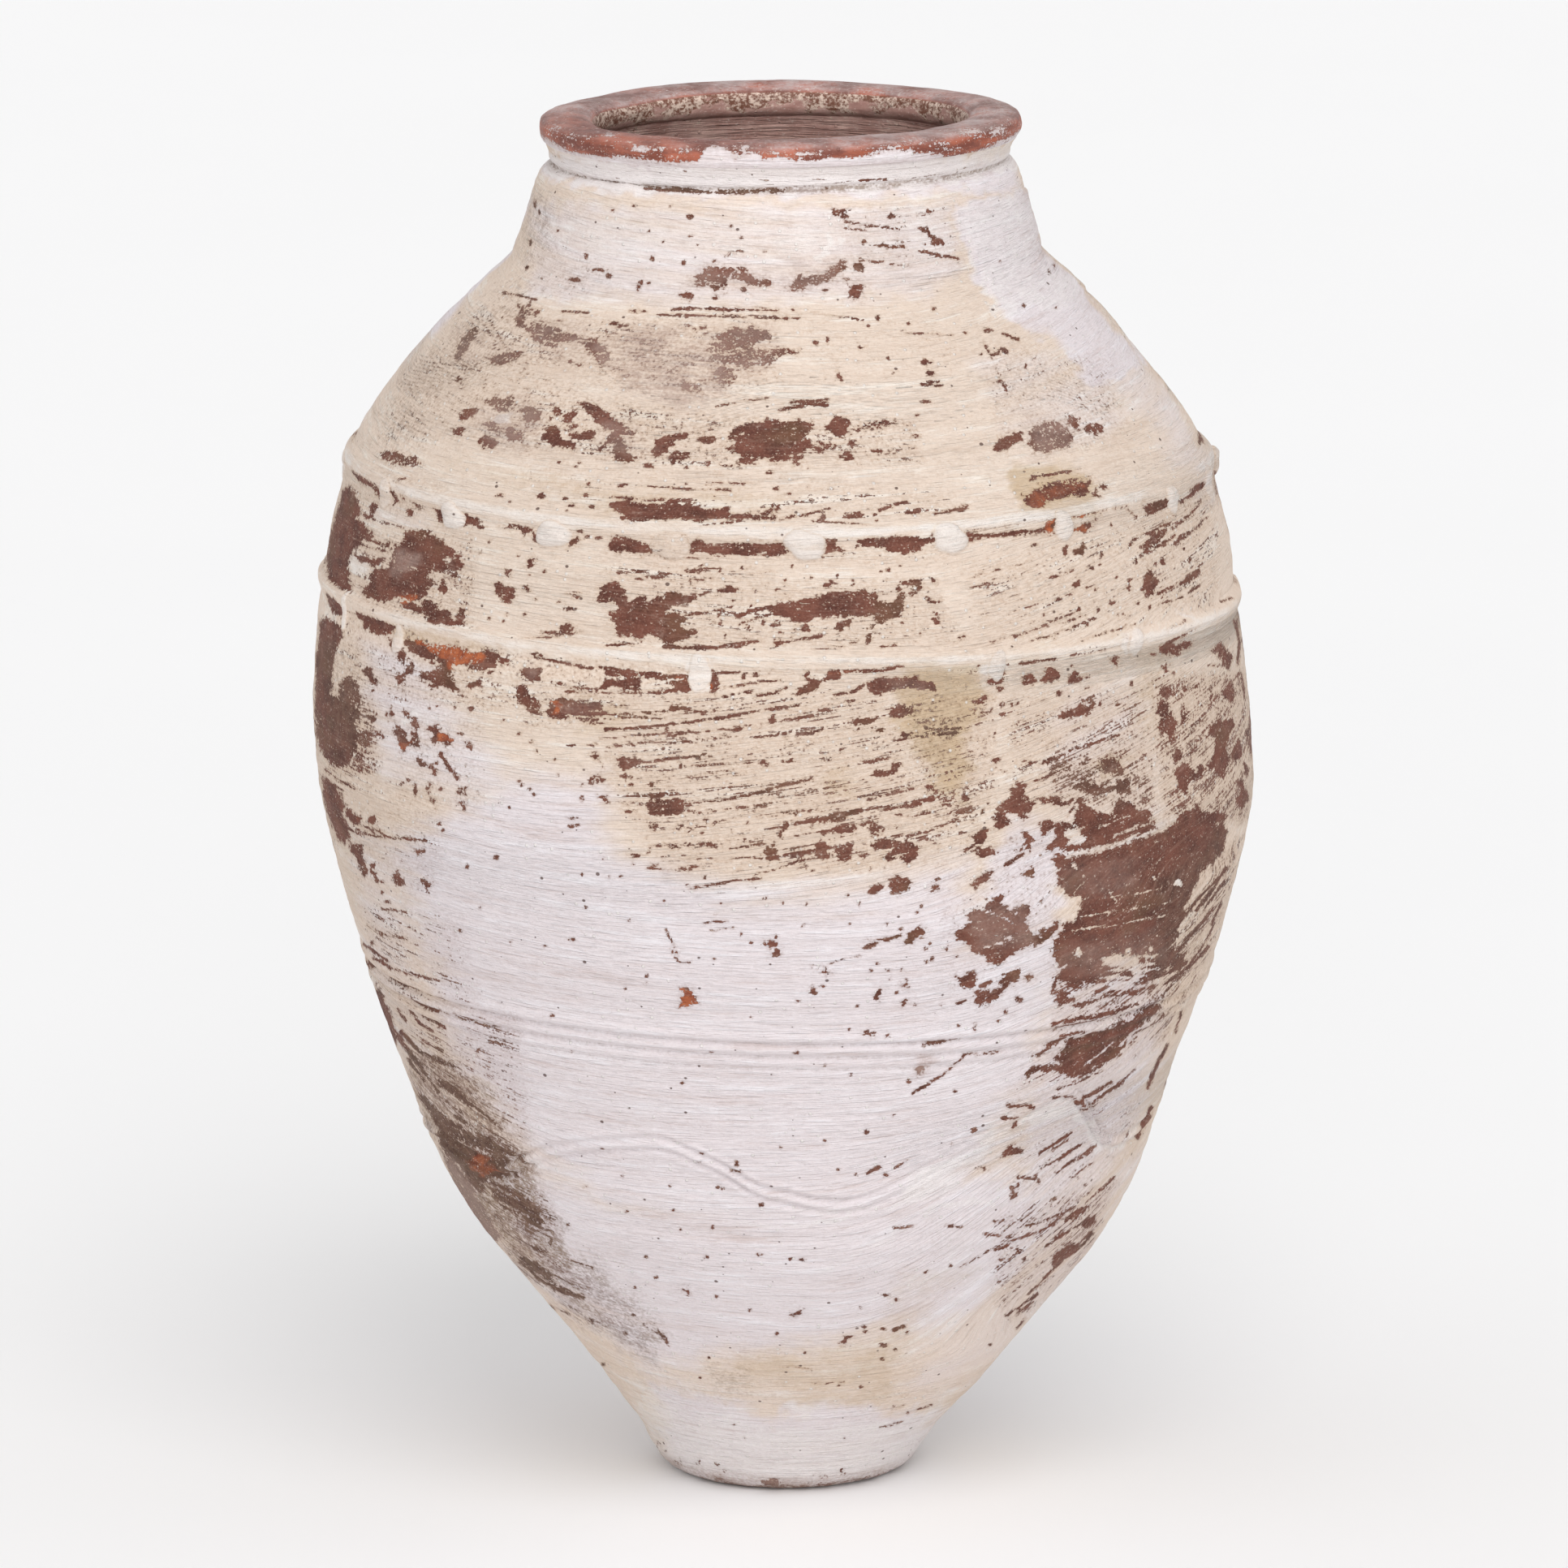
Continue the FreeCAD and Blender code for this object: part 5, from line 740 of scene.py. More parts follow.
# colour of the wash: kind, outline, strength, softness
WASH = [
    # cool white, thick
    ("cool", "670,190 1250,190 1262,240 1180,236 960,246 760,242 670,215", .75, 14),
    ("cool", "1176,262 1186,248 1215,240 1265,232 1330,300 1400,380 1430,440 1350,480 1300,420 1236,392 1203,345", .85, 14),
    ("cool", "620,960 740,960 760,1060 900,1100 1060,1100 1190,1060 1200,1160 1290,1190 1290,1330 1230,1380 1190,1500 960,1520 760,1500 640,1420 560,1300 520,1150 480,1050 560,1000", .95, 70),
    ("cool", "700,1460 1200,1480 1240,1560 1150,1620 960,1640 800,1640 720,1560", .55, 60),
    ("cool", "800,1700 960,1740 1010,1720 1160,1740 1130,1840 830,1840", .80, 30),
    ("cool", "960,1725 1000,1718 1020,1735 1000,1750 965,1748", .6, 12),
    ("cool", "1330,340 1440,440 1500,540 1500,640 1430,560 1330,440", .45, 40),
    ("cool", "480,600 540,620 540,660 460,640", .35, 30),
    ("cool", "450,770 520,800 640,960 620,1000 470,960 440,860", .55, 40),
    ("cool", "1000,1420 1150,1340 1290,1340 1290,1420 1200,1500 1050,1500", .45, 30),
    ("cool", "1340,1360 1400,1380 1370,1440 1320,1400", .5, 20),
    ("cool", "980,1150 1200,1120 1190,1230 1000,1240", .35, 30),
    ("cool", "560,1380 760,1480 1250,1440 1310,1500 1200,1620 1040,1650 900,1670 800,1690 680,1600", .85, 44),
    ("cool", "1240,1000 1310,1010 1320,1200 1240,1260 1200,1100", .7, 24),
    ("cool", "600,1480 700,1500 860,1620 1060,1640 1220,1600 1290,1560 1240,1680 1150,1740 960,1760 800,1740 680,1640", .26, 40),
    ("cool", "1260,1180 1440,1190 1440,1300 1380,1440 1290,1560 1230,1500 1260,1340", .62, 36),
    ("cool", "1290,830 1420,830 1450,1010 1400,1120 1290,1080", .35, 36),
    ("thick", "1256,1379 1280,1366 1314,1348 1322,1354 1346,1386 1362,1414 1384,1410 1402,1398 1406,1404 1386,1418 1358,1424 1338,1396 1314,1360 1286,1374 1262,1386", .75, 5),
    ("thick", "1176,262 1186,250 1215,240 1265,232 1330,300 1345,340 1320,380 1262,376 1236,390 1222,366 1211,332 1199,311 1190,290", .50, 4),
    ("cool", "1180,420 1380,440 1400,560 1230,560", .35, 30),
    ("cool", "1230,1440 1400,1380 1420,1440 1330,1600 1240,1690 1140,1740 1100,1700 1180,1600", .42, 34),
    ("cool", "420,1000 500,1020 520,1180 560,1320 640,1480 700,1620 640,1600 520,1400 450,1220", .38, 26),
    ("thick", "680,262 800,268 960,258 1020,262 1020,276 960,280 800,286 684,276", .30, 8),
    ("thick", "646,352 760,362 900,364 1020,356 1150,348 1152,358 1020,368 900,376 760,374 640,364", .34, 7),
    ("thick", "600,560 760,582 900,590 1040,588 1150,580 1150,590 1040,600 900,602 760,594 600,572", .34, 7),
    ("thick", "640,600 700,612 800,620 900,622 900,628 800,628 700,622 636,608", .40, 5),
    ("thick", "1000,706 1080,700 1160,690 1162,698 1080,710 1002,716", .34, 6),
    ("thick", "560,700 640,712 720,716 720,722 640,720 556,708", .34, 6),
    ("thick", "480,560 560,590 640,606 640,614 560,600 474,570", .32, 6),
    ("thick", "1190,560 1280,545 1380,520 1384,528 1284,556 1192,570", .30, 7),
    ("thick", "700,500 800,508 900,512 900,518 800,516 700,508", .30, 5),
    ("thick", "960,400 1040,398 1110,392 1112,400 1040,408 960,410", .32, 6),
    ("thick", "1000,452 1080,448 1180,436 1182,444 1080,458 1000,462", .32, 6),
    # bright, thick white strokes and blobs
    ("thick", "900,1504 960,1506 1030,1496 1090,1482 1140,1460 1150,1463 1096,1490 1034,1504 962,1514 904,1512", .55, 4),
    ("thick", "960,1478 1010,1488 1060,1494 1062,1500 1008,1496 958,1486", .45, 4),
    ("thick", "1000,1560 1040,1544 1090,1520 1110,1500 1116,1504 1096,1526 1046,1552 1004,1568", .40, 4),
    ("thick", "1120,1496 1160,1484 1210,1478 1240,1480 1238,1486 1206,1486 1160,1494 1126,1504", .55, 4),
    ("thick", "1060,1600 1110,1580 1160,1548 1200,1520 1204,1524 1164,1556 1114,1588 1064,1608", .35, 4),
    ("thick", "1150,1600 1200,1570 1260,1520 1300,1480 1303,1483 1264,1526 1204,1576 1154,1606", .35, 4),
    ("thick", "1180,1424 1214,1400 1250,1384 1254,1388 1218,1408 1186,1432", .50, 4),
    ("thick", "672,186 800,200 960,202 1120,198 1262,172 1262,204 1180,228 960,242 760,240 672,214", .80, 8),
    ("thick", "655,246 960,246 1176,246 1186,300 1160,340 1000,330 900,330 760,340 655,320", .34, 30),
    # whiter wash on the foot: its own thick wash, raised further as painted light on the foot, which the lamps leave
    # dim
    ("thick", "820,1770 960,1790 1120,1770 1150,1800 1120,1830 960,1836 820,1830 790,1800", .80, 20),
    ("thick", "760,1690 860,1740 980,1752 1110,1744 1180,1700 1150,1800 960,1820 800,1800", .68, 24),
    ("thick", "690,262 800,250 960,252 1010,262 1030,290 1020,316 985,330 900,322 800,330 720,330 680,300", .42, 22),
    ("thick", "1030,285 1034,300 1026,316 1012,324 1008,318 1020,308 1024,292", .9, 5),
    ("cool", "650,245 1180,245 1190,330 1150,370 900,380 650,372", .50, 26),
    ("thick", "1196,300 1206,345 1218,340 1225,385 1218,388 1206,350 1192,318", .8, 7),
    ("thick", "618,505 632,502 636,518 625,524 616,518", .9, 6),
    ("thick", "1110,1450 1180,1420 1230,1380 1240,1385 1200,1440 1140,1480 1100,1480", .7, 16),
    ("thick", "1270,1372 1320,1366 1322,1378 1276,1386", .8, 8),
    ("thick", "1340,1395 1360,1415 1385,1408 1384,1418 1358,1424 1338,1406", .8, 6),
    ("thick", "1110,1470 1170,1450 1180,1470 1120,1488", .5, 10),
    ("thick", "1240,955 1256,970 1246,975 1236,962", .5, 8),
    ("thick", "965,1728 1000,1720 1012,1736 990,1748", .6, 10),
    ("thick", "485,880 505,868 520,878 510,884 490,890", .8, 5),
    ("thick", "1446,1085 1460,1084 1460,1096 1448,1096", .9, 5),
    ("thick", "1324,1170 1334,1168 1334,1180 1325,1180", .9, 5),
    ("thick", "430,690 460,690 460,700 432,704", .6, 7),
    ("thick", "846,808 874,806 876,850 862,858 852,852", .8, 6),
    ("thick", "480,775 498,790 500,806 488,800", .5, 6),
    ("thick", "1212,812 1226,808 1240,826 1228,832 1216,824", .8, 6),
    ("thick", "1380,784 1402,778 1406,800 1390,806 1384,796", .8, 6),
    ("thick", "1446,748 1470,756 1478,770 1464,772", .7, 7),
    ("thick", "860,176 960,178 1020,184 1020,190 860,192", .5, 6),
    ("thick", "1300,1020 1330,1012 1336,1028 1312,1036", .6, 8),
    # ochre and honey stains
    ("ochre", "520,560 760,590 960,600 960,640 760,640 560,600", .40, 30),
    ("ochre", "1020,235 1160,240 1180,330 1060,330 1010,290", .22, 25),
    ("ochre", "1100,840 1130,815 1215,820 1220,870 1200,905 1196,965 1176,990 1150,975 1140,930 1110,895", .85, 20),
    ("ochre", "900,1664 1090,1650 1106,1670 1100,1735 1000,1735 930,1710 870,1700", .42, 20),
    ("ochre", "1250,570 1340,575 1350,640 1260,640", .55, 14),
    ("ochre", "440,755 560,780 620,800 600,806 500,792 440,770", .45, 10),
    ("ochre", "520,770 760,800 1000,810 1200,808 1400,770 1400,785 1200,822 960,826 700,812 520,790", .30, 14),
    ("ochre", "680,500 940,470 1000,500 800,560 680,550", .20, 40),
    ("ochre", "1100,1560 1240,1540 1180,1600 1100,1660 1080,1600", .35, 25),
    ("ochre", "1010,935 1060,945 1060,985 1015,985", .35, 14),
    ("ochre", "1380,790 1440,790 1440,900 1400,900", .35, 18),
    ("ochre", "700,860 760,860 760,905 700,905", .45, 12),
    ("ochre", "495,1105 505,1105 520,1150 508,1145", .45, 8),
    ("ochre", "560,640 760,650 760,770 600,760", .20, 30),
    ("ochre", "1350,925 1400,925 1400,965 1350,965", .5, 14),
    # thin grey-brown film over clay
    ("haze", "735,425 760,410 800,402 850,415 905,425 905,452 884,482 860,500 828,500 798,492 768,474 745,452", .95, 10),
    ("haze", "765,408 850,400 850,430 770,440", .5, 12),
    ("haze", "640,395 720,400 735,440 690,450 645,420", .55, 14),
    ("haze", "590,500 650,488 668,520 660,552 600,548", .75, 14),
    ("haze", "870,398 950,400 960,440 930,470 870,455", .55, 14),
    ("haze", "1262,512 1322,512 1322,560 1268,562", .65, 12),
    ("haze", "740,520 800,525 800,560 750,560", .5, 12),
    ("haze", "702,868 724,858 752,862 746,876 722,884 706,880", .25, 12),
    ("haze", "480,680 515,680 512,700 485,702", .9, 8),
    ("haze", "850,332 950,332 950,352 850,352", .45, 8),
    ("haze", "965,320 1045,318 1030,350 970,356", .45, 8),
    ("haze", "560,402 650,430 645,452 560,446", .5, 12),
    ("haze", "1185,1120 1270,1115 1275,1165 1200,1175", .45, 12),
    ("haze", "1310,1165 1420,1150 1440,1180 1350,1200 1310,1195", .40, 14),
    ("haze", "1310,1065 1400,1060 1400,1100 1330,1110", .30, 16),
    ("haze", "648,822 660,816 674,824 668,836 654,840", .45, 9),
    ("haze", "1076,842 1110,838 1150,842 1140,850 1100,849", .3, 8),
    ("haze", "546,1425 566,1440 590,1480 622,1528 606,1540 580,1508 554,1466", .85, 7),
    ("haze", "1120,1306 1142,1304 1142,1324 1122,1324", .9, 6),
    # dark grime and shade in the wash
    ("grime_and_shade", "640,320 760,330 760,360 640,370", .25, 20),
    ("grime_and_shade", "640,230 690,225 680,330 635,330", .45, 16),
    ("grime_and_shade", "480,480 560,380 640,320 680,360 600,470 500,560 450,545", .40, 40),
    ("grime_and_shade", "500,1290 560,1300 640,1400 690,1500 720,1600 640,1570 560,1460 505,1350", .85, 16),
    ("grime_and_shade", "540,1380 600,1400 640,1460 600,1480 550,1440", .95, 14),
    ("grime_and_shade", "400,780 450,800 470,880 440,940 400,900", .35, 22),
    ("grime_and_shade", "640,1510 740,1552 830,1640 806,1690 720,1644 656,1572", .62, 26),
    ("grime_and_shade", "640,1590 760,1640 860,1700 1000,1700 860,1760 740,1680", .28, 40),
    ("grime_and_shade", "870,1680 930,1675 940,1710 880,1715", .40, 14),
    ("grime_and_shade", "500,900 540,900 520,1120 500,1120", .22, 14),
    ("grime_and_shade", "740,850 1140,850 1150,1060 800,1060", .18, 40),
    ("grime_and_shade", "1100,845 1200,850 1200,950 1140,950", .45, 20),
    ("grime_and_shade", "1300,930 1420,930 1420,990 1300,990", .35, 20),
    ("grime_and_shade", "1420,1080 1530,1000 1520,1100 1440,1290 1400,1340", .30, 24),
    ("grime_and_shade", "1240,1420 1330,1410 1330,1460 1250,1480", .16, 24),
    # rust-red and orange clay
    ("rust", "503,784 540,790 585,802 592,812 575,820 548,812 515,796", 1.0, 6),
    ("rust", "545,812 562,812 562,832 550,832", .9, 6),
    ("ochre", "1250,574 1300,570 1340,578 1352,600 1340,625 1300,632 1256,630 1244,600", .8, 12),
    ("rust", "1256,604 1285,596 1312,592 1346,595 1350,606 1330,616 1312,618 1298,624 1284,630 1266,626 1256,616", .42, 7),
    ("rust", "1285,640 1305,638 1302,658 1288,656", .9, 6), ("rust", "1310,636 1350,640 1348,656 1320,656", .6, 7),
    ("rust", "838,1212 850,1212 862,1238 834,1244", 1.0, 5),
    ("rust", "684,862 696,862 696,880 686,880", .9, 5), ("rust", "494,905 512,905 512,925 498,925", .65, 6),
    ("rust", "535,895 555,900 556,915 538,912", .8, 6), ("rust", "496,728 510,728 508,742 498,742", .8, 5),
    ("rust", "480,780 500,790 500,800 482,795", .5, 6), ("rust", "870,836 880,836 878,852 871,850", .9, 5),
    ("rust", "975,836 1000,832 1000,850 980,850", .45, 6), ("rust", "574,632 584,634 584,650 576,650", .4, 6),
    ("rust", "1010,832 1040,828 1040,836 1012,838", .4, 6), ("rust", "572,1424 590,1416 626,1444 592,1450", .55, 6),
    ("rust", "832,834 850,836 848,846 834,845", .6, 5), ("rust", "432,1000 446,1000 444,1014 434,1014", .4, 6),
    ("rust", "936,1822 958,1822 956,1831 940,1831", .5, 6),
]

# clay shows right through in these: outline of a painted patch with rusty block under stain
RUST_BARE = [
    ("1255,606 1268,606 1280,600 1300,594 1320,594 1345,592 1344,604 1335,612 1318,610 1308,614 1296,618 1288,624 1270,628 1262,620", .80, 4),
    ("505,788 520,790 545,794 570,798 588,806 584,818 560,820 556,830 548,834 544,812 530,804 512,800", .92, 3),
]
PATCHES += RUST_BARE


def fuzz(u, v, cu, cv, seed):
    """value noise on the frame plane, cells cu by cv pixels, about -1..1"""
    grid = np.random.default_rng(900 + seed).uniform(-1, 1, (256, 256))
    a, b = u / cu + 40.0, v / cv + 40.0
    ia, ib = np.floor(a).astype(int), np.floor(b).astype(int)
    fa, fb = a - ia, b - ib
    fa, fb = fa * fa * (3 - 2 * fa), fb * fb * (3 - 2 * fb)
    i0, i1, j0, j1 = ia % 256, (ia + 1) % 256, ib % 256, (ib + 1) % 256
    return (grid[j0, i0] * (1 - fa) + grid[j0, i1] * fa) * (1 - fb) + (grid[j1, i0] * (1 - fa) + grid[j1, i1] * fa) * fb


def px_fields(u, v, a):
    """all listed fields at frame pixels u, v; a is the bearing. The raggedness of the
    edges is measured along the wall, so it stays the same size on the flanks."""
    n = u.size
    q = 966.0 + 430.0 * a
    k = np.clip(np.cos(a) * 1.1, 0.22, 1)
    wu = u + k * (3.6 * fuzz(q, v, 10.0, 4.6, 1) + 2.4 * fuzz(q, v, 5.0, 3.2, 2) + 3.0 * fuzz(q, v, 24.0, 11.0, 5))
    wv = v + 2.0 * fuzz(q, v, 11.0, 5.5, 3) + 1.5 * fuzz(q, v, 5.0, 3.2, 4)
    lv = v + 0.9 * fuzz(q, v, 16.0, 6.0, 6)
    su = u + k * (12.0 * fuzz(q, v, 34.0, 15.0, 7) + 6.0 * fuzz(q, v, 13.0, 6.0, 8))
    sv = v + 7.0 * fuzz(q, v, 34.0, 15.0, 9) + 4.0 * fuzz(q, v, 13.0, 6.0, 10)
    bare = np.full(n, 0.07) + 0.03 * ramp(v, 900, 700)
    streak = np.full(n, 0.55)
    out = {k: np.zeros(n) for k in ("cool", "thick", "ochre", "haze", "grime_and_shade", "rust")}

    # look the points up by 32-pixel squares
    cu = np.floor(u / 32).astype(int)
    cv = np.floor(v / 32).astype(int)
    key = (cv + 200) * 1000 + np.clip(cu, -100, 300) + 200
    order = np.argsort(key, kind="stable")
    skey = key[order]

    def near(pts, margin):
        xs = [p[0] for p in pts]
        ys = [p[1] for p in pts]
        x0, x1 = min(xs) - margin, max(xs) + margin
        y0, y1 = min(ys) - margin, max(ys) + margin
        got = []
        for b in range(int(math.floor(y0 / 32)), int(math.floor(y1 / 32)) + 1):
            a0 = (b + 200) * 1000 + int(math.floor(x0 / 32)) + 200
            a1 = (b + 200) * 1000 + int(math.floor(x1 / 32)) + 200
            got.append(order[np.searchsorted(skey, a0, "left"):np.searchsorted(skey, a1, "right")])
        i = np.concatenate(got)
        return i[(u[i] > x0) & (u[i] < x1) & (v[i] > y0) & (v[i] < y1)]

    for text, level, st, soft in FIELDS:
        pts = poly(text)
        i = near(pts, soft)
        if not len(i):
            continue
        w = ramp(inside_poly(u[i], v[i], pts), -soft, soft)
        bare[i] = np.maximum(bare[i], 1.15 * level * w)
        streak[i] = streak[i] * (1 - w) + st * w
    for text, solid, soft in PATCHES:
        pts = poly(text)
        i = near(pts, 5.5 * soft + 4)
        if not len(i):
            continue
        d = inside_poly(wu[i], wv[i], pts)
        b = 0.5 + np.clip(d / (2.5 * soft), -0.5, 0.04 + 0.28 * solid) - 0.10 * (1 - solid)
        # small losses scattered round each patch
        b = np.maximum(b, (0.21 + 0.14 * solid) * np.exp(-np.maximum(-d, 0) / (2.3 * soft)))
        bare[i] = np.maximum(bare[i], b)
        k = ramp(b, 0.22, 0.40)
        streak[i] = streak[i] * (1 - k) + np.minimum(streak[i], 0.30) * k
    for text, half, strong in LINES:
        pts = poly(text)
        i = near(pts, 14.0)
        if not len(i):
            continue
        d = half * 0.86 + 0.5 * fuzz(q[i], v[i], 9.0, 9.0, 11) - seg_dist(u[i], lv[i], pts)
        b = 0.36 + 0.20 * strong + np.clip(d / 6.0, -0.6, 0.25)
        b = np.maximum(b, 0.22 * strong * np.exp(-np.maximum(-d, 0) / 5.0))
        bare[i] = np.maximum(bare[i], b)
        k = ramp(b, 0.25, 0.42)
        streak[i] = streak[i] * (1 - k) + 0.55 * k
    for text in DOTS.split():
        x, y, w, h = (float(q) for q in text.split(","))
        w, h = max(w * 0.82, 1.55), max(h * 0.82, 1.35)
        i = near([(x - w, y - h), (x + w, y + h)], 10.0)
        if not len(i):
            continue
        d = (1 - np.hypot((u[i] - x) / w, (v[i] - y) / h)) * min(w, h)
        b = 0.56 + np.clip(d / 5.0, -0.6, 0.26)
        bare[i] = np.maximum(bare[i], b)
        k = ramp(b, 0.25, 0.45)
        streak[i] = streak[i] * (1 - k) + 0.1 * k
    for text, half in CUTS:
        pts = poly(text)
        i = near(pts, 9.0)
        if not len(i):
            continue
        d = half + 0.6 * fuzz(q[i], v[i], 6.0, 6.0, 13) - seg_dist(u[i], lv[i], pts)
        k = np.clip(0.5 + d / 2.6, 0, 1)
        bare[i] = bare[i] * (1 - k) + 0.24 * k
    for kind, text, level, soft in WASH:
        pts = poly(text)
        i = near(pts, soft + 18)
        if not len(i):
            continue
        w = ramp(inside_poly(su[i], sv[i], pts), -soft, soft)
        out[kind][i] = np.maximum(out[kind][i], level * w)
    out["bare"] = bare
    out["streak"] = streak
    out["glow"] = np.zeros(n)
    out["comb"] = np.zeros(n)
    out["combq"] = np.zeros(n)
    return out


def surface_fields(phi, z):
    """fields on the outside surface. The far side was not photographed: it repeats the near
    side's wear turned half round and slid up or down, and the two are worn into each other
    along the flanks."""
    shape = phi.shape
    phi = phi.ravel()
    z = z.ravel()
    a = np.arctan2(np.sin(phi), np.cos(phi))
    away = np.degrees(np.abs(a))
    w = ramp(away + 6.0 * noise2(phi, z / 24.0, 30, 45) + 3.0 * noise2(phi, z / 7.0, 90, 46), 79.0, 95.0)
    f = {k: np.zeros(phi.shape) for k in FIELD_NAMES}
    near_i = np.nonzero(w < 1)[0]
    far_i = np.nonzero(w > 0)[0]
    for idx, part, back in ((near_i, 1 - w, False), (far_i, w, True)):
        if not len(idx):
            continue
        if back:
            a2 = np.arctan2(-np.sin(a[idx]), -np.cos(a[idx])) * 0.80
            z2 = z[idx] + np.where(z[idx] > 560, -0.30, 1.0) * 44.0 * ramp(z[idx], 20, 120) * (1 - ramp(z[idx], 700, 790))
        else:
            a2 = np.clip(a[idx], -math.radians(88), math.radians(88))
            z2 = z[idx]
        r = r_out(np.clip(z2, Z0, Z1))
        u, v = project(*place(a2, r, z2))
        for kind, val in px_fields(u, v, a2).items():
            f[kind][idx] += part[idx] * val
    # combed ornament: a wave on the shoulder, level bands above the beads and under the neck
    q = z - HIGH_WAVE(phi)
    wave = (1 - ramp(np.abs(q), 7.5, 10.0)) * (0.65 + 0.35 * noise2(phi, 0 * z, 9, 33))
    level_a = ramp(z, 637, 640) * (1 - ramp(z, 654, 657)) * (0.45 + 0.45 * noise2(phi, z / 9.0, 12, 34))
    level_b = ramp(z, 724, 727) * (1 - ramp(z, 741, 744)) * (0.40 + 0.40 * noise2(phi, z / 9.0, 10, 35))
    level_c = ramp(z, 560, 563) * (1 - ramp(z, 585, 589)) * (0.22 + 0.35 * noise2(phi, z / 12.0, 10, 36))
    # painted shade: darker lines of the grime field laid along the string grooves, the two incised wave lines and the
    # groove under the collar, standing in for the shade in the grooves
    for z0 in (313.0, 304.8, 297.5):
        f["grime_and_shade"] = np.maximum(f["grime_and_shade"], 0.34 * np.exp(-0.5 * ((z - z0 - tilt(phi, 0.4, 0.2)) / 1.1) ** 2))
    deg = np.degrees(np.arctan2(np.sin(phi), np.cos(phi)))
    wave_on = 0.22 * (1 - 0.7 * ramp(deg, 8, 20) * (1 - ramp(deg, 38, 50)))
    for off in (0.0, 7.6):
        f["grime_and_shade"] = np.maximum(f["grime_and_shade"], wave_on * np.exp(-0.5 * ((z - LOW_WAVE(phi) - off) / 1.0) ** 2))
    f["grime_and_shade"] = np.maximum(f["grime_and_shade"], 0.75 * np.exp(-0.5 * ((z - 791.5 - tilt(phi, 0.3, -0.2)) / 1.0) ** 2))
    band = np.maximum(np.maximum(level_a, level_b), level_c)
    f["comb"] = np.clip(np.maximum(wave, band), 0, 1)
    f["combq"] = np.where(wave > band, q, z)
    return {k: q.reshape(shape) for k, q in f.items()}


def stroke_fields():
    """psi(phi, z): distance across the brush strokes; its level lines follow the strokes"""
    ph = np.linspace(-math.pi, math.pi, 721)
    zz = np.arange(0, 830, 4.0)
    PH, ZZ = np.meshgrid(ph, zz)
    deg = np.degrees(PH)
    t = np.zeros_like(PH)
    # slope of the strokes against the level rings
    c = np.clip(np.cos(PH), 0.25, 1)
    t += 0.16 * ramp(deg, -40, 0) * ramp(ZZ, 380, 430) * (1 - ramp(ZZ, 520, 540))
    t += 0.12 * c * ramp(deg, 5, 45) * ramp(ZZ, 380, 430) * (1 - ramp(ZZ, 600, 640))
    t += 0.16 * c * ramp(deg, 5, 40) * ramp(ZZ, 530, 560) * (1 - ramp(ZZ, 590, 620))
    t += 0.46 * c * ramp(deg, 5, 50) * (1 - ramp(ZZ, 390, 440)) * ramp(ZZ, 60, 120)
    t += 0.30 * c * ramp(deg, 40, 60) * (1 - ramp(ZZ, 300, 380)) * ramp(ZZ, 60, 120)
    t += 0.34 * c * ramp(deg, 0, 22) * (1 - ramp(deg, 40, 60)) * (1 - ramp(ZZ, 225, 275)) * ramp(ZZ, 90, 140)
    t += 0.30 * c * ramp(deg, 55, 72) * ramp(ZZ, 320, 350) * (1 - ramp(ZZ, 460, 500))
    t -= 0.50 * c * (1 - ramp(deg, -60, -30)) * (1 - ramp(ZZ, 250, 320)) * ramp(ZZ, 60, 120)
    t -= 0.22 * c * (1 - ramp(deg, -70, -35)) * ramp(ZZ, 620, 660) * (1 - ramp(ZZ, 740, 780))
    t += 0.12 * c * ramp(deg, 20, 50) * ramp(ZZ, 620, 660) * (1 - ramp(ZZ, 740, 780))
    t += 0.05 * noise2(PH, ZZ / 70.0, 7, 71)
    back = ramp(np.abs(deg), 105, 140)
    t = t * (1 - back) + back * 0.22 * noise2(PH, ZZ / 90.0, 5, 72)
    r = r_out(np.clip(ZZ, Z0, Z1))
    step = np.diff(ph)[None, :] * r[:, 1:]
    total = (t[:, 1:] * step).sum(1, keepdims=True)
    wb = back[:, 1:] * step
    t[:, 1:] -= back[:, 1:] * total / wb.sum(1, keepdims=True)
    cum = np.concatenate([np.zeros((len(zz), 1)), np.cumsum(t[:, 1:] * step, 1)], 1)
    mid = cum[:, 360:361]
    return ph, zz, ZZ - (cum - mid)


_PH, _ZZ, _PSI = stroke_fields()


def psi_at(phi, z):
    a = np.arctan2(np.sin(phi), np.cos(phi))
    i = np.clip((a + math.pi) / (2 * math.pi) * 720, 0, 719.999)
    j = np.clip(z / 4.0, 0, len(_ZZ) - 1.001)
    i0, j0 = i.astype(int), j.astype(int)
    fi, fj = i - i0, j - j0
    p = _PSI
    return (p[j0, i0] * (1 - fi) + p[j0, i0 + 1] * fi) * (1 - fj) + (p[j0 + 1, i0] * (1 - fi) + p[j0 + 1, i0 + 1] * fi) * fj


# =====================================================================
# Mesh building
# =====================================================================
NTH = 1260
DS = 1.35
PHI = (np.arange(NTH) / NTH) * 2 * math.pi
FIELD_NAMES = ("bare", "streak", "cool", "thick", "ochre", "haze", "grime_and_shade", "rust", "comb", "combq", "glow")


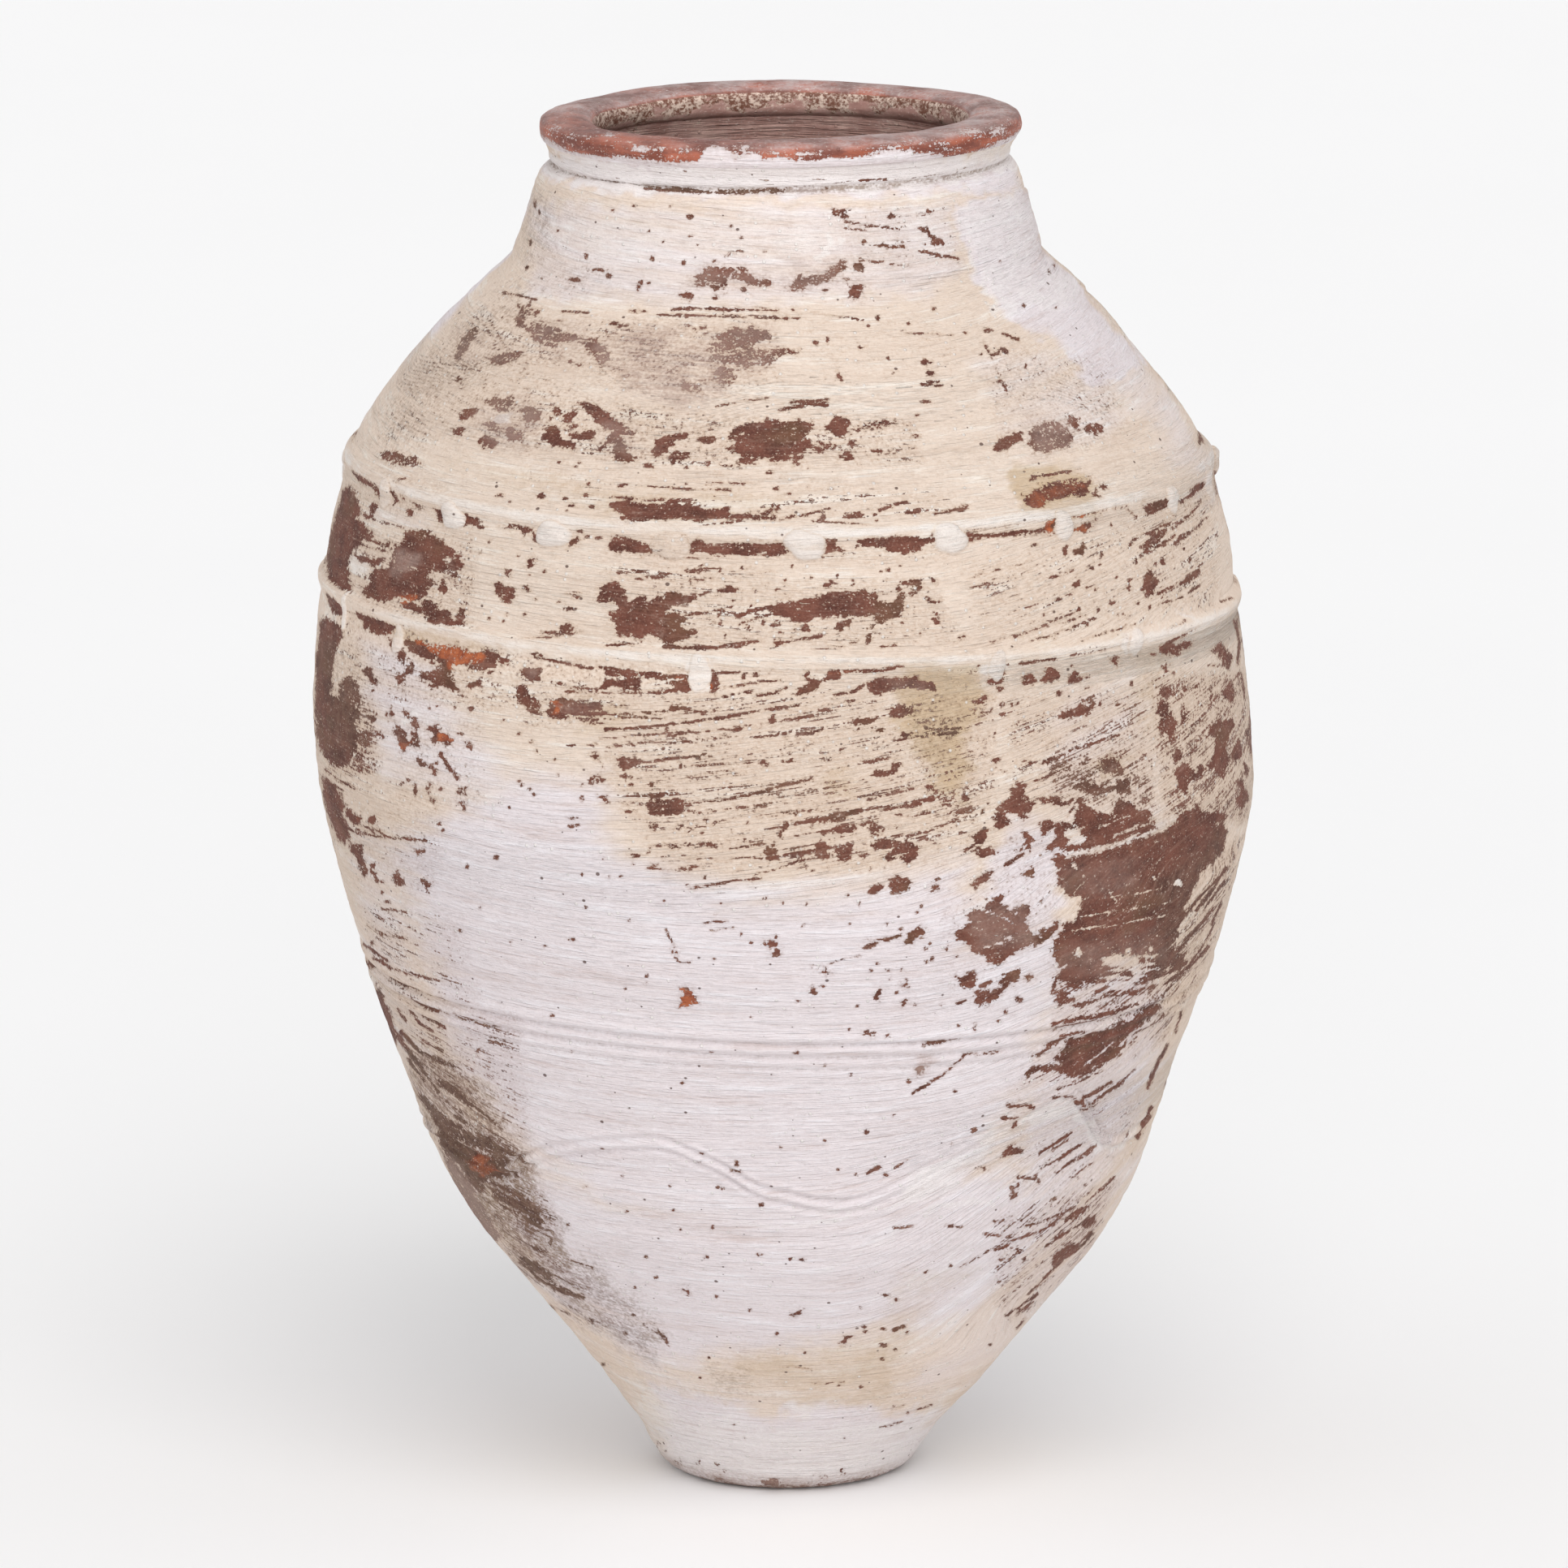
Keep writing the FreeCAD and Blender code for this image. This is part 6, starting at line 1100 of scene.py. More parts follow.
def add_mesh(name, co, quads, tris, fields, psi, inner, uv, normals=None, sharp=None):
    """closed mesh from arrays in mm; uv is per loop, quads then triangles"""
    nq, nt = len(quads), len(tris)
    loops = np.concatenate([quads.ravel(), tris.ravel()]) if nt else quads.ravel()
    me = bpy.data.meshes.new(name)
    me.vertices.add(len(co))
    me.vertices.foreach_set("co", (co * 0.001).astype(np.float32).ravel())
    me.loops.add(len(loops))
    me.loops.foreach_set("vertex_index", loops.astype(np.int32))
    starts = np.concatenate([np.arange(nq) * 4, nq * 4 + np.arange(nt) * 3])
    me.polygons.add(nq + nt)
    me.polygons.foreach_set("loop_start", starts.astype(np.int32))
    me.polygons.foreach_set("use_smooth", np.ones(nq + nt, bool))
    me.update(calc_edges=True)
    lay = me.uv_layers.new(name="OFBake")
    lay.data.foreach_set("uv", uv.astype(np.float32).ravel())
    for k in FIELD_NAMES:
        at = me.attributes.new(k, "FLOAT", "POINT")
        at.data.foreach_set("value", fields[k].astype(np.float32).ravel())
    at = me.attributes.new("psi", "FLOAT", "POINT")
    at.data.foreach_set("value", psi.astype(np.float32).ravel())
    at = me.attributes.new("inner", "FLOAT", "POINT")
    at.data.foreach_set("value", inner.astype(np.float32).ravel())
    if normals is not None:
        me.normals_split_custom_set(normals.astype(np.float32))
    me.validate(verbose=False)
    ob = bpy.data.objects.new(name, me)
    bpy.context.scene.collection.objects.link(ob)
    return ob


def grid_normals(P):
    """unit normals of a (rows, NTH, 3) grid, periodic along columns"""
    du = np.roll(P, -1, 1) - np.roll(P, 1, 1)
    dv = np.empty_like(P)
    dv[1:-1] = P[2:] - P[:-2]
    dv[0] = P[1] - P[0]
    dv[-1] = P[-1] - P[-2]
    n = np.cross(du, dv)
    return n / np.maximum(np.linalg.norm(n, axis=2, keepdims=True), 1e-12)


# the whole outside once, so pieces meet exactly
SEAMS = [16.5, 105.0, 309.2, 541.0, 613.0, 734.0, 791.0, 804.0]
NAMES = ["foot_wall", "lower_wall", "middle_wall", "upper_wall", "shoulder_wall", "neck_wall", "neck_collar"]
rows_z = [SEAMS[0]]
seam_row = [0]
for a, b in zip(SEAMS[:-1], SEAMS[1:]):
    sa, sb = np.interp([a, b], _zd, _sd)
    n = max(3, int(round((sb - sa) / (DS if a < 734 else DS * 0.8))))
    rows_z += list(np.interp(sa + (sb - sa) * (np.arange(1, n + 1) / n), _sd, _zd))
    seam_row.append(len(rows_z) - 1)
rows_z = np.array(rows_z)
OUT_PHI, OUT_Z = np.meshgrid(PHI, rows_z)
OX, OY, OZ = shell_points(OUT_PHI, OUT_Z)
OUT_P = np.stack([OX, OY, OZ], 2)
OUT_N = grid_normals(OUT_P)
OUT_F = surface_fields(OUT_PHI, OUT_Z)
OUT_PSI = psi_at(OUT_PHI, OUT_Z)


def loop_uv(nrows, sizes, scale_rows):
    """returns None; the cylindrical atlas (the circumference cut into strips stacked up the square) is made in
    closed_rings
    """
    return None


def closed_rings(name, rings, outer_mask, fields, psi, inner, normals, poles=(False, False), sharp_rows=()):
    """rings: (n, NTH, 3) round a closed section. Without poles the last ring joins the first."""
    n, m, _ = rings.shape
    co = rings.reshape(-1, 3)
    last = n if not (poles[0] or poles[1]) else n - 1
    i = np.arange(last)
    j = np.arange(m)
    I, J = np.meshgrid(i, j, indexing="ij")
    I2 = (I + 1) % n
    J2 = (J + 1) % m
    quads = np.stack([I * m + J, I * m + J2, I2 * m + J2, I2 * m + J], 2).reshape(-1, 4)
    # strips of the atlas
    seg = np.linalg.norm(np.diff(np.concatenate([rings[:, 0], rings[:1, 0]]), axis=0), axis=1)[:last]
    weight = np.where(outer_mask[I[:, 0]] & outer_mask[I2[:, 0]], 1.0, 0.12)
    cum = np.concatenate([[0], np.cumsum(seg * weight)])
    height = cum[-1]
    girth = 2 * math.pi * float(np.hypot(rings[outer_mask][:, :, 0], rings[outer_mask][:, :, 1]).max())
    strips = max(1, int(round(math.sqrt(girth / max(height, 1e-6)))))
    strips = min(strips, 24)
    per = m / strips
    s = np.minimum((J / per).astype(int), strips - 1)
    pad = 0.004
    x0 = (J - s * per) / per
    x1 = (J + 1 - s * per) / per
    x0 = pad + np.clip(x0, 0, 1) * (1 - 2 * pad)
    x1 = pad + np.clip(x1, 0, 1) * (1 - 2 * pad)
    y0 = (s + pad * strips + cum[I] / height * (1 - 2 * pad * strips)) / strips
    y1 = (s + pad * strips + cum[I + 1] / height * (1 - 2 * pad * strips)) / strips
    uv = np.stack([np.stack([x0, y0], 2), np.stack([x1, y0], 2), np.stack([x1, y1], 2), np.stack([x0, y1], 2)], 2).reshape(-1, 2)
    tris = np.zeros((0, 3), int)
    extra_uv = []
    f = {k: fields[k].reshape(-1) for k in FIELD_NAMES}
    psi = psi.reshape(-1)
    inner = inner.reshape(-1)
    if poles[0] or poles[1]:
        for end, ring in ((0, 0), (1, n - 1)):
            c = rings[ring].mean(0)
            co = np.concatenate([co, c[None]])
            k = len(co) - 1
            base = ring * m
            a = base + np.arange(m)
            b = base + (np.arange(m) + 1) % m
            t = np.stack([b, a, np.full(m, k)], 1) if end == 0 else np.stack([a, b, np.full(m, k)], 1)
            tris = np.concatenate([tris, t])
            extra_uv.append(np.tile(np.array([[0.001, 0.001], [0.003, 0.001], [0.002, 0.003]]), (m, 1)))
            for q in FIELD_NAMES:
                f[q] = np.append(f[q], fields[q][ring].mean())
            psi = np.append(psi, psi[ring * m])
            inner = np.append(inner, inner[ring * m])
        uv = np.concatenate([uv] + extra_uv)
    loop_n = None
    if normals is not None:
        flat = normals.reshape(-1, 3)
        ok = (outer_mask[I] & outer_mask[I2]).reshape(-1)
        loop_n = np.zeros((len(quads) * 4 + len(tris) * 3, 3))
        lq = flat[quads.ravel()].reshape(-1, 4, 3)
        lq[~ok] = 0
        loop_n[:len(quads) * 4] = lq.reshape(-1, 3)
    ob = add_mesh(name, co, quads, tris, f, psi, inner, uv, None)
    me = ob.data
    # section corners are sharp, so inner and joint faces never tint the outside's shading
    ev = np.empty(len(me.edges) * 2, np.int32)
    me.edges.foreach_get("vertices", ev)
    ev = ev.reshape(-1, 2)
    rowi = ev // m
    same = (rowi[:, 0] == rowi[:, 1]) & np.isin(rowi[:, 0], list(sharp_rows))
    sharp = me.attributes.new("sharp_edge", "BOOLEAN", "EDGE")
    sharp.data.foreach_set("value", same)
    if loop_n is not None:
        me.normals_split_custom_set(loop_n.astype(np.float32))
    return ob


def inner_ring(z, proud=0.0):
    """rings of the inside face at heights z, gently ridged by the potter's fingers"""
    P, Z = np.meshgrid(PHI, z)
    r = np.interp(Z, _zi, _ri) + 0.5 * noise2(P, (Z + 6 * P / (2 * math.pi)) / 9.0, 6, 21) \
        * ramp(Z, 60, 120) * (1 - ramp(Z, 790, 799)) - proud
    return np.stack(place(P, r, Z), 2)


def zero_fields(shape, **kw):
    f = {k: np.zeros(shape) for k in FIELD_NAMES}
    f["streak"] += 0.5
    for k, v in kw.items():
        f[k] = f[k] * 0 + v
    return f


IN_Z = {16.5: 27.0, 105.0: 98.0, 309.2: 292.0, 541.0: 519.0, 613.0: 604.5, 734.0: 731.0, 791.0: 783.0, 804.0: 799.5}
made = {}
for k, name in enumerate(NAMES):
    r0, r1 = seam_row[k], seam_row[k + 1]
    outer = OUT_P[r0:r1 + 1]
    za, zb = IN_Z[SEAMS[k]], IN_Z[SEAMS[k + 1]]
    step = (5.0 if za < 600 else 2.5) * 1
    zi = np.linspace(zb, za, max(4, int(abs(zb - za) / step) + 1))
    inn = inner_ring(zi)
    rings = np.concatenate([outer, inn])
    no, ni = len(outer), len(inn)
    mask = np.array([True] * no + [False] * ni)
    f = {q: np.concatenate([OUT_F[q][r0:r1 + 1], np.zeros((ni, NTH)) + (0.5 if q == "streak" else 0)]) for q in FIELD_NAMES}
    psi = np.concatenate([OUT_PSI[r0:r1 + 1], inn[:, :, 2]])
    flag = np.concatenate([np.zeros((no, NTH)), np.ones((ni, NTH))])
    nrm = np.concatenate([OUT_N[r0:r1 + 1], np.zeros((ni, NTH, 3))])
    ob = closed_rings("wash_" + name, rings, mask, f, psi, flag, nrm,
                      sharp_rows=(0, no - 1, no, no + ni - 1))
    made[name] = ob


# ------------------------------------------------------------ foot disc
def foot_disc():
    cx, cz, R = 62.8, 18.4, 18.4
    prof = [(6.0, 0.0), (20.0, 0.0), (36.0, 0.0), (50.0, 0.0), (58.0, 0.0)]
    n = 16
    for a in np.linspace(-90, -36, n):
        prof.append((cx + R * math.cos(math.radians(a)), cz + R * math.sin(math.radians(a))))
    ex, ez = prof[-1]
    for t in np.linspace(0, 1, 9)[1:]:
        prof.append((ex + (83.2 - ex) * t, ez + (16.5 - ez) * t))
    nout = len(prof)
    top = [(66.0, 27.0), (60.0, 24.6), (50.0, 22.9), (38.0, 21.6), (24.0, 21.0), (10.0, 21.0), (4.0, 21.0)]
    pr = np.array(prof + top)
    R_, P_ = pr[:, 0][:, None] + 0 * PHI[None], PHI[None] + 0 * pr[:, 0][:, None]
    Z_ = pr[:, 1][:, None] + 0 * PHI[None]
    # worn, slightly uneven edge: only ever cut away, never below the floor
    wear = 0.9 * np.abs(noise2(P_, Z_ / 7.0, 26, 61)) + 0.5 * np.abs(noise2(P_, Z_ / 4.0, 60, 62))
    along = np.zeros(len(pr))
    along[4:nout] = 1.0
    along[nout - 1] = 0.0
    k = np.arange(len(pr))
    edge = np.where((k > 4) & (k < nout - 1), np.sin(np.clip((k - 4) / (nout - 5), 0, 1) * math.pi) ** 0.7, 0)
    R_ = R_ - wear * edge[:, None] * 0.9
    Z_ = Z_ + wear * edge[:, None] * 0.35
    X, Y, Z_ = place(P_, R_, Z_)
    last = shell_points(PHI, np.full(NTH, 16.5))
    X[nout - 1], Y[nout - 1], Z_[nout - 1] = last
    rings = np.stack([X, Y, Z_], 2)
    # frame pixels of each point for the fields, the far half folded onto the near half
    u, v = project(X, Y, Z_)
    a = np.arctan2(np.sin(P_), np.cos(P_))
    frontal = np.cos(a) > -0.05
    um = np.where(frontal, u, 2 * project(0 * X, 0 * Y, Z_)[0] - u)
    r2 = np.hypot(X, Y)
    uf, vf = project(r2 * np.sin(a), -r2 * np.abs(np.cos(a)), Z_)
    f = px_fields(uf.ravel(), vf.ravel(), np.arcsin(np.sin(a)).ravel())
    f = {q: w.reshape(Z_.shape) for q, w in f.items()}
    under = 1 - ramp(Z_, 1.0, 9.0)
    edge_bare = np.clip(under * 0.40 + 0.26 * (1 - ramp(Z_, 5, 11)) + 0.20 * noise2(P_, Z_ / 4.0, 46, 63), 0, 0.9)
    f["bare"] = np.maximum(f["bare"], edge_bare)
    f["haze"] = np.maximum(f["haze"], 1.0 * (1 - ramp(Z_, 6, 15 + 3 * noise2(P_, 0 * Z_, 14, 66))))
    flag = np.zeros_like(Z_)
    flag[nout:] = 1.0
    for q in ("bare", "haze", "rust"):
        f[q][nout:] = 0
    mask = np.array([True] * nout + [False] * len(top))
    ob = closed_rings("wash_base_disc", rings, mask, f, psi_at(P_, Z_), flag, None,
                      poles=(True, True), sharp_rows=(nout - 1, nout))
    return ob


made["base_disc"] = foot_disc()


# ------------------------------------------------------------ rim roll
def rim_roll():
    # section, going up the outside, over the lip and down the inside
    sec = [(139.3, 804.0), (140.6, 805.2), (141.5, 807.3), (141.9, 810.0), (141.7, 812.8), (140.7, 815.2),
           (138.4, 817.1), (134.4, 818.2), (129.0, 818.7), (124.0, 818.8), (119.2, 818.5), (115.4, 817.6),
           (112.4, 816.0), (110.4, 813.9), (109.5, 811.6), (109.5, 809.0), (109.5, 806.4), (110.2, 804.0),
           (111.8, 801.9), (113.8, 800.4), (116.0, 799.5)]
    s = np.array(sec)
    # finer resample along the section
    d = np.concatenate([[0], np.cumsum(np.hypot(*np.diff(s, axis=0).T))])
    n = 72
    t = np.linspace(0, d[-1], n)
    r = np.interp(t, d, s[:, 0])
    z = np.interp(t, d, s[:, 1])
    k = np.array([1, 2, 3, 2, 1.0]); k /= k.sum()
    r[2:-2] = np.convolve(r, k, "valid")
    z[2:-2] = np.convolve(z, k, "valid")
    P_, T_ = np.meshgrid(PHI, t)
    R_ = r[:, None] + 0 * P_
    Z_ = z[:, None] + 0 * P_
    tan = np.stack([np.gradient(r), np.gradient(z)], 1)
    tan /= np.linalg.norm(tan, axis=1, keepdims=True)
    nr, nz = tan[:, 1], -tan[:, 0]
    hold = np.sin(np.clip(np.minimum(t, d[-1] - t) / 5.0, 0, 1) * math.pi / 2)[:, None]
    bump = 0.55 * noise2(P_, T_ / 17.0, 16, 51) + 0.34 * noise2(P_, T_ / 6.0, 42, 52) + 0.16 * noise2(P_, T_ / 2.6, 120, 53)
    bump = bump + 0.5 * np.sin(2 * P_ + 0.7) * np.sin(T_ / d[-1] * math.pi)
    R_ = R_ + nr[:, None] * bump * hold
    Z_ = Z_ + nz[:, None] * bump * hold
    # dips and dents of the lip seen in the photograph
    a = np.degrees(np.arctan2(np.sin(P_), np.cos(P_)))

    def dent(at, width, depth):
        w = np.exp(-((a - at) / width) ** 2) + np.exp(-((a - at - 360) / width) ** 2) + np.exp(-((a - at + 360) / width) ** 2)
        return depth * w
    top = np.sin(np.clip((T_ - d[2]) / (d[-4] - d[2]), 0, 1) * math.pi)
    Z_ = Z_ - top * (dent(-128, 13, 1.9) + dent(-62, 10, 0.7) + dent(35, 14, 0.5) + dent(150, 16, 0.8))
    Z_ = Z_ + top * dent(-100, 14, 0.5)
    X, Y, Z_ = place(P_, R_, Z_)
    X[0], Y[0], Z_[0] = OUT_P[-1][:, 0], OUT_P[-1][:, 1], OUT_P[-1][:, 2]
    ir = inner_ring(np.array([799.5]))[0]
    X[-1], Y[-1], Z_[-1] = ir[:, 0], ir[:, 1], ir[:, 2]
    rings = np.stack([X, Y, Z_], 2)
    f = zero_fields(Z_.shape)
    # along-section coordinate decides what each part of the roll shows
    out_face = 1 - ramp(T_, d[4], d[6])
    in_face = ramp(T_, d[12], d[14])
    lip = (1 - out_face) * (1 - in_face)
    u, v = project(X, Y, Z_)
    near = np.cos(P_) > 0.0
    # the wash was brushed up over the lower half of the roll; its upper edge is ragged
    ex = [600, 640, 674, 699, 731, 767, 785, 827, 860, 868, 896, 905, 928, 940, 955, 1015, 1076, 1090, 1125, 1175, 1203, 1239, 1257, 1300]
    ey = [140, 158, 172, 186, 191, 193, 196, 200, 199, 184, 184, 196, 187, 196, 196, 196, 195, 188, 186, 193, 186, 173, 161, 140]
    front = 0.5 + np.clip((np.interp(u, ex, ey) - v) / 13.0, -0.46, 0.36)
    behind = 0.5 + np.clip((T_ - d[2] - 1.5 - 1.5 * noise2(P_, 0 * T_, 11, 58)) / 8.0, -0.42, 0.36)
    side = ramp(np.cos(P_), 0.0, 0.25)
    bare = behind * (1 - side) + front * side
    bare = np.where(T_ > d[6], 0.84, np.minimum(bare, 0.775))
    flecks = np.zeros_like(T_)
    for x, y, w, h, q in ((752, 166, 10, 3, .45), (790, 184, 13, 5, .48), (880, 184, 11, 6, .52), (918, 183, 8, 6, .46),
                          (846, 186, 12, 4, .30), (945, 190, 14, 4, .34), (1085, 187, 18, 6, .36), (1140, 176, 40, 7, .26),
                          (1165, 182, 26, 6, .30), (700, 166, 30, 8, .20), (1000, 190, 30, 4, .22),
                          (686, 158, 10, 8, .26), (1225, 158, 24, 14, .24), (1190, 162, 40, 10, .22)):
        flecks = np.maximum(flecks, q * np.exp(-(((u - x) / w) ** 2 + ((v - y) / h) ** 2)))
    flecks = np.maximum(flecks, 0.34 * ramp(u, 820, 900) * (1 - 0.75 * ramp(u, 1110, 1190)) * out_face * np.clip(1.3 * noise2(P_, T_ / 4.5, 64, 57), 0, 1))
    f["bare"] = np.clip(bare - np.where(near, flecks, 0.18 * np.clip(noise2(P_, T_ / 9.0, 18, 59), 0, 1)), 0, 1)
    f["cool"] = 0.8 + 0 * T_
    left = ramp(-np.sin(P_), -0.35, 0.45)
    f["rust"] = 0.30 * left * out_face + 0.14 * noise2(P_, T_ / 12.0, 12, 54)
    f["glow"] = 1.0 + 0 * T_
    f["haze"] = np.clip(0.10 * out_face + 0.95 * lip * (1 - ramp(-Y * 0 + np.cos(P_ + 0.9), 0.6, 1.0) * 0.6)
                        + 0.16 * noise2(P_, T_ / 10.0, 10, 55), 0, 1)
    f["haze"] = f["haze"] * (1 - in_face)
    f["rust"] = np.maximum(f["rust"], np.where(near, 0, 0.9 * np.exp(-(((u - 866) / 20) ** 2 + ((v - 122) / 9) ** 2))))
    f["thick"] = 0 * T_
    flag = in_face
    psi = T_ + 0 * P_ + 300.0
    mask = np.ones(n, bool)
    ob = closed_rings("wash_rim_ring", rings, mask, f, psi, flag, None, sharp_rows=(0, n - 1))
    return ob


made["rim_ring"] = rim_roll()


# ------------------------------------------------------------ raised bands
def cordon(name, z0, h_below, h_above, crest, fall, seed, under=2.6):
    """a low ridge lying on the wall, feathered into it at both edges"""
    span = h_below + h_above
    n = 30
    q = np.linspace(-h_below, h_above, n)
    P_, Q_ = np.meshgrid(PHI, q)
    mid = z0 + 0.8 * noise2(P_, 0 * Q_, 9, seed) + 0.35 * noise2(P_, 0 * Q_, 26, seed + 1)
    size = crest * (1 + 0.16 * noise2(P_, 0 * Q_, 17, seed + 2))
    t = np.where(Q_ < 0, Q_ / h_below, Q_ / h_above)
    # crest nearer the lower edge, steep below it
    prof = np.where(Q_ < 0, (0.5 + 0.5 * np.cos(np.pi * np.clip(-t, 0, 1))) ** fall, (0.5 + 0.5 * np.cos(np.pi * np.clip(t, 0, 1))) ** 0.8)
    h = size * prof + 0.12 * noise2(P_, Q_ / 3.0, 60, seed + 3) * prof - 0.45 * (1 - prof)
    Zs = mid + Q_
    top = np.stack(shell_points(P_, Zs, h), 2)
    low = np.stack(shell_points(P_[::-1], Zs[::-1], np.zeros_like(h) - under), 2)
    low = low[::max(1, n // 8)]
    keep = np.arange(len(low))
    rings = np.concatenate([top, low])
    mask = np.array([True] * n + [False] * len(low))
    fo = surface_fields(P_, Zs)
    f = {k: np.concatenate([fo[k], np.zeros((len(low), NTH))]) for k in FIELD_NAMES}
    # the crest keeps a thick rubbed ridge of wash, made whiter as a painted highlight on its lit top; its underside is
    # worn
    crest_highlight = np.clip(prof, 0, 1) ** 2
    f["bare"][:n] = np.clip(f["bare"][:n] * (1 - 0.55 * crest_highlight * (Q_ > -h_below * .5)), 0, 1)
    f["thick"][:n] = np.maximum(f["thick"][:n], 0.62 * crest_highlight * np.clip(0.7 + 0.7 * noise2(P_, Q_ / 6, 22, seed + 4), 0, 1))
    psi = np.concatenate([psi_at(P_, Zs), low[:, :, 2]])
    flag = np.concatenate([np.zeros((n, NTH)), np.ones((len(low), NTH))])
    ob = closed_rings(name, rings, mask, f, psi, flag, None, sharp_rows=(0, n - 1, n, n + len(low) - 1))

    def height(phi, z):
        """how far the ridge stands proud there"""
        qq = z - z0
        tt = np.where(qq < 0, qq / h_below, qq / h_above)
        pr = np.where(qq < 0, (0.5 + 0.5 * np.cos(np.pi * np.clip(-tt, 0, 1))) ** fall, (0.5 + 0.5 * np.cos(np.pi * np.clip(tt, 0, 1))) ** 0.8)
        return np.where((qq > -h_below) & (qq < h_above), crest * pr, 0.0)
    return ob, height


made["shoulder_cordon"], H_SHOULDER = cordon("wash_shoulder_cordon", 612.6, 7.5, 9.5, 2.5, 0.55, 81)
made["belly_cordon"], H_BELLY = cordon("wash_belly_cordon", 540.6, 9.5, 7.0, 3.3, 0.75, 91)


# ------------------------------------------------------------ beads and tabs
def lumps(name, items, height_under, seed):
    """clay pats pressed on a band: each a dome whose skirt sinks into what carries it"""
    rng = np.random.default_rng(seed)
    co, quads, tris, uv = [], [], [], []
    fs = {k: [] for k in FIELD_NAMES}
    psis, flags = [], []
    na, nr = ((44, 14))
    cells = int(math.ceil(math.sqrt(len(items))))
    count = 0
    for idx, (deg, z, w, h, H, lean, white) in enumerate(items):
        a0 = math.radians(deg)
        ang = np.arange(na) / na * 2 * math.pi
        rho = np.linspace(0, 1.28, nr + 1)[1:]
        A, R = np.meshgrid(ang, rho)
        wob = 1 + 0.10 * np.sin(2 * A + rng.uniform(0, 6)) + 0.07 * np.sin(3 * A + rng.uniform(0, 6)) + 0.04 * np.sin(5 * A + rng.uniform(0, 6))
        tx = R * w * wob * np.cos(A)
        tz = R * h * wob * np.sin(A)
        tx, tz = tx + lean * tz, tz
        rr = float(r_out(z))
        ph = a0 + tx / rr
        zz = z + tz
        dome = np.where(R < 1, np.clip(1 - R ** 2.3, 0, 1) ** 0.72, 0.0)
        rough = 0.30 * noise2(ph * 40 % (2 * math.pi), zz / 2.6, 26, seed + idx) * (R < 1)
        top_h = H * dome + rough * dome - 0.55 * ramp(R, 0.93, 1.28)
        base = height_under(ph, zz)
        P = np.stack(shell_points(ph, zz, base + top_h), 2)
        c_top = np.stack(shell_points(np.array([a0]), np.array([z]), height_under(np.array([a0]), np.array([z])) + H), 1)[0]
        back = np.stack(shell_points(ph[-1], zz[-1], base[-1] - 2.4), 1)
        c_back = np.stack(shell_points(np.array([a0]), np.array([z]), np.array([-2.4])), 1)[0]
        start = count
        pts = np.concatenate([P.reshape(-1, 3), back, c_top[None], c_back[None]])
        nR = nr + 1  # rings with the back ring
        i = np.arange(nR - 1)
        I, J = np.meshgrid(i, np.arange(na), indexing="ij")
        J2 = (J + 1) % na
        q = np.stack([I * na + J, (I + 1) * na + J, (I + 1) * na + J2, I * na + J2], 2).reshape(-1, 4)
        ct, cb = nR * na, nR * na + 1
        j = np.arange(na)
        t1 = np.stack([np.full(na, ct), j, (j + 1) % na], 1)
        t2 = np.stack([np.full(na, cb), (nR - 1) * na + (j + 1) % na, (nR - 1) * na + j], 1)
        cellx, celly = idx % cells, idx // cells

        def cell_uv(u_, v_):
            return np.stack([(cellx + 0.5 + 0.46 * u_) / cells, (celly + 0.5 + 0.46 * v_) / cells], -1)
        ru = np.concatenate([R, np.full((1, na), 1.36)]) / 1.40
        AA = np.concatenate([A, A[:1]])
        U, Vv = ru * np.cos(AA), ru * np.sin(AA)
        Uf = np.concatenate([U.ravel(), [0.0, 0.99]])
        Vf = np.concatenate([Vv.ravel(), [0.0, 0.99]])
        co.append(pts)
        quads.append(q + start)
        tris.append(np.concatenate([t1, t2]) + start)
        uv.append((cell_uv(Uf[q.ravel()], Vf[q.ravel()]), cell_uv(Uf[np.concatenate([t1, t2]).ravel()], Vf[np.concatenate([t1, t2]).ravel()])))
        pa = np.concatenate([ph.ravel(), ph[-1], [a0, a0]])
        za = np.concatenate([zz.ravel(), zz[-1], [z, z]])
        f = surface_fields(pa, za)
        Rf = np.concatenate([R.ravel(), np.full(na, 1.36), [0.0, 0.0]])
        on = 1 - ramp(Rf, 0.80, 1.12)
        f["bare"] = f["bare"] * (1 - on) + on * (0.20 + 0.10 * (1 - white))
        f["thick"] = np.maximum(f["thick"] * (1 - on), on * white * 0.80)
        f["rust"] = f["rust"] * (1 - on)
        for k in FIELD_NAMES:
            fs[k].append(f[k])
        psis.append(psi_at(pa, za))
        flags.append(np.concatenate([np.zeros(P.shape[0] * na), np.ones(na), [0.0, 1.0]]))
        count += len(pts)
    quads = np.concatenate(quads)
    tris_all = np.concatenate(tris)
    uv_all = np.concatenate([a for a, _ in uv] + [b for _, b in uv])
    co = np.concatenate(co)
    f = {k: np.concatenate(v) for k, v in fs.items()}
    return add_mesh(name, co, quads, tris_all, f, np.concatenate(psis), np.concatenate(flags), uv_all)


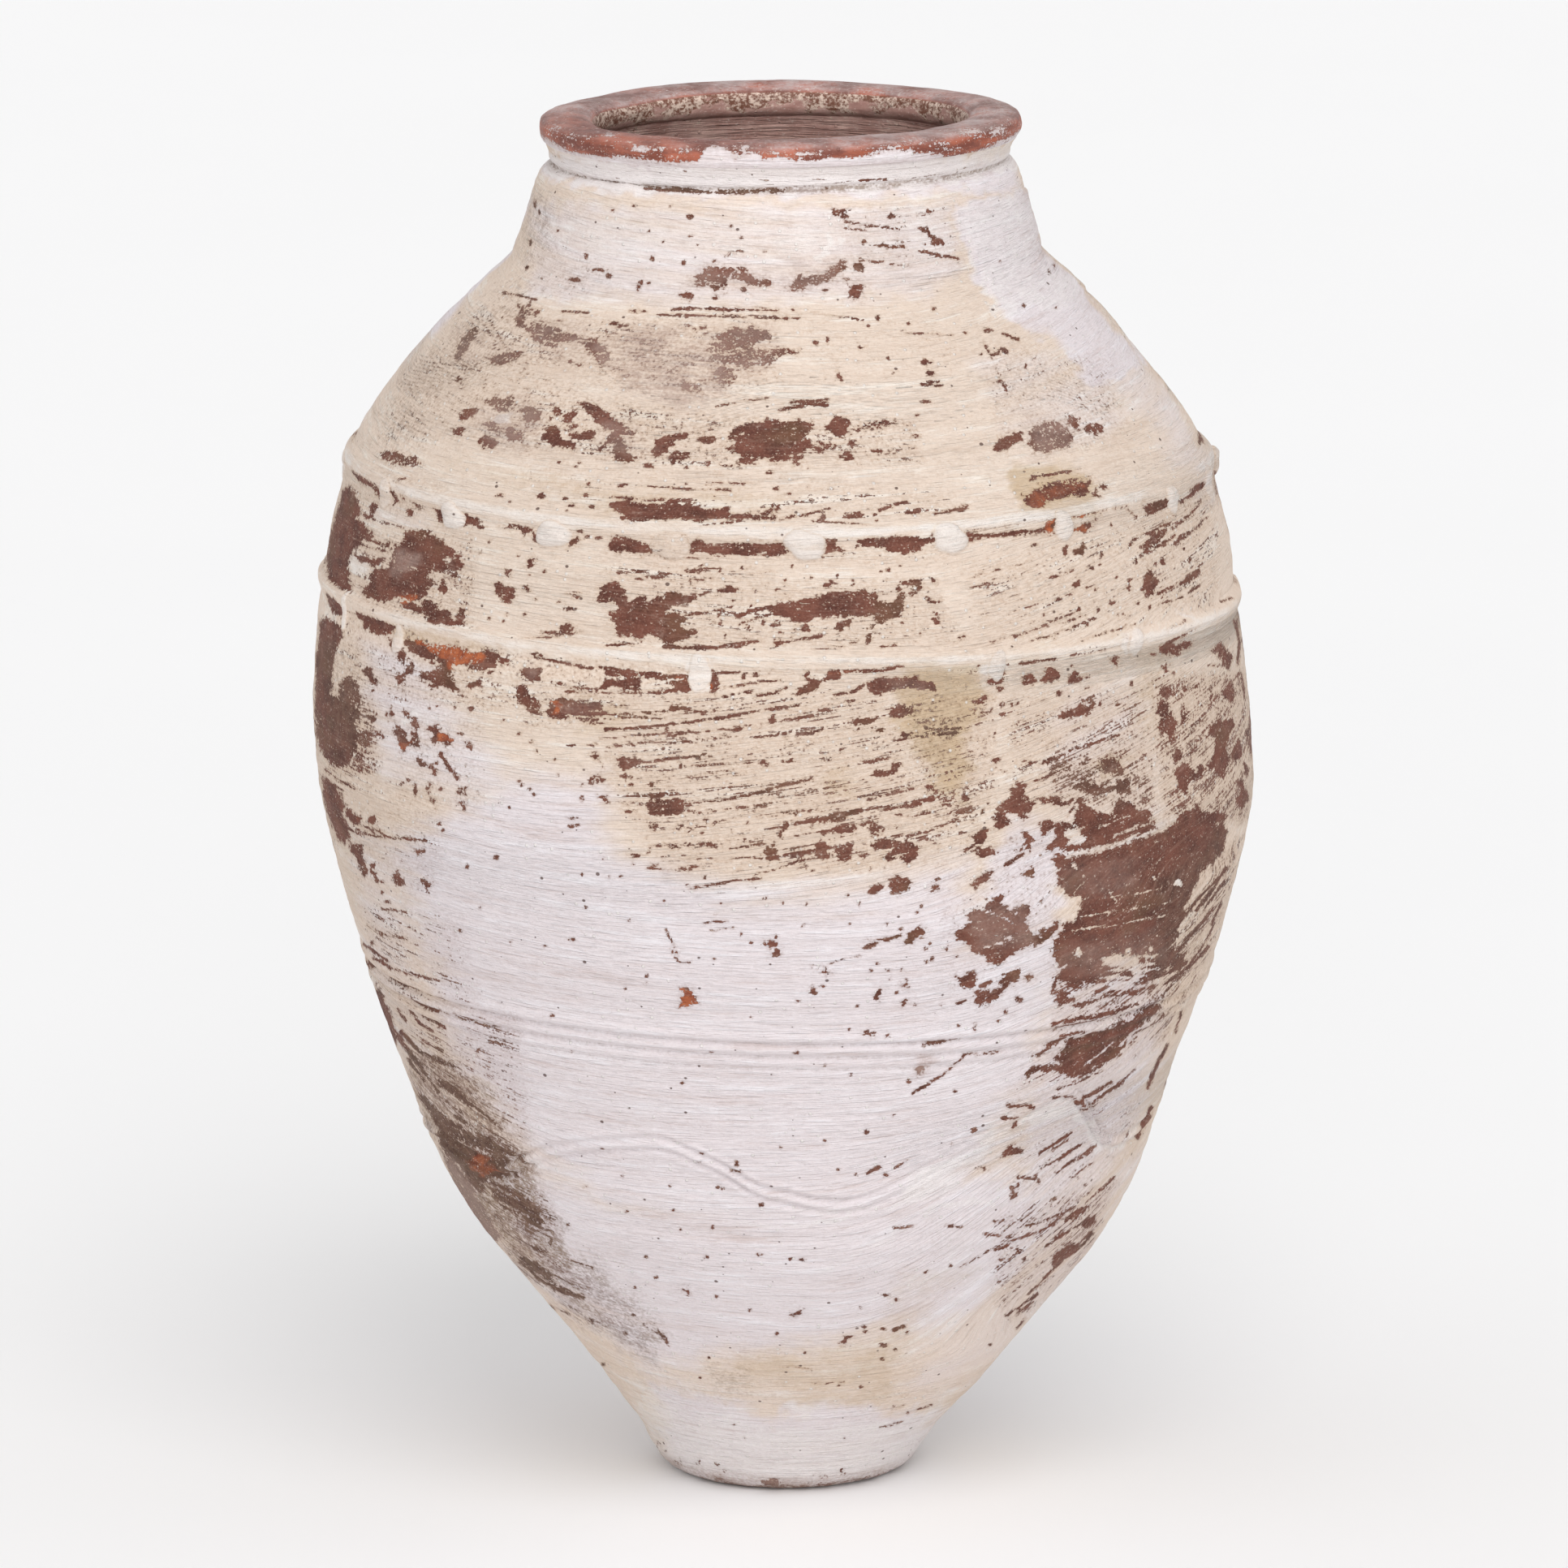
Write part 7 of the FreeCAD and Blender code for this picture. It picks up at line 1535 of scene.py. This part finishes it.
# bearing, z, half width, half height, proud, lean, whiteness
_px_beads = [(480, 610, 8.5, 8.5, 2.6, .6), (562, 637, 11.0, 7.4, 4.6, .9), (683, 659, 13.5, 7.0, 4.8, 1), (828, 673, 11.5, 8.5, 3.6, .45),
             (992, 672, 12.0, 8.5, 5.4, .95), (1170, 664, 11.0, 8.2, 5.0, .95), (1309, 648, 7.5, 8.0, 4.2, .9), (1441, 616, 6.5, 8.5, 3.2, .8)]
beads = []
for x, y, w, h, H, white in _px_beads:
    a, z = on_jar(x, y)
    beads.append((math.degrees(a), z, w, h, H, 0.0, white))
_rng = np.random.default_rng(5)
for b in (77.6, 95.4, 113.1, 130.5, 148.6, 166.2, 184.1, 202.0, 219.6, 237.4, 255.2, 272.8):
    flat = 0.42 if b in (77.6, 272.8) else 1.0
    beads.append((b, 605.0 + _rng.uniform(-1.2, 1.2), _rng.uniform(8.5, 11.5), _rng.uniform(7.8, 9.0),
                  flat * _rng.uniform(3.6, 5.2), _rng.uniform(-.1, .1), _rng.uniform(.5, 1)))
made["shoulder_beads"] = lumps("wash_shoulder_beads", beads, H_SHOULDER, 101)
_px_tabs = [(430, 752, 4.5, 11, 1.6, .9), (494, 788, 5.0, 10, 1.8, .7), (862, 830, 6.5, 12.5, 1.7, .85),
            (1227, 820, 6.5, 8.5, 1.9, .8), (1395, 792, 6.5, 8.5, 2.0, .9)]
tabs = []
for x, y, w, h, H, white in _px_tabs:
    a, z = on_jar(x, y)
    tabs.append((math.degrees(a), z, w, h, H, 0.12, white))
for b in (96.0, 141.0, 183.0, 224.0, 262.0):
    tabs.append((b, 534.0 + _rng.uniform(-1, 1), _rng.uniform(4.5, 7), _rng.uniform(9, 12.5), _rng.uniform(1.5, 2.2),
                 _rng.uniform(-.15, .15), _rng.uniform(.5, .9)))
made["belly_tabs"] = lumps("wash_belly_tabs", tabs, H_BELLY, 141)


# =====================================================================
# Material
# =====================================================================
def srgb(r, g, b):
    def f(c):
        c /= 255.0
        return c / 12.92 if c <= 0.04045 else ((c + 0.055) / 1.055) ** 2.4
    return (f(r), f(g), f(b), 1.0)


class Net:
    def __init__(self, mat):
        mat.use_nodes = True
        self.t = mat.node_tree
        self.t.nodes.clear()

    def node(self, kind, **props):
        n = self.t.nodes.new(kind)
        for k, v in props.items():
            setattr(n, k, v)
        return n

    def put(self, sock, val):
        if isinstance(val, bpy.types.NodeSocket):
            self.t.links.new(val, sock)
        else:
            sock.default_value = val

    def attr(self, name):
        n = self.node("ShaderNodeAttribute", attribute_name=name, attribute_type="GEOMETRY")
        return n.outputs["Fac"]

    def math(self, op, a, b=0.0, c=0.0, clamp=False):
        n = self.node("ShaderNodeMath", operation=op, use_clamp=clamp)
        self.put(n.inputs[0], a)
        self.put(n.inputs[1], b)
        if len(n.inputs) > 2:
            self.put(n.inputs[2], c)
        return n.outputs[0]

    def madd(self, a, k, c=0.0):
        return self.math("MULTIPLY_ADD", a, k, c)

    def step(self, x, lo, hi):
        n = self.node("ShaderNodeMapRange", interpolation_type="SMOOTHSTEP", clamp=True)
        self.put(n.inputs["Value"], x)
        self.put(n.inputs["From Min"], lo)
        self.put(n.inputs["From Max"], hi)
        n.inputs["To Min"].default_value = 0.0
        n.inputs["To Max"].default_value = 1.0
        return n.outputs[0]

    def mix(self, fac, a, b, mode="MIX"):
        n = self.node("ShaderNodeMix", data_type="RGBA", blend_type=mode, clamp_factor=True)
        self.put(n.inputs[0], fac)
        self.put(n.inputs[6], a)
        self.put(n.inputs[7], b)
        return n.outputs[2]

    def mixf(self, fac, a, b):
        n = self.node("ShaderNodeMix", data_type="FLOAT", clamp_factor=True)
        self.put(n.inputs[0], fac)
        self.put(n.inputs[2], a)
        self.put(n.inputs[3], b)
        return n.outputs[0]

    def noise(self, vec, scale=1.0, detail=2.0, rough=0.5, dist=0.0, lac=2.0):
        n = self.node("ShaderNodeTexNoise", noise_dimensions="3D", normalize=True)
        self.put(n.inputs["Vector"], vec)
        n.inputs["Scale"].default_value = scale
        n.inputs["Detail"].default_value = detail
        n.inputs["Roughness"].default_value = rough
        n.inputs["Lacunarity"].default_value = lac
        n.inputs["Distortion"].default_value = dist
        # centred, about -1..1
        return self.madd(n.outputs["Fac"], 3.6, -1.8)

    def cells(self, vec, scale, rand=1.0, feature="F1"):
        n = self.node("ShaderNodeTexVoronoi", voronoi_dimensions="3D", feature=feature)
        self.put(n.inputs["Vector"], vec)
        n.inputs["Scale"].default_value = scale
        n.inputs["Randomness"].default_value = rand
        return n


ALBEDO = 0.85


def build_material(name, inside_only=False):
    m = bpy.data.materials.new(name)
    g = Net(m)
    tc = g.node("ShaderNodeTexCoord")
    obj = tc.outputs["Object"]           # metres, in the jar's own frame
    sep = g.node("ShaderNodeSeparateXYZ")
    g.put(sep.inputs[0], obj)
    X, Y, Z = sep.outputs
    psi = g.attr("psi")                  # mm across the strokes

    def stroke_vec(along, across, off=0.0):
        c = g.node("ShaderNodeCombineXYZ")
        g.put(c.inputs[0], g.madd(X, 1000.0 / along, off))
        g.put(c.inputs[1], g.madd(Y, 1000.0 / along, off * 0.7))
        g.put(c.inputs[2], g.madd(psi, 1.0 / across, off * 1.3))
        return c.outputs[0]

    def flat_vec(size_h, size_v, off=0.0):
        c = g.node("ShaderNodeCombineXYZ")
        g.put(c.inputs[0], g.madd(X, 1000.0 / size_h, off))
        g.put(c.inputs[1], g.madd(Y, 1000.0 / size_h, off))
        g.put(c.inputs[2], g.madd(Z, 1000.0 / size_v, off))
        return c.outputs[0]

    bare, streak, cool, thick = g.attr("bare"), g.attr("streak"), g.attr("cool"), g.attr("thick")
    ochre, haze, grime_and_shade, rust = g.attr("ochre"), g.attr("haze"), g.attr("grime_and_shade"), g.attr("rust")
    inner = g.attr("inner")

    # ---- brush and flake noises
    s_long = g.noise(stroke_vec(44.0, 2.3), detail=3.0, rough=0.62)
    s_fine = g.noise(stroke_vec(15.0, 0.95, 3.1), detail=2.5, rough=0.6)
    s_wide = g.noise(stroke_vec(120.0, 9.0, 7.7), detail=2.0, rough=0.5)
    rag = g.noise(flat_vec(5.2, 3.9, 1.9), detail=5.0, rough=0.70)
    rag_mid = g.noise(flat_vec(15.0, 9.5, 14.0), detail=3.0, rough=0.55)
    rag_big = g.noise(flat_vec(42.0, 26.0, 5.0), detail=3.0, rough=0.55)
    speck = g.noise(flat_vec(2.0, 1.6, 11.0), detail=2.0, rough=0.6)
    grain = g.noise(flat_vec(1.4, 1.2, 31.0), detail=3.0, rough=0.65)

    streaks = g.math("ADD", g.madd(s_long, 1.35), g.madd(s_fine, 1.25))
    streaks = g.math("ADD", streaks, g.madd(s_wide, 0.70))
    flakes = g.math("ADD", g.madd(rag, 1.25), g.madd(speck, 1.75))
    flakes = g.math("ADD", flakes, g.madd(rag_mid, 0.75))
    n_mix = g.mixf(streak, g.math("ADD", g.madd(flakes, 0.92), g.madd(streaks, 0.22)),
                   g.math("ADD", g.madd(streaks, 0.80), g.madd(flakes, 0.45)))
    amp = g.mixf(g.step(bare, 0.05, 0.20), 0.130, 0.225)
    amp = g.mixf(g.step(bare, 0.60, 0.85), amp, 0.235)
    v = g.math("ADD", bare, g.math("MULTIPLY", n_mix, amp))
    v = g.math("ADD", v, g.madd(rag_big, 0.05))
    # single bristle scratches where the wash is worn
    scratch = g.noise(stroke_vec(40.0, 1.25, 23.0), detail=3.0, rough=0.7)
    v = g.math("ADD", v, g.math("MULTIPLY", g.madd(g.step(scratch, 0.40, 0.80), 0.17),
                                g.math("MULTIPLY", g.step(bare, 0.08, 0.22), g.step(bare, 0.75, 0.5))))
    # and bristle marks of wash left inside the bare patches
    v = g.math("SUBTRACT", v, g.math("MULTIPLY", g.madd(g.step(scratch, -0.45, -0.85), 0.26), g.step(bare, 0.45, 0.7)))
    comb_m = g.attr("comb")
    comb_l = g.math("MULTIPLY", g.math("SINE", g.madd(g.attr("combq"), 2 * math.pi / 1.95)), comb_m)
    v = g.math("ADD", v, g.madd(g.step(g.math("MULTIPLY", comb_l, -1.0), 0.2, 0.9), 0.15))
    thick_n = g.step(g.math("ADD", thick, g.math("ADD", g.madd(rag_mid, 0.16), g.madd(streaks, 0.10))), 0.22, 0.85)
    v = g.math("SUBTRACT", v, g.madd(thick_n, 0.22))
    clay = g.step(v, 0.485, 0.515)                 # 1 = bare clay

    # ---- bare clay
    mott = g.noise(flat_vec(17.0, 11.0, 21.0), detail=5.0, rough=0.62)
    c_dark, c_mid, c_light = srgb(88, 50, 41), srgb(124, 76, 62), srgb(156, 116, 100)
    clay_col = g.mix(g.step(mott, -0.75, 0.55), c_dark, c_mid)
    clay_col = g.mix(g.math("MULTIPLY", g.step(grain, 0.0, 1.0), 0.55), clay_col, c_light)
    clay_col = g.mix(g.math("MULTIPLY", g.step(grain, 0.1, -0.9), 0.45), clay_col, srgb(66, 38, 32))
    rust_n = g.step(g.math("ADD", rust, g.madd(mott, 0.22)), 0.25, 0.75)
    rust_col = g.mix(g.step(rag, -0.5, 0.7), srgb(140, 70, 46), srgb(196, 112, 70))
    clay_col = g.mix(g.math("MULTIPLY", g.step(rag_big, 0.05, 0.8), 0.45), clay_col, srgb(116, 88, 64))
    # the grime field darkens the bare clay: real grime in the listed patches, painted shade along the grooves
    clay_col = g.mix(g.math("MULTIPLY", g.step(grime_and_shade, 0.05, 0.55), 0.72), clay_col,
                     g.mix(g.step(rag, -0.6, 0.5), srgb(74, 54, 44), srgb(118, 96, 80)))
    clay_col = g.mix(g.math("MULTIPLY", g.step(scratch, 0.10, 0.80), 0.42), clay_col, srgb(156, 120, 104))
    clay_col = g.mix(g.math("MULTIPLY", g.step(g.math("ADD", g.madd(rag, 0.7), g.madd(s_fine, 0.6)), -0.15, -1.0), 0.55), clay_col, srgb(76, 44, 36))
    clay_col = g.mix(rust_n, clay_col, rust_col)
    # rubbed film of wash left in the clay's pores
    film_n = g.math("ADD", g.madd(rag_mid, 0.55), g.math("ADD", g.madd(s_fine, 0.35), g.madd(speck, 0.45)))
    clay_col = g.mix(g.math("MULTIPLY", g.step(film_n, 0.10, 0.95), 0.62), clay_col, srgb(168, 138, 124))
    film = g.math("MULTIPLY", haze, g.step(film_n, -1.1, 0.35))
    clay_col = g.mix(g.math("MULTIPLY", film, 0.70), clay_col, srgb(178, 153, 142))
    # the rim: handled, redder clay with pale mauve rubbing
    rim = g.step(g.attr("glow"), 0.1, 0.35)
    rim_n = g.noise(flat_vec(30.0, 9.0, 61.0), detail=5.0, rough=0.65)
    rim_col = g.mix(g.step(rim_n, -0.55, 0.55), srgb(116, 58, 44), srgb(180, 92, 60))
    rim_col = g.mix(g.math("MULTIPLY", g.step(speck, -0.3, -1.2), 0.55), rim_col, srgb(96, 54, 46))
    rim_col = g.mix(g.math("MULTIPLY", g.step(g.math("ADD", g.madd(rag, 0.8), g.madd(speck, 0.7)), 0.38, 0.85), 0.80), rim_col, srgb(218, 194, 188))
    rim_col = g.mix(g.math("MULTIPLY", haze, g.step(film_n, -1.2, 0.7)), rim_col,
                    g.mix(g.step(rim_n, -0.7, 0.5), srgb(140, 110, 103), srgb(196, 180, 178)))
    clay_col = g.mix(rim, clay_col, rim_col)
    edge_film = g.step(v, 0.60, 0.50)
    clay_col = g.mix(g.math("MULTIPLY", edge_film, 0.40), clay_col, srgb(146, 108, 92))
    crumbs = g.step(g.math("ADD", speck, g.math("ADD", g.madd(rag, 0.30), g.madd(scratch, 0.22))), 0.58, 0.76)
    clay_col = g.mix(g.math("MULTIPLY", crumbs, 0.70), clay_col, srgb(208, 190, 176))

    # ---- wash: colour follows its thickness
    coolness = g.step(g.math("ADD", cool, g.madd(s_wide, 0.16)), 0.12, 0.80)
    w_thick = g.mix(coolness, srgb(248, 234, 220), srgb(249, 241, 244))
    w_mid = g.mix(coolness, srgb(236, 217, 201), srgb(237, 227, 229))
    w_thin = g.mix(coolness, srgb(216, 192, 172), srgb(217, 203, 203))
    w_halo = g.mix(coolness, srgb(158, 124, 103), srgb(166, 138, 128))
    wash = g.mix(g.step(v, -0.24, 0.08), w_thick, w_mid)
    wash = g.mix(g.math("MULTIPLY", g.step(v, 0.12, 0.38), 0.85), wash, w_thin)
    wash = g.mix(g.math("MULTIPLY", g.step(v, 0.39, 0.495), 0.62), wash, w_halo)
    tone = g.math("ADD", g.madd(s_long, 0.55), g.math("ADD", g.madd(s_wide, 0.42), g.madd(s_fine, 0.38)))
    tone = g.math("ADD", tone, g.madd(rag_mid, 0.18))
    wash = g.mix(g.math("MULTIPLY", g.step(tone, 0.02, 0.65), 0.72), wash, g.mix(coolness, srgb(254, 246, 236), srgb(251, 247, 251)))
    wash = g.mix(g.math("MULTIPLY", g.step(tone, -0.05, -0.75), 0.72), wash, g.mix(coolness, srgb(221, 198, 179), srgb(219, 202, 199)))
    wash = g.mix(g.math("MULTIPLY", g.step(grain, 0.1, 1.0), 0.22), wash, srgb(190, 164, 148))
    wash = g.mix(g.math("MULTIPLY", g.step(grain, -0.1, -1.0), 0.30), wash, srgb(250, 243, 238))
    hair = g.step(g.noise(stroke_vec(26.0, 0.55, 17.0), detail=2.0, rough=0.55), 0.80, 1.0)
    wash = g.mix(g.math("MULTIPLY", hair, g.mixf(g.step(v, -0.1, 0.3), 0.10, 0.55)), wash, srgb(134, 104, 86))
    och = g.step(g.math("ADD", ochre, g.math("ADD", g.madd(rag_big, 0.16), g.math("ADD", g.madd(rag, 0.12), g.madd(tone, 0.12)))), 0.12, 0.92)
    wash = g.mix(g.math("MULTIPLY", och, 0.70), wash, g.mix(0.5, wash, srgb(196, 164, 122)))
    wash = g.mix(g.math("MULTIPLY", och, 0.45), wash, srgb(205, 178, 140))
    wash = g.mix(g.math("MULTIPLY", thick_n, 0.60), wash, srgb(250, 243, 239))
    # dark grime over the wash: real grime in the listed patches, painted shade along the grooves
    dirt_n = g.math("ADD", g.madd(rag, 0.75), g.math("ADD", g.madd(speck, 0.55), g.madd(streaks, 0.28)))
    dirt_and_shade = g.math("MULTIPLY", g.step(grime_and_shade, 0.0, 0.85), g.step(g.math("ADD", dirt_n, g.madd(grime_and_shade, 0.9, -0.45)), -0.55, 0.75))
    wash = g.mix(g.math("MULTIPLY", dirt_and_shade, 0.82), wash, g.mix(g.step(rag_big, -0.4, 0.4), srgb(142, 116, 92), srgb(134, 106, 92)))
    haze_w = g.math("MULTIPLY", haze, g.step(g.math("ADD", film_n, g.madd(s_long, 0.5)), -0.9, 0.7))
    wash = g.mix(g.math("MULTIPLY", haze_w, 0.72), wash, srgb(176, 148, 136))

    # tiny raised grains of lime and pin-hole losses
    dots = g.cells(obj, 210.0)
    dsel = g.node("ShaderNodeSeparateColor")
    g.put(dsel.inputs[0], dots.outputs["Color"])
    lime = g.math("MULTIPLY", g.step(dots.outputs["Distance"], 0.26, 0.14), g.step(dsel.outputs[0], 0.80, 0.84))
    wash = g.mix(g.math("MULTIPLY", lime, 0.7), wash, srgb(246, 241, 236))
    pins = g.cells(flat_vec(8.2, 6.5, 3.0), 1.0)
    psel = g.node("ShaderNodeSeparateColor")
    g.put(psel.inputs[0], pins.outputs["Color"])
    pin_r = g.madd(psel.outputs[1], 0.10, 0.06)
    pin = g.math("MULTIPLY", g.step(g.math("SUBTRACT", pins.outputs["Distance"], pin_r), 0.03, -0.03),
                 g.step(psel.outputs[0], 0.905, 0.91))
    pin2 = g.cells(flat_vec(4.1, 3.2, 9.0), 1.0)
    psel2 = g.node("ShaderNodeSeparateColor")
    g.put(psel2.inputs[0], pin2.outputs["Color"])
    pin2_r = g.madd(psel2.outputs[1], 0.09, 0.07)
    pin = g.math("MAXIMUM", pin, g.math("MULTIPLY", g.step(g.math("SUBTRACT", pin2.outputs["Distance"], pin2_r), 0.05, -0.05),
                                        g.step(psel2.outputs[0], 0.955, 0.965)))
    wash = g.mix(g.math("MULTIPLY", pin, 0.85), wash, srgb(96, 70, 62))

    outside = g.mix(clay, wash, clay_col)

    # ---- inside: sooty clay in a lightened colour, painted light where little lamp light reaches into the mouth; lime crust below the lip
    in_n = g.noise(flat_vec(22.0, 14.0, 41.0), detail=6.0, rough=0.62)
    in_col_painted_light = g.mix(g.step(in_n, -0.8, 0.9), srgb(176, 134, 124), srgb(224, 188, 176))
    in_col_painted_light = g.mix(g.math("MULTIPLY", g.step(g.math("ADD", speck, g.madd(s_fine, 0.6)), 0.3, 1.1), 0.65), in_col_painted_light, srgb(236, 218, 208))
    crust_n = g.math("ADD", g.madd(Z, 1000.0 / 9.0, -806.5 / 9.0), g.math("ADD", g.madd(in_n, 1.9), g.madd(rag, 0.85)))
    crust = g.step(crust_n, -0.30, 0.18)
    crust_n2 = g.math("ADD", g.madd(rag, 0.9), g.madd(speck, 0.6))
    crust_col = g.mix(g.step(crust_n2, -0.30, 0.50), srgb(126, 84, 68), srgb(226, 202, 186))
    in_col_painted_light = g.mix(crust, in_col_painted_light, crust_col)
    base = g.mix(g.step(inner, 0.45, 0.55), outside, in_col_painted_light)
    base = g.mix(1.0, base, (ALBEDO, ALBEDO, ALBEDO, 1.0), "MULTIPLY")

    # ---- relief
    paint = g.math("SUBTRACT", 1.0, clay)
    thickness = g.math("MULTIPLY", g.step(v, 0.52, 0.30), 0.9)
    h = g.math("ADD", g.madd(thickness, 0.00026), g.madd(paint, 0.00018))
    h = g.math("ADD", h, g.madd(g.math("MULTIPLY", s_fine, paint), 0.00030))
    h = g.math("ADD", h, g.madd(g.math("MULTIPLY", s_long, paint), 0.00056))
    h = g.math("ADD", h, g.madd(s_wide, 0.00040))
    h = g.math("ADD", h, g.madd(grain, 0.00005))
    h = g.math("ADD", h, g.madd(rag, 0.00010))
    h = g.math("ADD", h, g.madd(comb_l, 0.00040))
    h = g.math("ADD", h, g.madd(hair, -0.00015))
    h = g.math("ADD", h, g.madd(lime, 0.00045))
    h = g.math("ADD", h, g.madd(pin, -0.0004))
    h = g.math("ADD", h, g.madd(g.math("MULTIPLY", g.step(thick, 0.2, 0.6), rag), 0.00030))
    bump = g.node("ShaderNodeBump")
    bump.inputs["Strength"].default_value = 1.0
    bump.inputs["Distance"].default_value = 1.0
    g.put(bump.inputs["Height"], h)

    rough = g.mixf(clay, 0.93, 0.82)
    rough = g.mixf(g.math("MULTIPLY", rust_n, 0.6), rough, 0.70)
    rough = g.mixf(g.math("MULTIPLY", rim, clay), rough, 0.50)
    bs = g.node("ShaderNodeBsdfPrincipled")
    g.put(bs.inputs["Base Color"], base)
    g.put(bs.inputs["Roughness"], rough)
    bs.inputs["Specular IOR Level"].default_value = 0.28
    g.put(bs.inputs["Normal"], bump.outputs[0])
    out = g.node("ShaderNodeOutputMaterial")
    g.t.links.new(bs.outputs[0], out.inputs[0])
    return m


WASHED = build_material("worn_limewash_on_terracotta")

for name, ob in made.items():
    ob.data.materials.append(WASHED)
    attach(ob, "root")
    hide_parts(name)


# =====================================================================
# Floor, light, camera
# =====================================================================
def floor():
    me = bpy.data.meshes.new("studio_floor")
    s = 30.0
    me.from_pydata([(-s, -s, 0), (s, -s, 0), (s, s, 0), (-s, s, 0)], [], [(0, 1, 2, 3)])
    ob = bpy.data.objects.new("studio_floor", me)
    bpy.context.scene.collection.objects.link(ob)
    m = bpy.data.materials.new("studio_floor_white")
    g = Net(m)
    bs = g.node("ShaderNodeBsdfPrincipled")
    tc = g.node("ShaderNodeTexCoord")
    n = g.noise(tc.outputs["Object"], scale=1.5, detail=2.0)
    col = g.mix(g.step(n, -1.5, 1.5), (0.93, 0.93, 0.93, 1), (0.94, 0.94, 0.94, 1))
    g.put(bs.inputs["Base Color"], col)
    bs.inputs["Roughness"].default_value = 1.0
    bs.inputs["Specular IOR Level"].default_value = 0.0
    out = g.node("ShaderNodeOutputMaterial")
    g.t.links.new(bs.outputs[0], out.inputs[0])
    me.materials.append(m)
    return ob


floor()


def sun(name, azimuth, elevation, strength, spread, color=(1, 1, 1)):
    """a broad soft source; azimuth 0 is behind the camera, positive towards +X"""
    li = bpy.data.lights.new(name, "SUN")
    li.energy = strength
    li.angle = math.radians(spread)
    li.color = color
    ob = bpy.data.objects.new(name, li)
    bpy.context.scene.collection.objects.link(ob)
    a, e = math.radians(azimuth), math.radians(elevation)
    way = Vector((math.cos(e) * math.sin(a), -math.cos(e) * math.cos(a), math.sin(e)))
    ob.location = way * 6.0
    ob.rotation_euler = way.to_track_quat("Z", "Y").to_euler()
    return ob


sun("key", 14.0, 50.0, 0.95, 38.0)
sun("second", -44.0, 55.0, 0.22, 60.0)
sun("third", 62.0, 42.0, 0.10, 60.0)
sun("low_front", 2.0, 12.0, 0.73, 40.0)


def mouth_light():
    """a narrow soft beam over the front lip, so the inside of the mouth is not black"""
    li = bpy.data.lights.new("mouth_light", "SPOT")
    li.energy = 15.0
    li.spot_size = math.radians(13.0)
    li.spot_blend = 0.6
    li.shadow_soft_size = 0.10
    ob = bpy.data.objects.new("mouth_light", li)
    bpy.context.scene.collection.objects.link(ob)
    ob.location = (0.0, -0.95, 1.26)
    way = Vector((0.0, -0.95, 1.26)) - Vector((0.0, 0.11, 0.80))
    ob.rotation_euler = way.to_track_quat("Z", "Y").to_euler()


mouth_light()

world = bpy.data.worlds.new("studio")
bpy.context.scene.world = world
world.use_nodes = True
_bg = world.node_tree.nodes["Background"]
_tc = world.node_tree.nodes.new("ShaderNodeTexCoord")
_sep = world.node_tree.nodes.new("ShaderNodeSeparateXYZ")
_map = world.node_tree.nodes.new("ShaderNodeMapRange")
_map.interpolation_type = "SMOOTHSTEP"
for _i, _val in ((1, 0.20), (2, 0.42), (3, 0.94), (4, 0.61)):
    _map.inputs[_i].default_value = _val
world.node_tree.links.new(_tc.outputs["Generated"], _sep.inputs[0])
world.node_tree.links.new(_sep.outputs["Z"], _map.inputs[0])
world.node_tree.links.new(_map.outputs[0], _bg.inputs[1])
_bg.inputs[0].default_value = (1.0, 0.995, 1.0, 1)

vs = bpy.context.scene.view_settings
vs.view_transform = "Standard"
vs.look = "None"
vs.exposure = 0.0
vs.gamma = 1.0

cam = bpy.data.cameras.new("camera")
cam.sensor_width = 36.0
cam.sensor_fit = "HORIZONTAL"
cam.lens = F_PX / W * 36.0
cam.clip_start = 0.5
cam.clip_end = 100.0
co = bpy.data.objects.new("camera", cam)
bpy.context.scene.collection.objects.link(co)
co.matrix_world = Matrix.Translation(Vector(CAM_POS * 0.001)) @ Matrix.Rotation(math.pi / 2 - CAM_PITCH, 4, "X") \
    @ Matrix.Rotation(-CAM_ROLL, 4, "Z")
bpy.context.scene.camera = co
